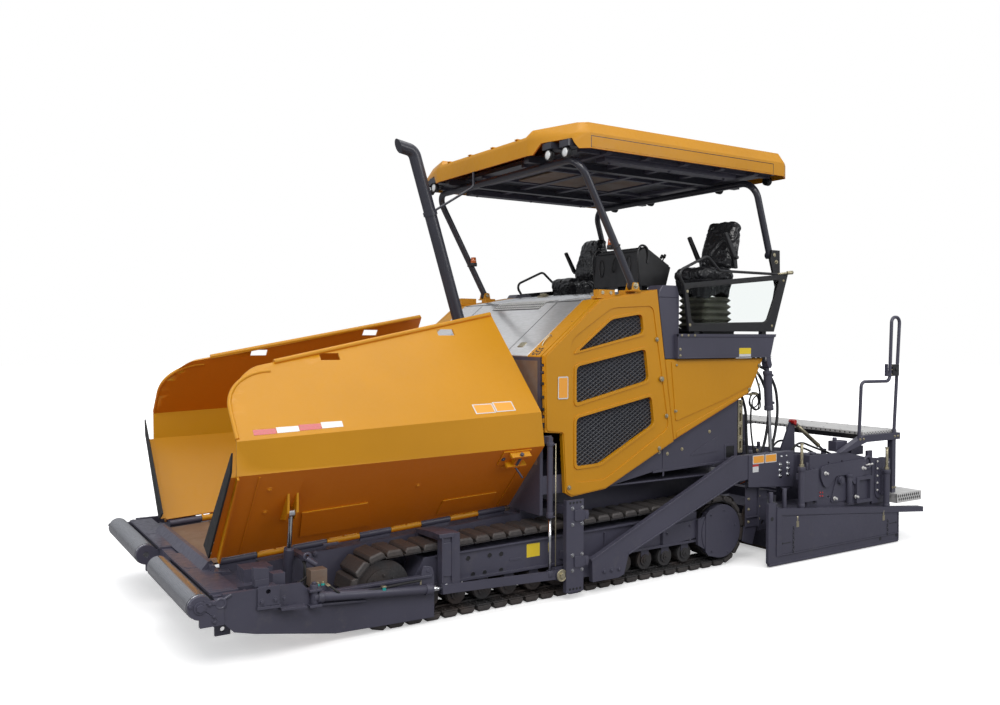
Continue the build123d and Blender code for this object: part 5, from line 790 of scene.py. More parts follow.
for side, hand in both():
    body = "side_door_" + hand
    # soft outer band, its inner edge falling to the field round the grilles
    w = Work(side, hand)
    w.frame(rounded(outset(DOOR, -0.01), 0.03), [rounded(RECESS, 0.07, 6)], 1.234, 1.2425)
    w.done("door_band", "orange", body, edge=0.008, segments=3)
    # rounded frames of the three openings, thick enough to hide the cut corners
    w = Work(side, hand)
    for window in WINDOWS:
        opening = rounded(outset(window, -0.003), 0.045, 5)
        w.frame(rounded(outset(window, 0.02), 0.05, 5), [opening], 1.206, 1.243)
    w.done("grille_frames", "orange", body, edge=0.006, segments=3)
    # woven diamond strands in front of the dark backing
    w = Work(side, hand)
    for window in WINDOWS:
        ys = [p[0] for p in window]
        zs = [p[1] for p in window]
        pitch = 0.036
        for slope in (0.62, -0.62):
            n = int((max(zs) - min(zs) + abs(slope) * (max(ys) - min(ys))) / pitch) + 2
            for i in range(n):
                c = min(zs) - (abs(slope) * (max(ys) - min(ys)) if slope > 0 else 0) + i * pitch
                inside = []
                for k in range(len(window)):
                    (ya, za), (yb, zb) = window[k], window[(k + 1) % len(window)]
                    fa = za - (c + slope * (ya - min(ys)))
                    fb = zb - (c + slope * (yb - min(ys)))
                    if fa * fb < 0:
                        s = fa / (fa - fb)
                        inside.append((ya + (yb - ya) * s, za + (zb - za) * s))
                if len(inside) == 2:
                    (ya, za), (yb, zb) = sorted(inside)
                    if yb - ya > 0.02:
                        x = side * (1.2085 if slope > 0 else 1.21)
                        add_rod(w.bm, (x, ya, za), (x, yb, zb), 0.0042, 4)
    w.done("grille_strands", "strand", body)
    # blank label, bolts and a round lock
    w = Work(side, hand)
    w.panel(-0.849, 1.64, -0.745, 1.825, 1.2465, 1.2478, 0.012)
    w.panel(-0.841, 1.65, -0.753, 1.815, 1.2476, 1.2484, 0.008, mat=1)
    w.done("door_label", ("silver", "sticker"), body)
    w = Work(side, hand)
    w.bolts(1.247, ((0.232, 2.13), (0.352, 1.45), (0.268, 0.975 + 0.19), (-0.73, 0.905)), 0.02, 0.009)
    w.pin(1.24, 1.262, 0.285, 1.78, 0.022, 24)
    w.pin(1.26, 1.266, 0.285, 1.78, 0.012, 18)
    w.done("door_bolts", "zinc", body, edge=0.001)
    w = Work(side, hand)
    for z in (1.42, 1.56, 1.66, 1.77):
        w.box((1.19, -0.982, z - 0.012), (1.222, -0.966, z + 0.012))
    w.done("door_stops", "rubber", body, edge=0.003)

    # cooler core and fan shroud behind the openings
    w = Work(side, hand)
    w.plate([(-0.66, 1.06), (0.2, 1.1), (0.16, 2.33), (-0.3, 2.28), (-0.66, 2.0)], 1.12, 1.15)
    for i in range(34):
        z = 1.08 + i * 0.036
        w.box((1.148, -0.64, z), (1.158, 0.14, z + 0.012))
    w.done("cooler_core", "iron")

# ------------------------------------------------------------------ rear side panels, skirts and side boxes
for side, hand in both():
    w = Work(side, hand)
    w.plate([(0.41, 1.936), (0.47, 1.395), (1.08, 1.566), (1.44, 1.69), (1.56, 1.936)], 1.234, 1.243, 0.02)
    w.plate([(0.476, 1.3), (0.482, 1.245), (1.262, 1.566), (1.4, 1.618), (1.425, 1.655)], 1.234, 1.24, 0.02)
    w.done("panel_field", "orange", edge=0.005, segments=3)
    w = Work(side, hand)
    w.bolts(1.24, ((0.47, 1.9), (0.47, 1.487), (1.56, 1.88), (1.425, 1.65)), 0.02, 0.009)
    w.bolts(1.187, ((0.32, 1.12), (0.42, 1.1), (0.6, 1.13), (0.95, 1.27), (1.5, 1.6), (1.6, 1.8),
            (1.612, 1.69), (1.35, 1.5), (1.6, 1.05)), 0.018, 0.009)
    w.done("panel_bolts", "zinc", edge=0.001)
    # skirt: seam strip, framed window and folded lower edge
    w = Work(side, hand)
    w.plate([(0.36, 0.9), (0.378, 0.905), (0.378, 1.19), (0.36, 1.18)], 1.186, 1.192)
    w.frame(rounded(rect(1.146, 0.99, 1.293, 1.14), 0.012), [rounded(rect(1.166, 1.01, 1.273, 1.12), 0.012)],
            1.186, 1.192)
    w.plate([(0.241, 0.94), (0.241, 0.96), (1.68, 1.0), (1.68, 0.985)], 1.186, 1.196)
    w.plate([(0.7, 1.06), (1.05, 1.08), (1.05, 1.22), (0.74, 1.09)], 1.186, 1.192, 0.02)
    w.done("skirt_trim", "slate", edge=0.002)
    # the window is filled with a black plate, a painted shade of the opening
    w = Work(side, hand)
    w.panel(1.166, 1.01, 1.273, 1.12, 1.1868, 1.1885, 0.012)
    w.done("skirt_window", "black", slot="frame_paint")
    # side box: folded top and bottom flanges, end plate, bolts and a blank label
    w = Work(side, hand)
    w.plate([(0.452, 2.152), (1.742, 2.152), (1.752, 2.18), (0.452, 2.18)], 1.262, 1.281)
    w.plate([(0.46, 1.957), (1.68, 1.957), (1.684, 1.968), (0.46, 1.968)], 1.262, 1.28)
    w.panel(0.452, 1.957, 0.466, 2.18, 1.17, 1.281)
    w.done("box_flanges", "slate_clean", edge=0.003)
    w = Work(side, hand)
    w.panel(1.245, 1.992, 1.404, 2.049, 1.2722, 1.2732, 0.004)
    w.panel(1.245, 1.964, 1.404, 1.991, 1.2722, 1.2732, 0.004, mat=1)
    w.done("box_label", ("sticker_yellow", "silver"), slot="frame_paint")
    w = Work(side, hand)
    for y in (0.5, 0.58, 0.66):
        w.bolt((1.281, y, 2.166), 0.012, 0.006)
    for z in (1.985, 2.04):
        w.bolt((1.272, 0.49, z), 0.014, 0.007)
    w.done("box_bolts", "zinc", edge=0.001)
    # pillar beside the door with a chamfered cap
    w = Work(side, hand)
    w.plate([(0.254, 2.5), (0.262, 2.56), (0.3, 2.612), (0.478, 2.612), (0.505, 2.53),
            (0.505, 2.5)], 1.06, 1.24)
    w.done("pillar_cap", "slate_clean", edge=0.01, segments=3)


# ------------------------------------------------------------------ hood
def hood_z(y):
    """Height of the hood's top face."""
    if y < -0.405:
        return 1.995 + (y + 0.985) * (2.467 - 1.995) / 0.58
    return 2.467 + (y + 0.405) * (2.57 - 2.467) / 0.645


def hood_patch(w, corners, lift, thick, mat=0, steps=8):
    """A thin plate on the hood; corners are (x, y): front left to right, then rear right to left."""
    (xa, ya), (xb, yb), (xc, yc), (xd, yd) = corners
    rows = []
    for i in range(steps + 1):
        s = i / steps
        ends = (xa + (xd - xa) * s, ya + (yd - ya) * s), (xb + (xc - xb) * s, yb + (yc - yb) * s)
        rows.append([w.bm.verts.new((x, y, hood_z(y) + lift + up)) for up in (0, thick) for x, y in ends])
    faces = []
    for a, b in zip(rows, rows[1:]):
        for ring in ((a[2], a[3], b[3], b[2]), (a[0], b[0], b[1], a[1]), (a[0], a[2], b[2], b[0]),
                     (a[1], b[1], b[3], a[3])):
            faces.append(w.bm.faces.new(ring))
    a, b = rows[0], rows[-1]
    faces.append(w.bm.faces.new((a[0], a[1], a[3], a[2])))
    faces.append(w.bm.faces.new((b[0], b[2], b[3], b[1])))
    paint_faces(faces, mat)


w = Work()
# painted shade: the black plate under the slats stands for the dark openings of the vent
hood_patch(w, [(-0.335, -0.487), (0.45, -0.487), (0.5, -0.292), (-0.335, -0.292)], 0.0015, 0.0015, 0)
for i in range(26):
    x = -0.32 + i * 0.031
    hood_patch(w, [(x, -0.48), (x + 0.008, -0.48), (x + 0.01, -0.3), (x + 0.002, -0.3)], 0.003, 0.0022, 1, 5)
for i in range(7):
    y = -0.478 + i * 0.029
    hood_patch(w, rect(-0.33, y, 0.45 + i * 0.007, y + 0.006), 0.003, 0.0026, 1, 2)
w.done("hood_vent", ("black", "board"), slot="hood_metal")
# seams, latch and hinges of the lid
w = Work()
for x in (-0.64, 0.64):
    hood_patch(w, rect(x - 0.004, -0.968, x + 0.004, 0.232), 0.0002, 0.0012, 0, 24)
hood_patch(w, rect(-0.98, -0.412, 0.98, -0.404), 0.0002, 0.0014, 0, 2)
for x in (-0.44, 0.44):
    hood_patch(w, rect(x - 0.055, 0.165, x + 0.055, 0.235), 0.001, 0.012, 1, 2)
    w.pin(x - 0.05, x + 0.05, 0.205, hood_z(0.205) + 0.022, 0.011, 16, 1)
for x in (-0.77, 0.77):
    hood_patch(w, rect(x - 0.04, -0.905, x + 0.04, -0.86), 0.001, 0.006, 1, 2)
w.done("hood_lid_details", ("plastic", "zinc"), edge=0.0012, slot="hood_metal")
for side, hand in both():
    # lift handle and the pattern of oval vent holes on the painted strip; the holes are black ovals, a painted
    # shade inside them
    a, b = (side * 1.075, -0.885), (side * 1.075, -0.79)
    tube("hood_handle_" + hand,
         [(a[0], a[1], hood_z(a[1]) - 0.002), (a[0], a[1], hood_z(a[1]) + 0.028),
          (b[0], b[1], hood_z(b[1]) + 0.028), (b[0], b[1], hood_z(b[1]) - 0.002)],
         0.006, "zinc", resolution=6, slot="hood_metal")
    w = Work(side, hand)
    for u, v, turn in ((0, 0, 0), (0.034, 0.012, 0.9), (-0.034, 0.012, -0.9), (0.018, 0.04, 0.5),
                       (-0.018, 0.04, -0.5), (0.02, -0.034, 2.4), (-0.02, -0.034, -2.4),
                       (0.045, -0.022, 1.5), (-0.045, -0.022, -1.5)):
        cx, cy = side * (1.095 + u), -0.945 + v * 0.75
        ring = []
        for k in range(14):
            ang = 2 * math.pi * k / 14
            ex, ey = 0.017 * math.cos(ang), 0.008 * math.sin(ang)
            x = cx + ex * math.cos(turn) - ey * math.sin(turn)
            y = cy + (ex * math.sin(turn) + ey * math.cos(turn)) * 0.8
            ring.append((x, y))
        slab(w.bm, *[[w.bm.verts.new((x, y, hood_z(y) + lift)) for x, y in ring]
                     for lift in (0.0012, -0.0008)])
    w.done("hood_slots", "black", slot="hood_metal")
    # two-hole stop bracket ahead of the canopy's pivot and the pivot's pin
    w = Work(side, hand)
    w.box((1.115, -0.38, 2.5), (1.185, -0.2, 2.555))
    w.box((1.11, -0.4, 2.478), (1.19, -0.18, 2.5))
    for y in (-0.335, -0.245):
        w.pin(1.18, 1.189, y, 2.53, 0.016, 18, 1)
    w.pin(1.16, 1.272, -0.028, 2.593, 0.017, 20, 1)
    w.bolt((1.259, -0.028, 2.593), 0.03, 0.016, 1)
    w.done("post_brackets", ("orange", "zinc"), edge=0.003)
# bulkhead: a face plate of brown primer on each side
for side, hand in both():
    w = Work(side, hand)
    low, high = flip(side, 0.8, 1.15)
    prism(w.bm, rect(low, 1.1, high, 1.955), -0.988, -0.9845, plane="XZ")
    w.done("bulkhead_plate", "worn", edge=0.001)


# ------------------------------------------------------------------ seats
def pad_shape(sections, name):
    """A closed form lofted through rounded outlines, each given as a list of points."""
    bm = bmesh.new()
    loft(bm, [[bm.verts.new(p) for p in ring] for ring in sections])
    return new_object(name, bm)


def swell(obj, voxel, pressure, cap):
    """Fill a pad with cloth pressure, and cap how far each point may move."""
    modify(obj, "voxels", "REMESH", mode="VOXEL", voxel_size=voxel, use_smooth_shade=True)
    bpy.context.view_layer.update()
    shape = bpy.data.meshes.new_from_object(obj.evaluated_get(bpy.context.evaluated_depsgraph_get()))
    obj.modifiers.clear()
    obj.data = shape
    start = [v.co.copy() for v in shape.vertices]
    cloth = obj.modifiers.new("fill", "CLOTH")
    cloth.settings.use_pressure = True
    cloth.settings.uniform_pressure_force = pressure
    cloth.settings.effector_weights.gravity = 0
    cloth.settings.quality = 4
    cloth.point_cache.frame_start = 1
    cloth.point_cache.frame_end = 20
    for step in range(1, 21):
        SCENE.frame_set(step)
    done = bpy.data.meshes.new_from_object(obj.evaluated_get(bpy.context.evaluated_depsgraph_get()))
    obj.modifiers.clear()
    SCENE.frame_set(1)
    if len(done.vertices) == len(start):
        for v, was in zip(done.vertices, start):
            move = v.co - was
            if move.length > cap:
                v.co = was + move.normalized() * cap
    obj.data = done


def crumple(obj, amount, scale, seed):
    """Creases of loose plastic film: sharp ridges along noise contours."""
    mesh = obj.data
    normals = [v.normal.copy() for v in mesh.vertices]
    for v, normal in zip(mesh.vertices, normals):
        p = v.co * scale + Vector((seed, seed * 0.7, -seed))
        warp = Vector((noise.noise(p * 0.6), noise.noise(p * 0.6 + Vector((5, 1, 3))),
                       noise.noise(p * 0.6 + Vector((2, 8, 4)))))
        ridge = 1 - abs(noise.noise(p + warp * 1.6)) * 2.4
        fine = 1 - abs(noise.noise(p * 2.7 + warp)) * 2.2
        v.co += normal * (amount * (max(ridge, -0.4) * 0.8 + fine * 0.35 - 0.55))


def rounded_box(cx, cy, z, half_x, half_y, corner):
    pts = rounded(rect(cx - half_x, cy - half_y, cx + half_x, cy + half_y), corner, 4)
    return [(x, y, z) for x, y in pts]


SEAT_X, SEAT_Y = 1.0, 1.065


def build_cushion():
    sections = []
    for z, half_x, half_y in ((2.672, 0.195, 0.195), (2.69, 0.214, 0.214), (2.735, 0.222, 0.222),
                              (2.775, 0.216, 0.214), (2.792, 0.192, 0.188)):
        sections.append(rounded_box(SEAT_X, SEAT_Y - 0.015, z, half_x, half_y, 0.07))
    return pad_shape(sections, "seat_cushion_left")


def build_back():
    sections = []
    for s, half_x, thick in ((0.0, 0.19, 0.05), (0.08, 0.212, 0.058), (0.35, 0.218, 0.06), (0.62, 0.205, 0.054),
                             (0.86, 0.198, 0.05), (0.96, 0.182, 0.042), (1.0, 0.15, 0.028)):
        y, z = SEAT_Y + 0.165 + 0.105 * s, 2.8 + 0.468 * s
        sections.append([(px, y + (py - y), z + (py - y) * -0.22) for px, py, _ in
                         rounded_box(SEAT_X, y, z, half_x, thick, 0.045)])
    return pad_shape(sections, "seat_back_left")


def copy_mirrored(obj, name):
    mesh = obj.data.copy()
    mesh.transform(Matrix.Diagonal((-1, 1, 1, 1)))
    mesh.flip_normals()
    twin = bpy.data.objects.new(name, mesh)
    SCENE.collection.objects.link(twin)
    return twin


for make, name, cap, seed in ((build_cushion, "seat_cushion", 0.014, 3.1),
                              (build_back, "seat_back", 0.012, 8.4)):
    pad = make()
    swell(pad, 0.01, 4.0, cap)
    crumple(pad, 0.011, 11.0, seed)
    pair = [pad, copy_mirrored(pad, name + "_right")]
    for piece in pair:
        piece.data.materials.clear()
        piece.data.materials.append(MAT["sheet"])
        for f in piece.data.polygons:
            f.use_smooth = True
        modify(piece, "subdivide", "SUBSURF", levels=1, render_levels=1)
        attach(piece, "tractor")
        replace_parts(piece, "seats")

for side, hand in both():
    # bellows in five folds
    w = Work(side, hand)
    rings = []
    folds = 5
    for i in range(folds * 2 + 1):
        s = i / (folds * 2)
        out = 0.0 if i % 2 else -0.03
        z = 2.228 + 0.3 * s
        narrow = 0.01 * s
        pts = rounded(rect(-0.188, -0.197, 0.188, 0.197), 0.05, 4)
        grow = 1 + (out - narrow) / 0.19
        rings.append([w.bm.verts.new((side * SEAT_X + x * grow, SEAT_Y + y * grow, z)) for x, y in pts])
    loft(w.bm, rings)
    w.done("seat_bellows", "bellows", edge=0.006, segments=3)
    # swivel plate and rails under the bellows
    w = Work(side, hand)
    prism(w.bm, rounded(rect(side * SEAT_X - 0.198, SEAT_Y - 0.208, side * SEAT_X + 0.198, SEAT_Y + 0.208),
                        0.03), 2.2, 2.23, plane="XY")
    for dx in (-0.16, 0.16):
        add_box(w.bm, (side * SEAT_X + dx - 0.022, SEAT_Y - 0.205, 2.176),
                (side * SEAT_X + dx + 0.022, SEAT_Y + 0.205, 2.202))
        for dy in (-0.17, 0.17):
            add_bolt(w.bm, (side * SEAT_X + dx, SEAT_Y + dy, 2.23), (0, 0, 1), 0.014, 0.008)
    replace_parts(w.done("seat_swivel", "black", edge=0.003), "seat_bases")
    # loose film hanging below the edge of the cushion
    w = Work(side, hand)
    rows = []
    n = 96
    for i in range(13):
        s = i / 12
        ring = []
        for k in range(n):
            a = 2 * math.pi * k / n
            c, d = math.cos(a), math.sin(a)
            p = 6
            r = (abs(c) ** p + abs(d) ** p) ** (-1 / p)
            hang = 0.5 + 0.5 * math.sin(a * 3 + side) + 0.35 * noise.noise(Vector((c * 3, d * 3, side * 4.0)))
            bottom = 2.512 + 0.055 * hang
            z = 2.69 + (bottom - 2.69) * s
            fold = noise.noise(Vector((c * 7, d * 7, z * 9 + side * 3))) * 0.016 * (0.4 + s)
            pull = 0.214 - 0.03 * s + fold
            ring.append(w.bm.verts.new((side * SEAT_X + c * r * pull, SEAT_Y - 0.012 + d * r * pull, z)))
        rows.append(ring)
    loft(w.bm, rows, caps=False)
    film = w.done("seat_film", "sheet", smooth=True)
    modify(film, "film", "SOLIDIFY", thickness=0.0016, offset=-1)
    modify(film, "subdivide", "SUBSURF", levels=1, render_levels=1)
    # armrests folded up on their pivots
    w = Work(side, hand)
    for dx in (-0.232, 0.232):
        x = side * SEAT_X + dx
        low, high = Vector((x, SEAT_Y + 0.15, 2.905)), Vector((x, SEAT_Y + 0.02, 3.125))
        along = (high - low).normalized()
        across = Vector((0, along.z, -along.y)) * 0.021
        prism(w.bm, rounded([(p.y, p.z) for p in (low - across, low + across, high + across * 0.8,
              high - across * 0.8)], 0.012), x - 0.019, x + 0.019)
        add_rod(w.bm, (x - 0.03, SEAT_Y + 0.165, 2.9), (x + 0.03, SEAT_Y + 0.165, 2.9), 0.017, 18)
        prism(w.bm, [(SEAT_Y + 0.145, 2.905), (SEAT_Y + 0.19, 2.905), (SEAT_Y + 0.205, 2.8),
              (SEAT_Y + 0.165, 2.795)], x - 0.009 - math.copysign(0.012, dx),
              x + 0.009 - math.copysign(0.012, dx))
    w.done("seat_arms", "plastic", edge=0.007, segments=3)

# ------------------------------------------------------------------ console
w = Work()
for x in (0.03, 0.35):
    w.box((x, 0.545, 2.972), (x + 0.28, 0.6, 2.992))
# sloping desk face with a raised frame, screen hood and key rows
normal = Vector((0, 0.18, 0.33)).normalized()
along = Vector((0, 0.33, -0.18)).normalized()


def desk(x, s, lift=0.0):
    """A point on the desk face, s up its slope and lift off it."""
    return Vector((x, 0.615, 3.01)) + along * s + normal * lift


def desk_plate(w, x0, x1, s0, s1, low, high, mat=0):
    """A plate on the desk: X, distance up the slope and height off it."""
    a, b = [[w.bm.verts.new(desk(x, s, lift)) for x, s in rect(x0, s0, x1, s1)] for lift in (low, high)]
    paint_faces((w.bm.faces.new(list(reversed(a))), w.bm.faces.new(b)), mat)
    wall(w.bm, a, b, mat)


desk_plate(w, 0.015, 0.645, 0.01, 0.03, 0.0, 0.014)
desk_plate(w, 0.015, 0.645, 0.335, 0.36, 0.0, 0.014)
for x in (0.015, 0.625):
    desk_plate(w, x, x + 0.02, 0.03, 0.335, 0.0, 0.014)
desk_plate(w, 0.23, 0.44, 0.05, 0.185, 0.0, 0.03)
desk_plate(w, 0.245, 0.425, 0.062, 0.172, 0.0295, 0.0315, 1)
for i in range(5):
    for x in (0.06, 0.1, 0.14, 0.18, 0.48, 0.52, 0.56, 0.6):
        desk_plate(w, x - 0.013, x + 0.013, 0.06 + i * 0.05, 0.088 + i * 0.05, 0.0, 0.009,
                   2 if (i + int(x * 100)) % 4 else 3)
w.done("console_panel", ("plastic", "lens", "rubber", "amber"), edge=0.002)
# front cover with two oval recesses, a strap handle and side rails
for x, z in ((0.115, 2.83), (0.52, 2.85)):
    pts = [(x + 0.055 * math.cos(a) * 0.6, 0.521, z + 0.085 * math.sin(a)) for a in turns(12)]
    tube("console_oval_%d" % int(x * 1000), pts + pts[:1], 0.006, "plastic", resolution=4)
tube("console_grip", [(0.3, 0.522, 2.79), (0.3, 0.5, 2.8), (0.33, 0.498, 2.9), (0.36, 0.5, 2.93),
                      (0.36, 0.522, 2.935)], 0.009, "rubber", slot="plastic_black")
for side in (0, 1):
    x = 0.668 if side else -0.008
    tube("console_rail_%d" % side, [(x, 0.56, 2.56), (x, 0.545, 2.64), (x, 0.5, 2.96), (x, 0.56, 3.04),
                                    (x, 0.66, 2.99), (x, 0.64, 2.86)], 0.011, "black")
# steering wheel on its stalk, and levers
w = Work()
add_ring(w.bm, desk(0.335, 0.25, 0.075), normal, 0.115, 0.011, 0, 36, 8)
add_rod(w.bm, desk(0.335, 0.25, 0.0), desk(0.335, 0.25, 0.075), 0.02, 16)
for k in range(3):
    a = 2 * math.pi * k / 3 + 0.4
    tip = desk(0.335 + 0.112 * math.cos(a), 0.25 + 0.112 * math.sin(a), 0.075)
    add_rod(w.bm, desk(0.335, 0.25, 0.07), tip, 0.008, 8)
for x, s in ((0.085, 0.3), (0.56, 0.3), (0.6, 0.3)):
    add_rod(w.bm, desk(x, s, 0.0), desk(x, s, 0.075), 0.007, 10)
    add_rod(w.bm, desk(x, s, 0.07), desk(x, s, 0.105), 0.015, 14, radius2=0.012)
w.done("console_controls", "rubber", slot="plastic_black")
w = Work()
for x in (0.245, 0.33, 0.415):
    w.box((x - 0.03, 0.637, 2.25), (x + 0.03, 0.646, 2.6))
w.box((0.2, 0.69, 2.176), (0.46, 0.8, 2.2))
for z in (2.24, 2.42, 2.58):
    w.bolt((0.441, 0.68, z), 0.012, 0.006)
    w.bolt((0.441, 0.81, z), 0.012, 0.006)
w.done("console_pedestal_trim", "slate_clean", edge=0.003)

# ------------------------------------------------------------------ canopy
for side, hand in both():
    w = Work(side, hand)
    w.panel(-0.6, 3.708, 1.59, 3.792, 1.359, 1.3625)
    for a, b in (((-0.606, 3.793), (1.596, 3.799)), ((-0.608, 3.7), (-0.601, 3.799)),
                 ((1.591, 3.7), (1.598, 3.799))):
        w.plate([a, (b[0], a[1]), b, (a[0], b[1])], 1.3592, 1.3606, mat=1)
    w.done("roof_side_panel", ("orange", "black"), edge=0.0015, slot="canopy_paint")
# sheet seams and fixings on the roof
w = Work()
for y in (-0.3, 0.55, 1.35):
    w.box((-0.735, y - 0.006, 3.8655), (0.735, y + 0.006, 3.8685))
for x in (-0.6, -0.2, 0.2, 0.6):
    w.box((x - 0.02, -0.84, 3.8655), (x + 0.02, 1.6, 3.8755))
w.done("roof_ribs", "orange", edge=0.003, slot="canopy_paint")
# ribbed ceiling
w = Work()
for y in (-0.35, 0.1, 0.55, 1.0, 1.45):
    prism(w.bm, [(-1.29, 3.722), (-1.29, 3.7), (-1.27, 3.688), (1.27, 3.688), (1.29, 3.7),
          (1.29, 3.722)], y - 0.03, y + 0.03, plane="XZ")
for x in (-1.18, -0.35, 0.35, 1.18):
    w.box((x - 0.022, -0.595, 3.694), (x + 0.022, 1.735, 3.72))
for x in (-1.1, 1.1):
    w.box((x - 0.06, -0.3, 3.655), (x + 0.06, 1.3, 3.712))
    for y in (-0.2, 0.5, 1.2):
        w.bolt((x, y, 3.655), 0.018, 0.01, axis=(0, 0, -1))
w.done("roof_ceiling_ribs", "slate", edge=0.006, slot="black_paint")
w = Work()
w.box((-0.3, -0.2, 3.7), (0.3, 0.95, 3.7175))
w.done("roof_ceiling_board", "worn", edge=0.004, slot="black_paint")


def lamp(w, x, y, z, facing, radius):
    """Round work lamp: ribbed housing, bezel and domed glass."""
    w.rod((x, y, z), (x, y + facing * 0.02, z), radius * 0.97, 28, 0)
    w.rod((x, y + facing * 0.018, z), (x, y + facing * 0.042, z), radius, 28, 0)
    w.ring((x, y + facing * 0.042, z), radius - 0.004, 0.005, 0, 28, 6, axis=(0, 1, 0))
    rings = []
    for k in range(4):
        r = (radius - 0.007) * math.cos(k * math.pi / 8)
        lift = 0.01 * math.sin(k * math.pi / 8)
        rings.append([w.bm.verts.new((x + r * math.cos(a), y + facing * (0.042 + lift), z + r * math.sin(a)))
                      for a in turns(24)])
    loft(w.bm, rings, False, 1, True)
    paint_faces((w.bm.faces.new(rings[-1]), w.bm.faces.new(list(reversed(rings[0])))), 1)
    for i in range(5):
        w.box((x - 0.03 + i * 0.015 - 0.002, y - facing * 0.006, z - radius * 0.6),
              (x - 0.03 + i * 0.015 + 0.002, y + facing * 0.002, z + radius * 0.6), 0)
    w.box((x - 0.014, y + facing * 0.006, z + radius * 0.9),
          (x + 0.014, y + facing * 0.03, z + radius * 0.9 + 0.03), 0)


w = Work()
for x, y in ((1.0, -0.741), (1.18, -0.696)):
    for s in (1, -1):
        lamp(w, s * x, y, 3.676, -1, 0.046)
for x in (1.15, 0.52):
    for s in (1, -1):
        lamp(w, s * x, 1.73, 3.676, 1, 0.042)
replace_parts(w.done("work_lamps", ("plastic", "lens"), slot="lamp_lens"), "canopy_lights")
# beacons on the front posts
w = Work()
for s in (1, -1):
    x, y, z = s * 1.15, -0.215, 2.925
    w.pin(s * 1.215, x, y, z, 0.012, 12, 0)
    w.post(x, y, z - 0.02, z + 0.015, 0.038, 24, 0)
    w.post(x, y, z + 0.014, z + 0.075, 0.033, 24, 1, radius2=0.026)
    w.ring((s * 1.215, y, z), 0.035, 0.006, 0, 24, 6, axis=Vector((0, -0.492, 0.87)))
w.done("post_beacons", ("plastic", "amber"), edge=0.001, slot="lamp_lens")
# clamps and bolts at the rear posts, and latches of the screens
for side, hand in both():
    w = Work(side, hand)
    w.bolts(1.273, ((1.7, 2.42), (1.76, 2.6), (1.765, 2.72), (1.75, 2.88)), 0.022, 0.012)
    w.bolt((1.262, 1.721, 2.947), 0.034, 0.014)
    w.rod((1.25, 1.76, 2.76), (1.33, 1.84, 2.775), 0.01, 12)
    w.rod((1.33, 1.84, 2.775), (1.345, 1.9, 2.78), 0.018, 14)
    w.bolts(1.304, ((0.575, 2.26), (1.66, 2.26), (0.54, 2.56), (1.82, 2.7)), 0.014, 0.006)
    w.done("screen_fittings", "zinc", edge=0.001)
    # rubber seal round the pane
    w = Work(side, hand)
    pane = [(0.529, 2.597), (0.589, 2.264), (1.594, 2.286), (1.788, 2.72)]
    w.frame(rounded(outset(pane, 0.01), 0.04), [rounded(outset(pane, -0.012), 0.05)], 1.282, 1.3055)
    w.done("pane_seal", "rubber", edge=0.003)


# ------------------------------------------------------------------ tracks
IDLER, IDLER_R = (-2.37, 0.29), 0.29
SPROCKET, SPROCKET_R = (1.069, 0.33), 0.33
TRACK_X = (0.9015, 1.2065)
SHOES = 58


def track_places(count):
    """Stations along the outer outline: (y, z, direction)."""
    span = math.hypot(SPROCKET[0] - IDLER[0], SPROCKET[1] - IDLER[1])
    tilt = math.atan2(SPROCKET[1] - IDLER[1], SPROCKET[0] - IDLER[0])
    spread = math.asin((SPROCKET_R - IDLER_R) / span)
    top, low = tilt + spread, tilt - spread
    run = math.sqrt(span ** 2 - (SPROCKET_R - IDLER_R) ** 2)
    rear_sweep = (top - (low + math.pi)) % (2 * math.pi)
    parts = [run, SPROCKET_R * rear_sweep, run, IDLER_R * (2 * math.pi - rear_sweep)]
    total = sum(parts)
    start = (IDLER[0] - IDLER_R * math.sin(top), IDLER[1] + IDLER_R * math.cos(top))
    turn_back = low + math.pi
    low_rear = (SPROCKET[0] - SPROCKET_R * math.sin(turn_back),
                SPROCKET[1] + SPROCKET_R * math.cos(turn_back))
    places = []
    for i in range(count):
        s = (i + 0.5) * total / count
        if s < parts[0]:
            places.append((start[0] + s * math.cos(top), start[1] + s * math.sin(top), top))
            continue
        s -= parts[0]
        if s < parts[1]:
            a = top - s / SPROCKET_R
            places.append((SPROCKET[0] - SPROCKET_R * math.sin(a), SPROCKET[1] + SPROCKET_R * math.cos(a), a))
            continue
        s -= parts[1]
        if s < parts[2]:
            places.append((low_rear[0] + s * math.cos(turn_back), low_rear[1] + s * math.sin(turn_back),
                           turn_back))
            continue
        s -= parts[2]
        a = turn_back - s / IDLER_R
        places.append((IDLER[0] - IDLER_R * math.sin(a), IDLER[1] + IDLER_R * math.cos(a), a))
    return places


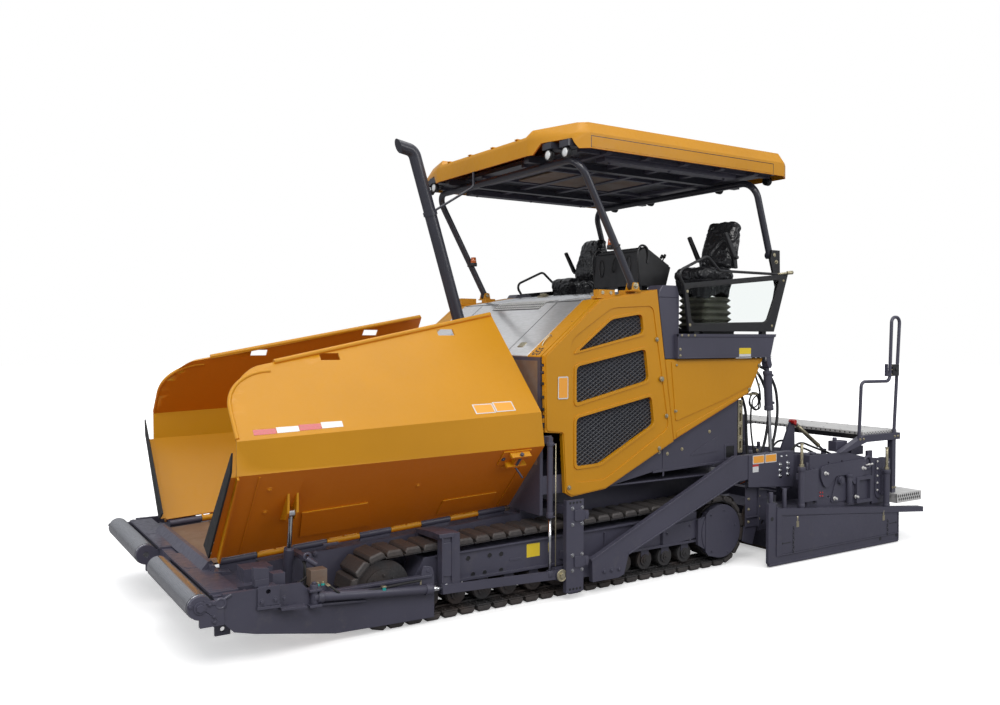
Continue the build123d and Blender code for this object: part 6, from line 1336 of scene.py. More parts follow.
# outlines of one shoe: along the track and out of it, from the shoe's outer face
PAD_PROFILE = [(-0.061, -0.046), (0.061, -0.046), (0.064, -0.024), (0.052, -0.006), (0.044, -0.0006),
               (-0.044, -0.0006), (-0.052, -0.006), (-0.064, -0.024)]
SHOE_PROFILE = rect(-0.071, -0.058, 0.071, -0.047)
LINK_PROFILE = [(-0.084, -0.06), (0.062, -0.06), (0.084, -0.068), (0.084, -0.0755), (-0.062, -0.0755),
                (-0.084, -0.07)]
for side, hand in both():
    w = Work(side, hand)
    for y, z, turn in track_places(SHOES):
        along = Vector((0, math.cos(turn), math.sin(turn)))
        out = Vector((0, -math.sin(turn), math.cos(turn)))
        base = Vector((0, y, z))

        def spot(x, u, v):
            return Vector((side * x, 0, 0)) + base + along * u + out * v

        # pad with chamfered ends
        stations = ((TRACK_X[0], 0.72), (TRACK_X[0] + 0.012, 1.0), (TRACK_X[1] - 0.012, 1.0),
                    (TRACK_X[1], 0.72))
        rings = [[w.bm.verts.new(spot(x, u * (0.94 + 0.06 * k), -0.046 + (v + 0.046) * k)) for u,
                  v in PAD_PROFILE]
                 for x, k in stations]
        loft(w.bm, rings)
        # shoe plate under the pad
        ends = [[w.bm.verts.new(spot(x, u, v)) for u, v in SHOE_PROFILE]
                for x in (TRACK_X[0] + 0.006, TRACK_X[1] - 0.006)]
        slab(w.bm, *ends, 1)
        # chain links, bushing and the nuts inside the plate
        for x in (1.008, 1.082):
            ends = [[w.bm.verts.new(spot(x + d, u, v)) for u, v in LINK_PROFILE] for d in (0.0, 0.018)]
            slab(w.bm, *ends, 1)
        add_rod(w.bm, spot(1.0, 0.074, -0.066), spot(1.108, 0.074, -0.066), 0.0095, 10, 1)
        for x in (0.935, 0.972, 1.136, 1.173):
            for u in (-0.034, 0.034):
                add_rod(w.bm, spot(x, u, -0.057), spot(x, u, -0.067), 0.01, 6, 1)
    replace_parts(w.done("track_shoes", ("pad", "track"), edge=0.0025, segments=1), "track_" + hand)
    # hub caps on the road rollers and the idler
    w = Work(side, hand)
    for i in range(12):
        y = -1.99 + i * (0.669 + 1.99) / 11
        for x0, x1, r in ((1.1365, 1.15, 0.084), (1.149, 1.164, 0.05), (1.163, 1.172, 0.03)):
            w.pin(x0, x1, y, 0.165, r, 24)
        w.bolt((1.172, y, 0.165), 0.02, 0.007)
    w.pin(1.15, 1.163, *IDLER, 0.15, 36)
    w.pin(1.16, 1.178, *IDLER, 0.06, 28)
    for a in turns(8):
        w.bolt((1.163, *orbit(IDLER, 0.105, a)), 0.018, 0.01)
    w.done("roller_hubs", "track", edge=0.003)
    # track frame: round openings, slot, blank label, lower flange and guard lip over the rollers
    w = Work(side, hand)
    # painted shade: the round openings are black discs inside a rim ring
    for y, z in ((-1.654, 0.426), (-1.457, 0.424), (-1.348, 0.42), (-1.348, 0.293), (-1.503, 0.294),
                 (-1.61, 0.295),
                 (-1.76, 0.3), (-1.75, 0.425)):
        w.pin(1.169, 1.1712, y, z, 0.02, 20, 1)
        w.ring((1.1712, y, z), 0.021, 0.0025, 0, 22, 5)
    w.panel(-1.27, 0.352, -1.155, 0.372, 1.1702, 1.1745, 0.009)
    w.panel(-2.0, 0.262, 0.8, 0.282, 1.17, 1.198)
    w.plate([(-1.95, 0.476), (0.7, 0.512), (0.7, 0.526), (-1.95, 0.49)], 1.17, 1.19)
    for y in (-0.62, -0.3, 0.05, 0.36):
        w.panel(y, 0.283, y + 0.014, 0.47, 1.1702, 1.186)
    w.done("track_frame_trim", ("slate", "black"), edge=0.002)
    w = Work(side, hand)
    w.panel(-1.102, 0.358, -0.973, 0.466, 1.1703, 1.1716, 0.005)
    w.done("track_label", "sticker_yellow", slot="frame_paint")
    # final drive: smooth cover plate with a folded front edge, level plug and a few bolts
    w = Work(side, hand)
    arc = [(SPROCKET[0] + 0.2465 * math.sin(math.radians(a)), 0.334 + 0.2465 * math.cos(math.radians(a)))
           for a in range(-12, 201, 12)]
    outline = arc + [(0.9, 0.122), (0.862, 0.165), (0.862, 0.5), (0.905, 0.545)]
    w.plate(outline, 1.227, 1.236)
    w.plate([(0.775, 0.235), (0.87, 0.18), (0.87, 0.49), (0.775, 0.47)], 1.1925, 1.224)
    w.bolts(1.236, ((1.098, 0.53), (1.24, 0.38), (1.15, 0.13), (0.94, 0.16), (0.93, 0.5)), 0.016, 0.008)
    w.pin(1.236, 1.2385, 1.069, 0.331, 0.013, 18)
    w.bolts(1.1925, ((0.7, 0.42), (0.7, 0.29), (0.42, 0.38)), 0.018, 0.009)
    w.done("drive_fittings", "slate", edge=0.006)

# ------------------------------------------------------------------ push rollers, bumper and guards
ROLLER = (-3.76, 0.445)      # axis of both push rollers in YZ
for side, hand in both():
    body = "push_roller_" + hand
    w = Work(side, hand)
    for x, way in ((0.232, -1), (1.388, 1)):
        w.ring((x, *ROLLER), 0.071, 0.004, 0, 40, 6)
        for a in turns(6):
            w.pin(x - way * 0.001, x + way * 0.0022, *orbit(ROLLER, 0.048, a), 0.006, 12)
    w.done("roller_rims", "roller", body)
    w = Work(side, hand)
    # end bracket: hexagonal nut, keeper plate and two cap screws
    w.pin(1.4255, 1.434, *ROLLER, 0.04, 32)
    w.pin(1.432, 1.447, *ROLLER, 0.026, 6)
    w.plate([(-3.735, 0.492), (-3.66, 0.47), (-3.66, 0.45), (-3.735, 0.47)], 1.4255, 1.433, 0.006)
    w.bolts(1.426, ((-3.82, 0.462), (-3.7, 0.46), (-3.672, 0.38), (-3.672, 0.345)), 0.018, 0.01)
    # ring eye beside the bracket
    w.ring((1.418, -3.63, 0.452), 0.03, 0.011, 0, 28, 10)
    w.rod((1.418, -3.612, 0.474), (1.412, -3.56, 0.498), 0.01, 12)
    w.done("roller_bracket_caps", "slate", edge=0.002)
    # tread plates on the beam with screws
    w = Work(side, hand)
    w.box((0.15, -3.67, 0.504), (0.64, -3.515, 0.508))
    w.box((0.66, -3.67, 0.504), (1.3, -3.515, 0.508))
    for x in (0.18, 0.61, 0.7, 1.26):
        w.post(x, -3.655, 0.507, 0.511, 0.009, 12)
    w.done("bumper_treads", "slate", edge=0.0015)
    # bracket with a hole, its upright and the box behind it
    w = Work(side, hand)
    hole = [orbit((-3.321, 0.482), 0.016, a) for a in turns(18)]
    w.frame([(-3.392, 0.392), (-3.246, 0.388), (-3.246, 0.518), (-3.392, 0.514)], [hole], 1.411, 1.423)
    w.box((1.33, -3.38, 0.505), (1.41, -3.262, 0.516))
    w.box((1.33, -3.4, 0.514), (1.39, -3.305, 0.56))
    w.plate([(-3.404, 0.556), (-3.304, 0.556), (-3.304, 0.624), (-3.404, 0.638)], 1.33, 1.382, 0.004)
    w.box((1.215, -3.252, 0.38), (1.3, -3.165, 0.56))
    w.bolts(1.423, ((-3.365, 0.422), (-3.275, 0.425)), 0.022, 0.011)
    w.bolt((1.412, -3.212, 0.42), 0.018, 0.01)
    w.plate([(-3.395, 0.372), (-3.24, 0.366), (-3.24, 0.386), (-3.395, 0.392)], 1.411, 1.43)
    w.plate([(-3.235, 0.34), (-3.055, 0.33), (-3.055, 0.346), (-3.235, 0.356)], 1.36, 1.424)
    w.done("guard_brackets", "slate", edge=0.004)
    # swing cylinder along the guard: clevis, pin, barrel, collars and guide tube
    w = Work(side, hand)
    w.box((1.268, -3.01, 0.3), (1.352, -2.92, 0.318))
    w.box((1.268, -3.01, 0.408), (1.352, -2.92, 0.424))
    w.post(1.31, -2.965, 0.29, 0.452, 0.028, 24)
    w.post(1.31, -2.965, 0.45, 0.468, 0.018, 6)
    w.rod((1.309, -2.975, 0.364), (1.276, -2.07, 0.272), 0.034, 28)
    w.rod((1.31, -2.945, 0.362), (1.308, -2.9, 0.357), 0.043, 28)
    w.rod((1.277, -2.09, 0.274), (1.273, -2.03, 0.268), 0.042, 28)
    w.rod((1.288, -2.96, 0.3), (1.268, -2.56, 0.264), 0.012, 14)
    w.done("swing_cylinder", "slate", edge=0.003)
    w = Work(side, hand)
    w.rod((1.273, -2.03, 0.268), (1.268, -1.93, 0.256), 0.018)
    w.ring((1.268, -1.902, 0.252), 0.026, 0.013, 0, 28, 10)
    w.done("swing_rod", "chrome")
    # lug on the rear end of the guard
    w = Work(side, hand)
    w.plate([(-2.11, 0.366), (-1.995, 0.366), (-2.015, 0.43), (-2.09, 0.444)], 1.236, 1.252, 0.018)
    w.pin(1.235, 1.256, -2.052, 0.405, 0.015)
    w.panel(-2.9, 0.352, -2.02, 0.372, 1.215, 1.262)
    w.done("guard_lug", "slate", edge=0.003)
    # valve block with teal plugs, and hoses to the cylinders
    w = Work(side, hand)
    w.box((1.16, -2.965, 0.415), (1.25, -2.845, 0.53))
    w.box((1.1, -2.94, 0.3), (1.16, -2.87, 0.415))
    for y in (-2.95, -2.915, -2.88):
        w.post(1.252, y, 0.408, 0.432, 0.013, 12, 1)
        w.post(1.252, y, 0.432, 0.446, 0.01, 6, 2)
    for x, y in ((1.255, -2.862), (1.255, -2.848)):
        w.rod((x, y, 0.425), (x + 0.035, y + 0.01, 0.415), 0.007, 10, 2)
    w.box((1.29, -2.452, 0.318), (1.318, -2.425, 0.352), 1)
    w.box((1.288, -2.455, 0.35), (1.32, -2.422, 0.36), 2)
    w.post(1.285, -2.13, 0.318, 0.352, 0.008, 8, 2)
    w.done("valve_block", ("worn", "teal", "zinc"), edge=0.002)
    hoses = [[(1.29, -2.838, 0.412), (1.33, -2.815, 0.395), (1.318, -2.78, 0.355), (1.31, -2.7, 0.35),
              (1.306, -2.56, 0.344), (1.304, -2.44, 0.345), (1.298, -2.3, 0.35), (1.288, -2.13, 0.35)],
             [(1.15, -2.952, 0.345), (1.13, -2.951, 0.42), (1.12, -2.953, 0.5), (1.095, -2.951, 0.545),
              (1.06, -2.953, 0.556)],
             [(1.13, -2.952, 0.32), (1.092, -2.948, 0.38), (1.078, -2.951, 0.45), (1.086, -2.95, 0.52),
              (1.098, -2.948, 0.56)],
             [(1.215, -3.17, 0.4), (1.2, -3.11, 0.35), (1.19, -3.04, 0.33), (1.16, -2.95, 0.335)],
             [(1.215, -3.165, 0.45), (1.19, -3.09, 0.43), (1.18, -3.02, 0.44), (1.165, -2.966, 0.47)]]
    for i, route in enumerate(hoses):
        hose("guard_hose_%d_%s" % (i, hand), side, route, 0.0085)
    # fittings on the front beam, as seen under the wing
    w = Work(side, hand)
    w.box((0.7, -3.525, 0.4), (0.86, -3.47, 0.512))
    w.box((0.715, -3.53, 0.4), (0.8, -3.498, 0.545))
    w.plate([(-3.47, 0.4), (-3.4, 0.4), (-3.4, 0.5), (-3.47, 0.512)], 0.735, 0.86)
    w.rod((1.135, -2.88, 0.535), (1.11, -2.945, 0.585), 0.02)
    w.ring((1.105, -2.938, 0.596), 0.022, 0.011, 0, 24, 8)
    w.box((0.85, -2.966, 0.565), (1.1, -2.92, 0.6))
    for y, z in ((-2.782, 0.545), (-2.932, 0.548)):
        w.pin(0.848, 0.868, y, z, 0.02)
        w.pin(0.866, 0.874, y, z, 0.012, 6)
    w.box((0.848, -2.723, 0.592), (0.868, -2.603, 0.612))
    w.done("beam_fittings", "slate", edge=0.003)

# ------------------------------------------------------------------ tow point gear and arms
TOW_PIN = (-0.857, 0.212)    # YZ
LEVEL = (1.293, -0.96)       # upright axis of the levelling cylinder in XY
SCALE = (1.33, -0.93)        # and of its scale rod
for side, hand in both():
    # anchor post: cap, face plate and folded flanges
    w = Work(side, hand)
    w.plate([(-1.972, 0.64), (-1.848, 0.64), (-1.842, 0.672), (-1.978, 0.672)], 1.17, 1.292)
    w.plate([(-1.945, 0.35), (-1.86, 0.34), (-1.86, 0.6), (-1.945, 0.6)], 1.274, 1.284, 0.02)
    for y in (-1.952, -1.866):
        w.panel(y, 0.3, y + 0.012, 0.64, 1.272, 1.292)
    w.done("anchor_trim", "slate", edge=0.003)
    # tow pin: washer with its rim, and the nut
    w = Work(side, hand)
    w.pin(1.319, 1.323, *TOW_PIN, 0.05, 36)
    w.ring((1.323, *TOW_PIN), 0.045, 0.005, 0, 36, 8)
    w.pin(1.322, 1.336, *TOW_PIN, 0.024, 6)
    w.done("tow_pin_washer", "zinc", edge=0.001)
    # levelling cylinder: polished rod, collars, top plate, scale rod and its two arms
    w = Work(side, hand)
    w.post(*LEVEL, 0.24, 0.702, 0.0128)
    w.done("level_rod", "chrome")
    w = Work(side, hand)
    w.post(*LEVEL, 0.69, 0.735, 0.03, 24)
    w.post(*LEVEL, 1.27, 1.3, 0.03, 24)
    w.post(*LEVEL, 0.215, 0.26, 0.027, 24)
    w.panel(-0.995, 1.29, -0.925, 1.35, 1.262, 1.268)
    for z in (0.7, 1.285):
        w.rod((*LEVEL, z), (*SCALE, z), 0.006, 10)
    w.done("level_fittings", "slate", edge=0.002)
    w = Work(side, hand)
    w.post(*SCALE, 0.3, 1.29, 0.0042, 10)
    w.done("level_scale", "zinc")
    # guide post: bolt heads, wear strips, cover plate and the two lugs
    w = Work(side, hand)
    for z in (0.085, 0.765):
        for i in range(4):
            w.bolt((1.3225, -0.765 + 0.02 * i, z), 0.01, 0.006)
    for y in (-0.778, -0.702):
        w.panel(y, 0.12, y + 0.012, 0.73, 1.3215, 1.327)
    w.panel(-0.822, 0.062, -0.646, 0.82, 1.3265, 1.3345)
    w.panel(-0.822, 0.062, -0.812, 0.82, 1.29, 1.327)
    for z in (0.69, 0.31):
        w.plate([(-0.745, z - 0.045), (-0.665, z - 0.045), (-0.6, z - 0.02), (-0.6, z + 0.02),
                (-0.665, z + 0.045), (-0.745, z + 0.045)], 1.334, 1.348, 0.015)
        w.post(1.34, -0.625, z - 0.035, z + 0.035, 0.02)
    w.done("guide_plate", "slate", edge=0.003)
    w = Work(side, hand)
    for z in (0.75, 0.617, 0.365, 0.238):
        for y in (-0.76, -0.662):
            w.bolt((1.3345, y, z), 0.018, 0.01)
    w.done("guide_bolts", "roller", edge=0.001, slot="zinc")
    w = Work(side, hand)
    for z in (0.795, 0.088):
        for k in range(4):
            w.pin(1.334, 1.3352, -0.785 + 0.035 * k, z, 0.011, 18)
    w.done("guide_trim", "black", edge=0.0015, slot="frame_paint")

    # arm: weld flanges and bolts, rear plate, blank labels
    w = Work(side, hand)
    w.plate([(-0.56, 0.286), (1.15, 1.026), (1.14, 1.04), (-0.56, 0.302)], 1.324, 1.332)
    w.plate([(-0.15, 0.292), (1.194, 0.8), (1.2, 0.814), (-0.15, 0.306)], 1.324, 1.332)
    for y in (-0.42, -0.34, -0.26):
        w.bolt((1.325, y, 0.185), 0.024, 0.012)
    w.done("arm_flanges", "slate", "screed", edge=0.003)
    w = Work(side, hand)
    w.plate([(1.32, 0.735), (1.955, 0.69), (1.955, 1.038), (1.32, 1.038)], 1.3245, 1.3345)
    w.done("arm_rear_plate", "slate", "screed", edge=0.004)
    w = Work(side, hand)
    w.bolts(1.3345, ((1.76, 0.915), (1.76, 0.862), (1.76, 0.81), (1.87, 0.925), (1.87, 0.872),
            (1.87, 0.818)), 0.024, 0.013)
    w.bolts(1.3345, ((1.775, 0.995), (1.85, 0.998)), 0.012, 0.007)
    w.done("arm_bolts", "chrome", "screed", edge=0.001, slot="zinc")
    w = Work(side, hand)
    for y in (1.372, 1.545):
        w.panel(y, 0.95, y + 0.16, 1.032, 1.3346, 1.3358, 0.006)
        w.panel(y + 0.008, 0.958, y + 0.152, 1.024, 1.3357, 1.3364, 0.004, mat=1)
    w.panel(1.372, 0.925, 1.452, 0.946, 1.3346, 1.3358, mat=2)
    w.panel(1.372, 0.872, 1.452, 0.925, 1.3346, 1.3358)
    w.done("arm_labels", ("silver", "sticker", "red"), "screed", slot="frame_paint")


# ------------------------------------------------------------------ augers
AUGER = (1.64, 0.352)        # axis of both augers in YZ
for side, hand in both():
    body = "auger_" + hand
    w = Work(side, hand)
    w.pin(0.074, 1.196, *AUGER, 0.042, 28)
    # helical flight, thicker at its root, with bolts along it
    coils, steps = 3.6, 130
    x0, x1 = 0.105, 1.165
    rows = []
    for i in range(steps + 1):
        s = i / steps
        a = 2 * math.pi * coils * s
        x = x0 + (x1 - x0) * s
        row = []
        for r, half in ((0.038, 0.006), (0.11, 0.0055), (0.186, 0.004)):
            for d in (-half, half):
                row.append(w.bm.verts.new((side * (x + d), AUGER[0] + r * math.cos(a),
                                           AUGER[1] + side * r * math.sin(a))))
        rows.append(row)
    for a, b in zip(rows, rows[1:]):
        for k in (0, 2):
            w.bm.faces.new((a[k], a[k + 2], b[k + 2], b[k])).smooth = True
            w.bm.faces.new((a[k + 1], b[k + 1], b[k + 3], a[k + 3])).smooth = True
        w.bm.faces.new((a[4], a[5], b[5], b[4]))
        w.bm.faces.new((a[0], b[0], b[1], a[1]))
    for row in (rows[0], rows[-1]):
        for k in (0, 2):
            w.bm.faces.new((row[k], row[k + 1], row[k + 3], row[k + 2]))
    bolts = 14
    for i in range(bolts):
        a = 2 * math.pi * coils * (i + 0.5) / bolts
        x = x0 + (x1 - x0) * (i + 0.5) / bolts
        p = Vector((side * x, AUGER[0] + 0.075 * math.cos(a), AUGER[1] + side * 0.075 * math.sin(a)))
        add_rod(w.bm, p - Vector((0.012, 0, 0)), p + Vector((0.012, 0, 0)), 0.01, 6)
    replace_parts(w.done("auger_screw", "track", body, edge=0.0015), "auger_" + hand)
    # tunnel side plate ahead of the screed with ribs and a folded rear flange
    w = Work(side, hand)
    w.plate([(1.385, 0.33), (1.56, 0.33), (1.56, 0.825), (1.385, 0.86)], 1.229, 1.237)
    w.plate([(1.548, 0.325), (1.562, 0.325), (1.562, 0.828), (1.548, 0.832)], 1.2, 1.256)
    for z in (0.42, 0.7):
        w.panel(1.39, z, 1.55, z + 0.012, 1.235, 1.254)
    w.plate([(1.36, 0.2), (1.5, 0.15), (1.56, 0.33), (1.385, 0.34)], 1.212, 1.226)
    w.done("tunnel_plate", "slate", edge=0.003)
    w = Work(side, hand)
    for z in (0.38, 0.5, 0.6, 0.76):
        w.bolt((1.237, 1.43, z), 0.016, 0.009)
        w.bolt((1.25, 1.5625, z + 0.02), 0.012, 0.007, axis=(0, 1, 0))
    for z in (1.075, 1.182, 1.315, 1.45, 1.53):
        w.bolt((1.195, 1.364, z), 0.014, 0.008)
    w.done("tunnel_bolts", "zinc", edge=0.001)

# ------------------------------------------------------------------ screed ends
LINK_PIN = (2.537, 0.715)    # YZ
JACK_X, JACK_TUBE = 1.49, 0.4
SCREW_R, THREADS = 0.0142, 22
JACKS = ((1.88, 0.5), (3.228, 0.37))    # (y, foot of the tube)
for side, hand in both():
    # carrier arm, link, square opening and capsule plate on the end frame
    w = Work(side, hand)
    w.plate([(2.235, 0.76), (2.235, 0.862), (2.3, 0.88), (2.87, 0.905), (2.95, 0.9), (2.955, 0.77),
            (2.775, 0.64), (2.675, 0.755), (2.48, 0.765), (2.34, 0.655), (2.29, 0.67)], 1.424, 1.44, 0.035)
    w.plate([(2.4, 0.5), (2.49, 0.75), (2.537, 0.775), (2.59, 0.75), (2.745, 0.5)], 1.419, 1.432, 0.03)
    w.frame(rounded(rect(2.79, 0.455, 3.05, 0.725), 0.012), [rounded(rect(2.83, 0.485, 3.01, 0.69), 0.01)],
            1.419, 1.452)
    w.plate([(3.12, 0.47), (3.33, 0.45), (3.36, 0.89), (3.13, 0.905)], 1.419, 1.43, 0.095, steps=8)
    w.plate([(3.16, 0.52), (3.3, 0.505), (3.32, 0.835), (3.17, 0.85)], 1.429, 1.438, 0.06, steps=8)
    w.ring((1.428, 2.99, 0.86), 0.06, 0.014, 0, 36, 10)
    w.pin(1.422, 1.462, *LINK_PIN, 0.04, 32)
    w.pin(1.462, 1.468, *LINK_PIN, 0.028, 28)
    w.post(1.45, 2.665, 0.475, 0.745, 0.03, 24)
    w.post(1.45, 2.665, 0.74, 0.765, 0.036, 24)
    w.box((1.405, 2.18, 0.56), (1.425, 2.33, 0.64))
    w.box((1.385, 3.015, 0.47), (1.412, 3.095, 0.975))
    for x, y, z in ((1.44, 2.16, 0.55), (1.44, 2.16, 0.7), (1.44, 2.16, 0.84)):
        w.post(x, y, z - 0.02, z + 0.02, 0.02, 18)
    w.done("screed_end_plates", "slate", "screed", edge=0.004)
    w = Work(side, hand)
    for y, z in ((2.304, 0.802), (2.902, 0.809), (2.447, 0.539), (2.79, 0.525)):
        w.pin(1.425, 1.472, y, z, 0.012, 16)
        w.bolt((1.441, y, z), 0.022, 0.012)
    for k in range(10):
        y, z = (3.145, 0.56 + 0.075 * k) if k < 5 else (3.325, 0.54 + 0.075 * (k - 5))
        w.bolt((1.4385, y, z), 0.012, 0.007)
    for y in (2.95, 3.0):
        w.rod((1.44, y, 0.835), (1.475, y + 0.02, 0.85), 0.009, 10)
    w.done("screed_end_pins", "board", "screed", edge=0.001, slot="zinc")
    w = Work(side, hand)
    w.pins(1.425, 1.431, ((2.24, 0.616), (2.275, 0.613), (2.24, 0.582), (2.275, 0.579)), 0.009, 12)
    w.done("screed_plugs", "red", "screed", edge=0.001, slot="frame_paint")
    # jack collars and posts
    w = Work(side, hand)
    for y, low in JACKS:
        top = low + JACK_TUBE
        w.post(JACK_X, y, top - 0.035, top + 0.006, 0.037, 28)
        w.post(JACK_X, y, low + 0.02, low + 0.05, 0.034, 28)
        w.box((1.44, y - 0.02, low + 0.28), (1.47, y + 0.02, low + 0.34))
    w.post(1.44, 2.021, 0.5, 0.85, 0.024, 22)
    w.post(1.44, 2.021, 0.845, 0.93, 0.014, 18)
    w.post(1.486, 1.45, 0.545, 0.7, 0.02)
    w.post(1.486, 1.64, 0.53, 0.72, 0.02)
    # gate: folded flange, runner, arched face and end strips
    w.panel(1.5, 0.092, 3.405, 0.104, 1.509, 1.5195)
    w.plate([(1.395, 0.012), (3.404, 0.012), (3.404, 0.03), (1.42, 0.03)], 1.486, 1.516)
    top = [(1.574 + 1.81 * k / 16,
            0.452 - 0.165 * k / 16 + 0.022 * math.sin(math.pi * k / 16)) for k in range(17)]
    w.plate([(1.574, 0.106), (3.384, 0.106)] + list(reversed(top)), 1.5095, 1.5165)
    w.plate([(3.395, 0.02), (3.409, 0.02), (3.409, 0.335), (3.395, 0.34)], 1.484, 1.518)
    w.plate([(1.388, 0.045), (1.4, 0.03), (1.4, 0.6), (1.388, 0.6)], 1.484, 1.518)
    w.plate([(1.5, 0.47), (1.515, 0.47), (1.52, 0.56), (1.505, 0.56)], 1.448, 1.5205)
    w.done("gate_jacks", "slate", "screed", edge=0.003)
    w = Work(side, hand)
    for y, low in JACKS:
        top = low + JACK_TUBE
        w.post(JACK_X, y, top, top + 0.64 - 0.4 - 0.002, SCREW_R)
        for i in range(THREADS):
            w.ring((JACK_X, y, top + 0.012 + 0.01 * i), SCREW_R, 0.0018, 0, 12, 4, axis=(0, 0, 1))
        w.post(JACK_X, y, top + 0.006, top + 0.03, 0.024, 6)
        w.post(JACK_X, y, top + 0.222, top + 0.238, 0.019, 6)
    # hooks that hold the chains under the bar
    for y, z in ((1.797, 0.385), (3.145, 0.3)):
        w.box((1.505, y - 0.018, z - 0.045), (1.519, y + 0.018, z + 0.01))
        w.post(1.512, y, z, z + 0.06, 0.009, 12)
    w.done("gate_screws", "zinc", "screed", edge=0.001)
    w = Work(side, hand)
    for y, z_top, count in ((1.735, 0.34, 11), (3.21, 0.245, 7)):
        for i in range(count):
            z = z_top - 0.0225 * i
            axis = (1, 0, 0) if i % 2 else (0.25, 1, 0)
            w.ring((1.5145, y + 0.004 * math.sin(i * 1.7), z), 0.0125, 0.0035, 0, 14, 6, axis=axis)
    for y, z in ((1.583, 0.208), (3.358, 0.213)):
        w.pin(1.51, 1.5185, y, z, 0.01, 12)
        w.rod((1.5165, y, z), (1.5165, y + 0.115 * (1 if y < 2 else -1), z), 0.0035, 8)
    w.pins(1.5085, 1.5112, ((3.099, 0.07), (3.375, 0.078), (1.442, 0.453)), 0.02)
    w.done("gate_chains", "iron", "screed", slot="frame_paint")
    # turnbuckle sleeve, end nuts and red clevis caps
    a, b = Vector((side * 1.01, 2.334, 1.28)), Vector((side * 1.01, 2.84, 0.945))
    d = (b - a).normalized()
    w = Work(side, hand)
    add_rod(w.bm, a + d * 0.09, b - d * 0.14, 0.021, 20)
    for s in (0.075, 0.47):
        add_rod(w.bm, a + d * s, a + d * (s + 0.025), 0.026, 6)
    w.done("turnbuckle", "zinc", "screed", edge=0.001)
    w = Work(side, hand)
    add_rod(w.bm, a - Vector((0.035, 0, 0)), a + Vector((0.035, 0, 0)), 0.024, 22)
    add_rod(w.bm, a - d * 0.01, a + d * 0.05, 0.019, 16)
    w.done("turnbuckle_caps", "red", "screed", edge=0.001, slot="zinc")

# ------------------------------------------------------------------ on the screed
w = Work()
# heater covers with grips, then posts, boxes and tubes on each side
for x0, x1 in ((-1.35, -1.04), (-0.96, -0.38), (-0.3, 0.3), (0.38, 0.96), (1.04, 1.35)):
    prism(w.bm, rounded(rect(x0, 2.42, x1, 2.9), 0.02), 0.468, 0.505, plane="XY")
    w.box((x0 + 0.04, 2.47, 0.503), (x1 - 0.04, 2.5, 0.53))
    w.box((x0 + 0.04, 2.8, 0.503), (x1 - 0.04, 2.83, 0.53))
for s in (1, -1):
    for y, z in ((2.14, 0.5), (2.235, 0.5)):
        w.post(s * 1.33, y, z, z + 0.48, 0.034, 24)
        w.post(s * 1.33, y, z + 0.475, z + 0.505, 0.04, 24)
    w.box((s * 1.24, 2.6, 0.985), (s * 1.34, 2.78, 1.09))
    w.post(s * 1.29, 2.64, 1.088, 1.125, 0.022, 18)
    w.box((s * 1.15, 2.86, 0.93), (s * 1.33, 3.06, 1.02))
    for x in (0.55, 0.75):
        w.post(s * x, 2.12, 0.64, 1.0, 0.045, 24)
        w.post(s * x, 2.12, 0.995, 1.06, 0.018, 16)
w.done("screed_equipment", "slate", "screed", edge=0.005)
w = Work()
for s in (1, -1):
    prism(w.bm, rounded(rect(s * 0.4, 2.96, s * 1.35, 3.52), 0.02), 1.09, 1.1395, plane="XY")
    w.box((s * 1.355, 2.985, 1.105), (s * 1.398, 3.5, 1.1395))
w.done("walkway_bearers", "black", "screed", edge=0.004, slot="frame_paint")
# planks: bright boards with seams, punched edges and rows of small holes; the holes are dark iron discs, a
# painted shade inside them
w = Work()
for i in range(4):
    y = 2.962 + i * 0.1455
    for x0, x1 in ((-1.393, -0.704), (-0.696, -0.004), (0.004, 0.696), (0.704, 1.393)):
        prism(w.bm, rounded(rect(x0, y, x1, y + 0.138), 0.004), 1.17, 1.1735,
              plane="XY", mat=0)
for i in range(12):
    for y in (3.0, 3.42):
        w.post(-1.33 + i * 0.242, y + 0.04 * (i % 2), 1.173, 1.1742, 0.011, 14, 1)
for i in range(46):
    x = -1.36 + i * 0.0604
    for y in (2.9588, 3.5412):
        w.rod((x, y - 0.0006, 1.155), (x, y + 0.0006, 1.155), 0.009, 6, 1)
w.done("walkway_boards", ("board", "iron"), "screed")
# step: seams on top, diamond punching along the rear face and both ends; the punched holes are dark diamonds, a
# painted shade inside them
w = Work()
for y0, y1 in ((3.4, 3.406), (3.832, 3.8395)):
    w.box((-1.4945, y0, 0.405), (1.4945, y1, 0.501))
for x0, x1 in ((-1.4945, -1.487), (1.487, 1.4945)):
    w.box((x0, 3.4, 0.405), (x1, 3.8395, 0.501))
for i in range(3):
    y = 3.404 + i * 0.146
    for x0, x1 in ((-1.493, -0.752), (-0.746, -0.003), (0.003, 0.746), (0.752, 1.493)):
        prism(w.bm, rounded(rect(x0, y, x1, y + 0.14), 0.004), 0.5, 0.503,
              plane="XY", mat=0)


# dark diamonds for punched holes: a painted shade inside the holes
def diamonds(w, count, place, half_u, half_v):
    for i in range(count):
        for row in (0, 1):
            c, u, v, n = place(i, row)
            ring = [c + u * half_u, c + v * half_v, c - u * half_u, c - v * half_v]
            slab(w.bm, *[[w.bm.verts.new(p + n * lift) for p in ring] for lift in (0.0009, -0.0006)], 1)


X, Y, Z = Vector((1, 0, 0)), Vector((0, 1, 0)), Vector((0, 0, 1))
diamonds(w, 82, lambda i, r: (Vector((-1.47 + 0.036 * i + 0.018 * r, 3.84, 0.476 - 0.036 * r)), X, Z, Y),
         0.012, 0.02)
for s in (1, -1):
    diamonds(w, 11, lambda i, r: (Vector((s * 1.495, 3.425 + 0.036 * i + 0.018 * r, 0.476 - 0.036 * r)),
                                  Y, Z, X * s), 0.012, 0.02)
    diamonds(w, 12, lambda i, r: (Vector((s * 1.395, 2.985 + 0.046 * i + 0.023 * r, 1.16 - 0.012 * r)),
                                  Y, Z, X * s), 0.012, 0.005)
w.done("step_boards", ("board", "iron"), "screed")
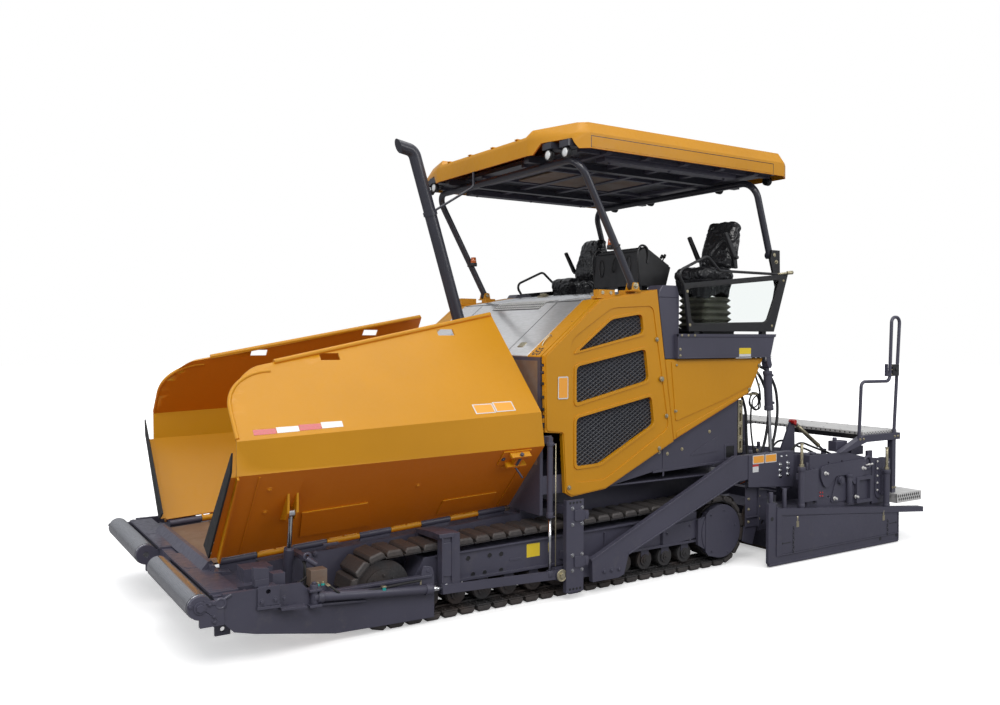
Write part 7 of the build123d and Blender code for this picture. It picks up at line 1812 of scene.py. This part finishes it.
# bolts and the switch box on the handrails
for side, hand in both():
    w = Work(side, hand)
    for z in (1.76, 1.81, 1.85):
        w.bolt((1.426, 3.4, z), 0.012, 0.006)
    for y in (2.885, 3.47):
        for dy in (-0.028, 0.028):
            add_bolt(w.bm, (side * 1.4 + side * 0.036, y + dy, 1.105), (side, 0, 0), 0.014, 0.008)
    w.bolts(1.425, ((3.43, 0.56), (3.47, 0.56)), 0.014, 0.008)
    w.done("rail_bolts", "zinc", "screed", edge=0.001)
    w = Work(side, hand)
    w.box((1.396, 3.395, 1.745), (1.444, 3.498, 1.868))
    w.pin(1.444, 1.456, 3.445, 1.815, 0.018)
    w.done("rail_switch", "plastic", "screed", edge=0.004)
    # lift cylinder: collars and ports on the barrel
    w = Work(side, hand)
    p0, p1 = Vector((side * 1.24, 1.671, 1.88)), Vector((side * 1.24, 1.732, 1.0))
    d = (p1 - p0).normalized()
    add_rod(w.bm, p0 + d * 0.395, p0 + d * 0.438, 0.045, 28)
    add_rod(w.bm, p0 + d * 0.058, p0 + d * 0.09, 0.045, 28)
    for s in (0.105, 0.375):
        q = p0 + d * s
        add_rod(w.bm, q + Vector((0, 0.036, 0)), q + Vector((0, 0.062, 0.004)), 0.012, 14)
        add_rod(w.bm, q + Vector((0, 0.058, 0.004)), q + Vector((0, 0.074, 0.006)), 0.015, 6)
    w.done("lift_ports", "slate", "lift_barrels", edge=0.002)

# ------------------------------------------------------------------ hoses at the rear
FEED_ROUTE = [(1.165, 1.56, 1.955), (1.168, 1.56, 1.86), (1.172, 1.6, 1.74), (1.172, 1.65, 1.64),
              (1.17, 1.66, 1.54)]
RETURN_ROUTE = [(1.17, 1.535, 1.5), (1.168, 1.52, 1.38), (1.165, 1.54, 1.2), (1.16, 1.59, 1.0),
                (1.15, 1.62, 0.85),
                (1.15, 1.625, 0.668)]
GAS_ROUTE = [(0.3, 2.3, 0.52), (0.5, 2.33, 0.64), (0.8, 2.26, 0.6), (1.05, 2.33, 0.7), (1.22, 2.3, 0.86),
             (1.28, 2.38, 0.94)]
for side, hand in both():
    # loops hung beside the body, then feed, return and clamps
    for i, (cx, cz, r, dy) in enumerate(((1.158, 1.525, 0.072, 0.0), (1.166, 1.515, 0.058, 0.012),
                                         (1.146, 1.54, 0.063, -0.01))):
        route = []
        for k in range(16):
            a = 2 * math.pi * k / 12 + i * 0.6
            route.append((cx + 0.012 * math.sin(k * 0.9), 1.6 + dy + r * 0.95 * math.cos(a),
                          cz + r * 1.2 * math.sin(a)))
        hose("rear_loop_%d_%s" % (i, hand), side, route, 0.0065, resolution=6)
    hose("rear_feed_" + hand, side, FEED_ROUTE, 0.009)
    hose("rear_return_" + hand, side, RETURN_ROUTE, 0.009)
    w = Work(side, hand)
    w.box((1.14, 1.568, 1.59), (1.185, 1.606, 1.612))
    w.box((1.13, 1.32, 1.592), (1.17, 1.606, 1.606))
    for x, y in ((1.14, 1.648), (1.095, 1.64), (1.05, 1.63)):
        w.post(x, y, 0.672, 0.72, 0.02, 6)
        w.post(x, y, 0.718, 0.745, 0.0175, 18)
    for x, y in ((1.14, 1.661), (1.095, 1.641)):
        w.post(x, y, 1.957, 1.915, 0.02, 6)
    w.done("hose_clamps", "zinc", edge=0.0015)
# orange gas lines across the screed, and its hoses
for side, hand in both():
    hose("gas_line_" + hand, side, GAS_ROUTE, 0.007, "amber", "screed")
    for i, x in enumerate((0.9, 1.15)):
        route = [(x, 2.15, 1.0), (x, 2.23, 1.11), (x + 0.05, 2.45, 1.02), (x + 0.04, 2.7, 0.95),
                 (x + 0.02, 2.82, 0.9)]
        hose("screed_hose_%d_%s" % (i, hand), side, route, 0.011, body="screed")
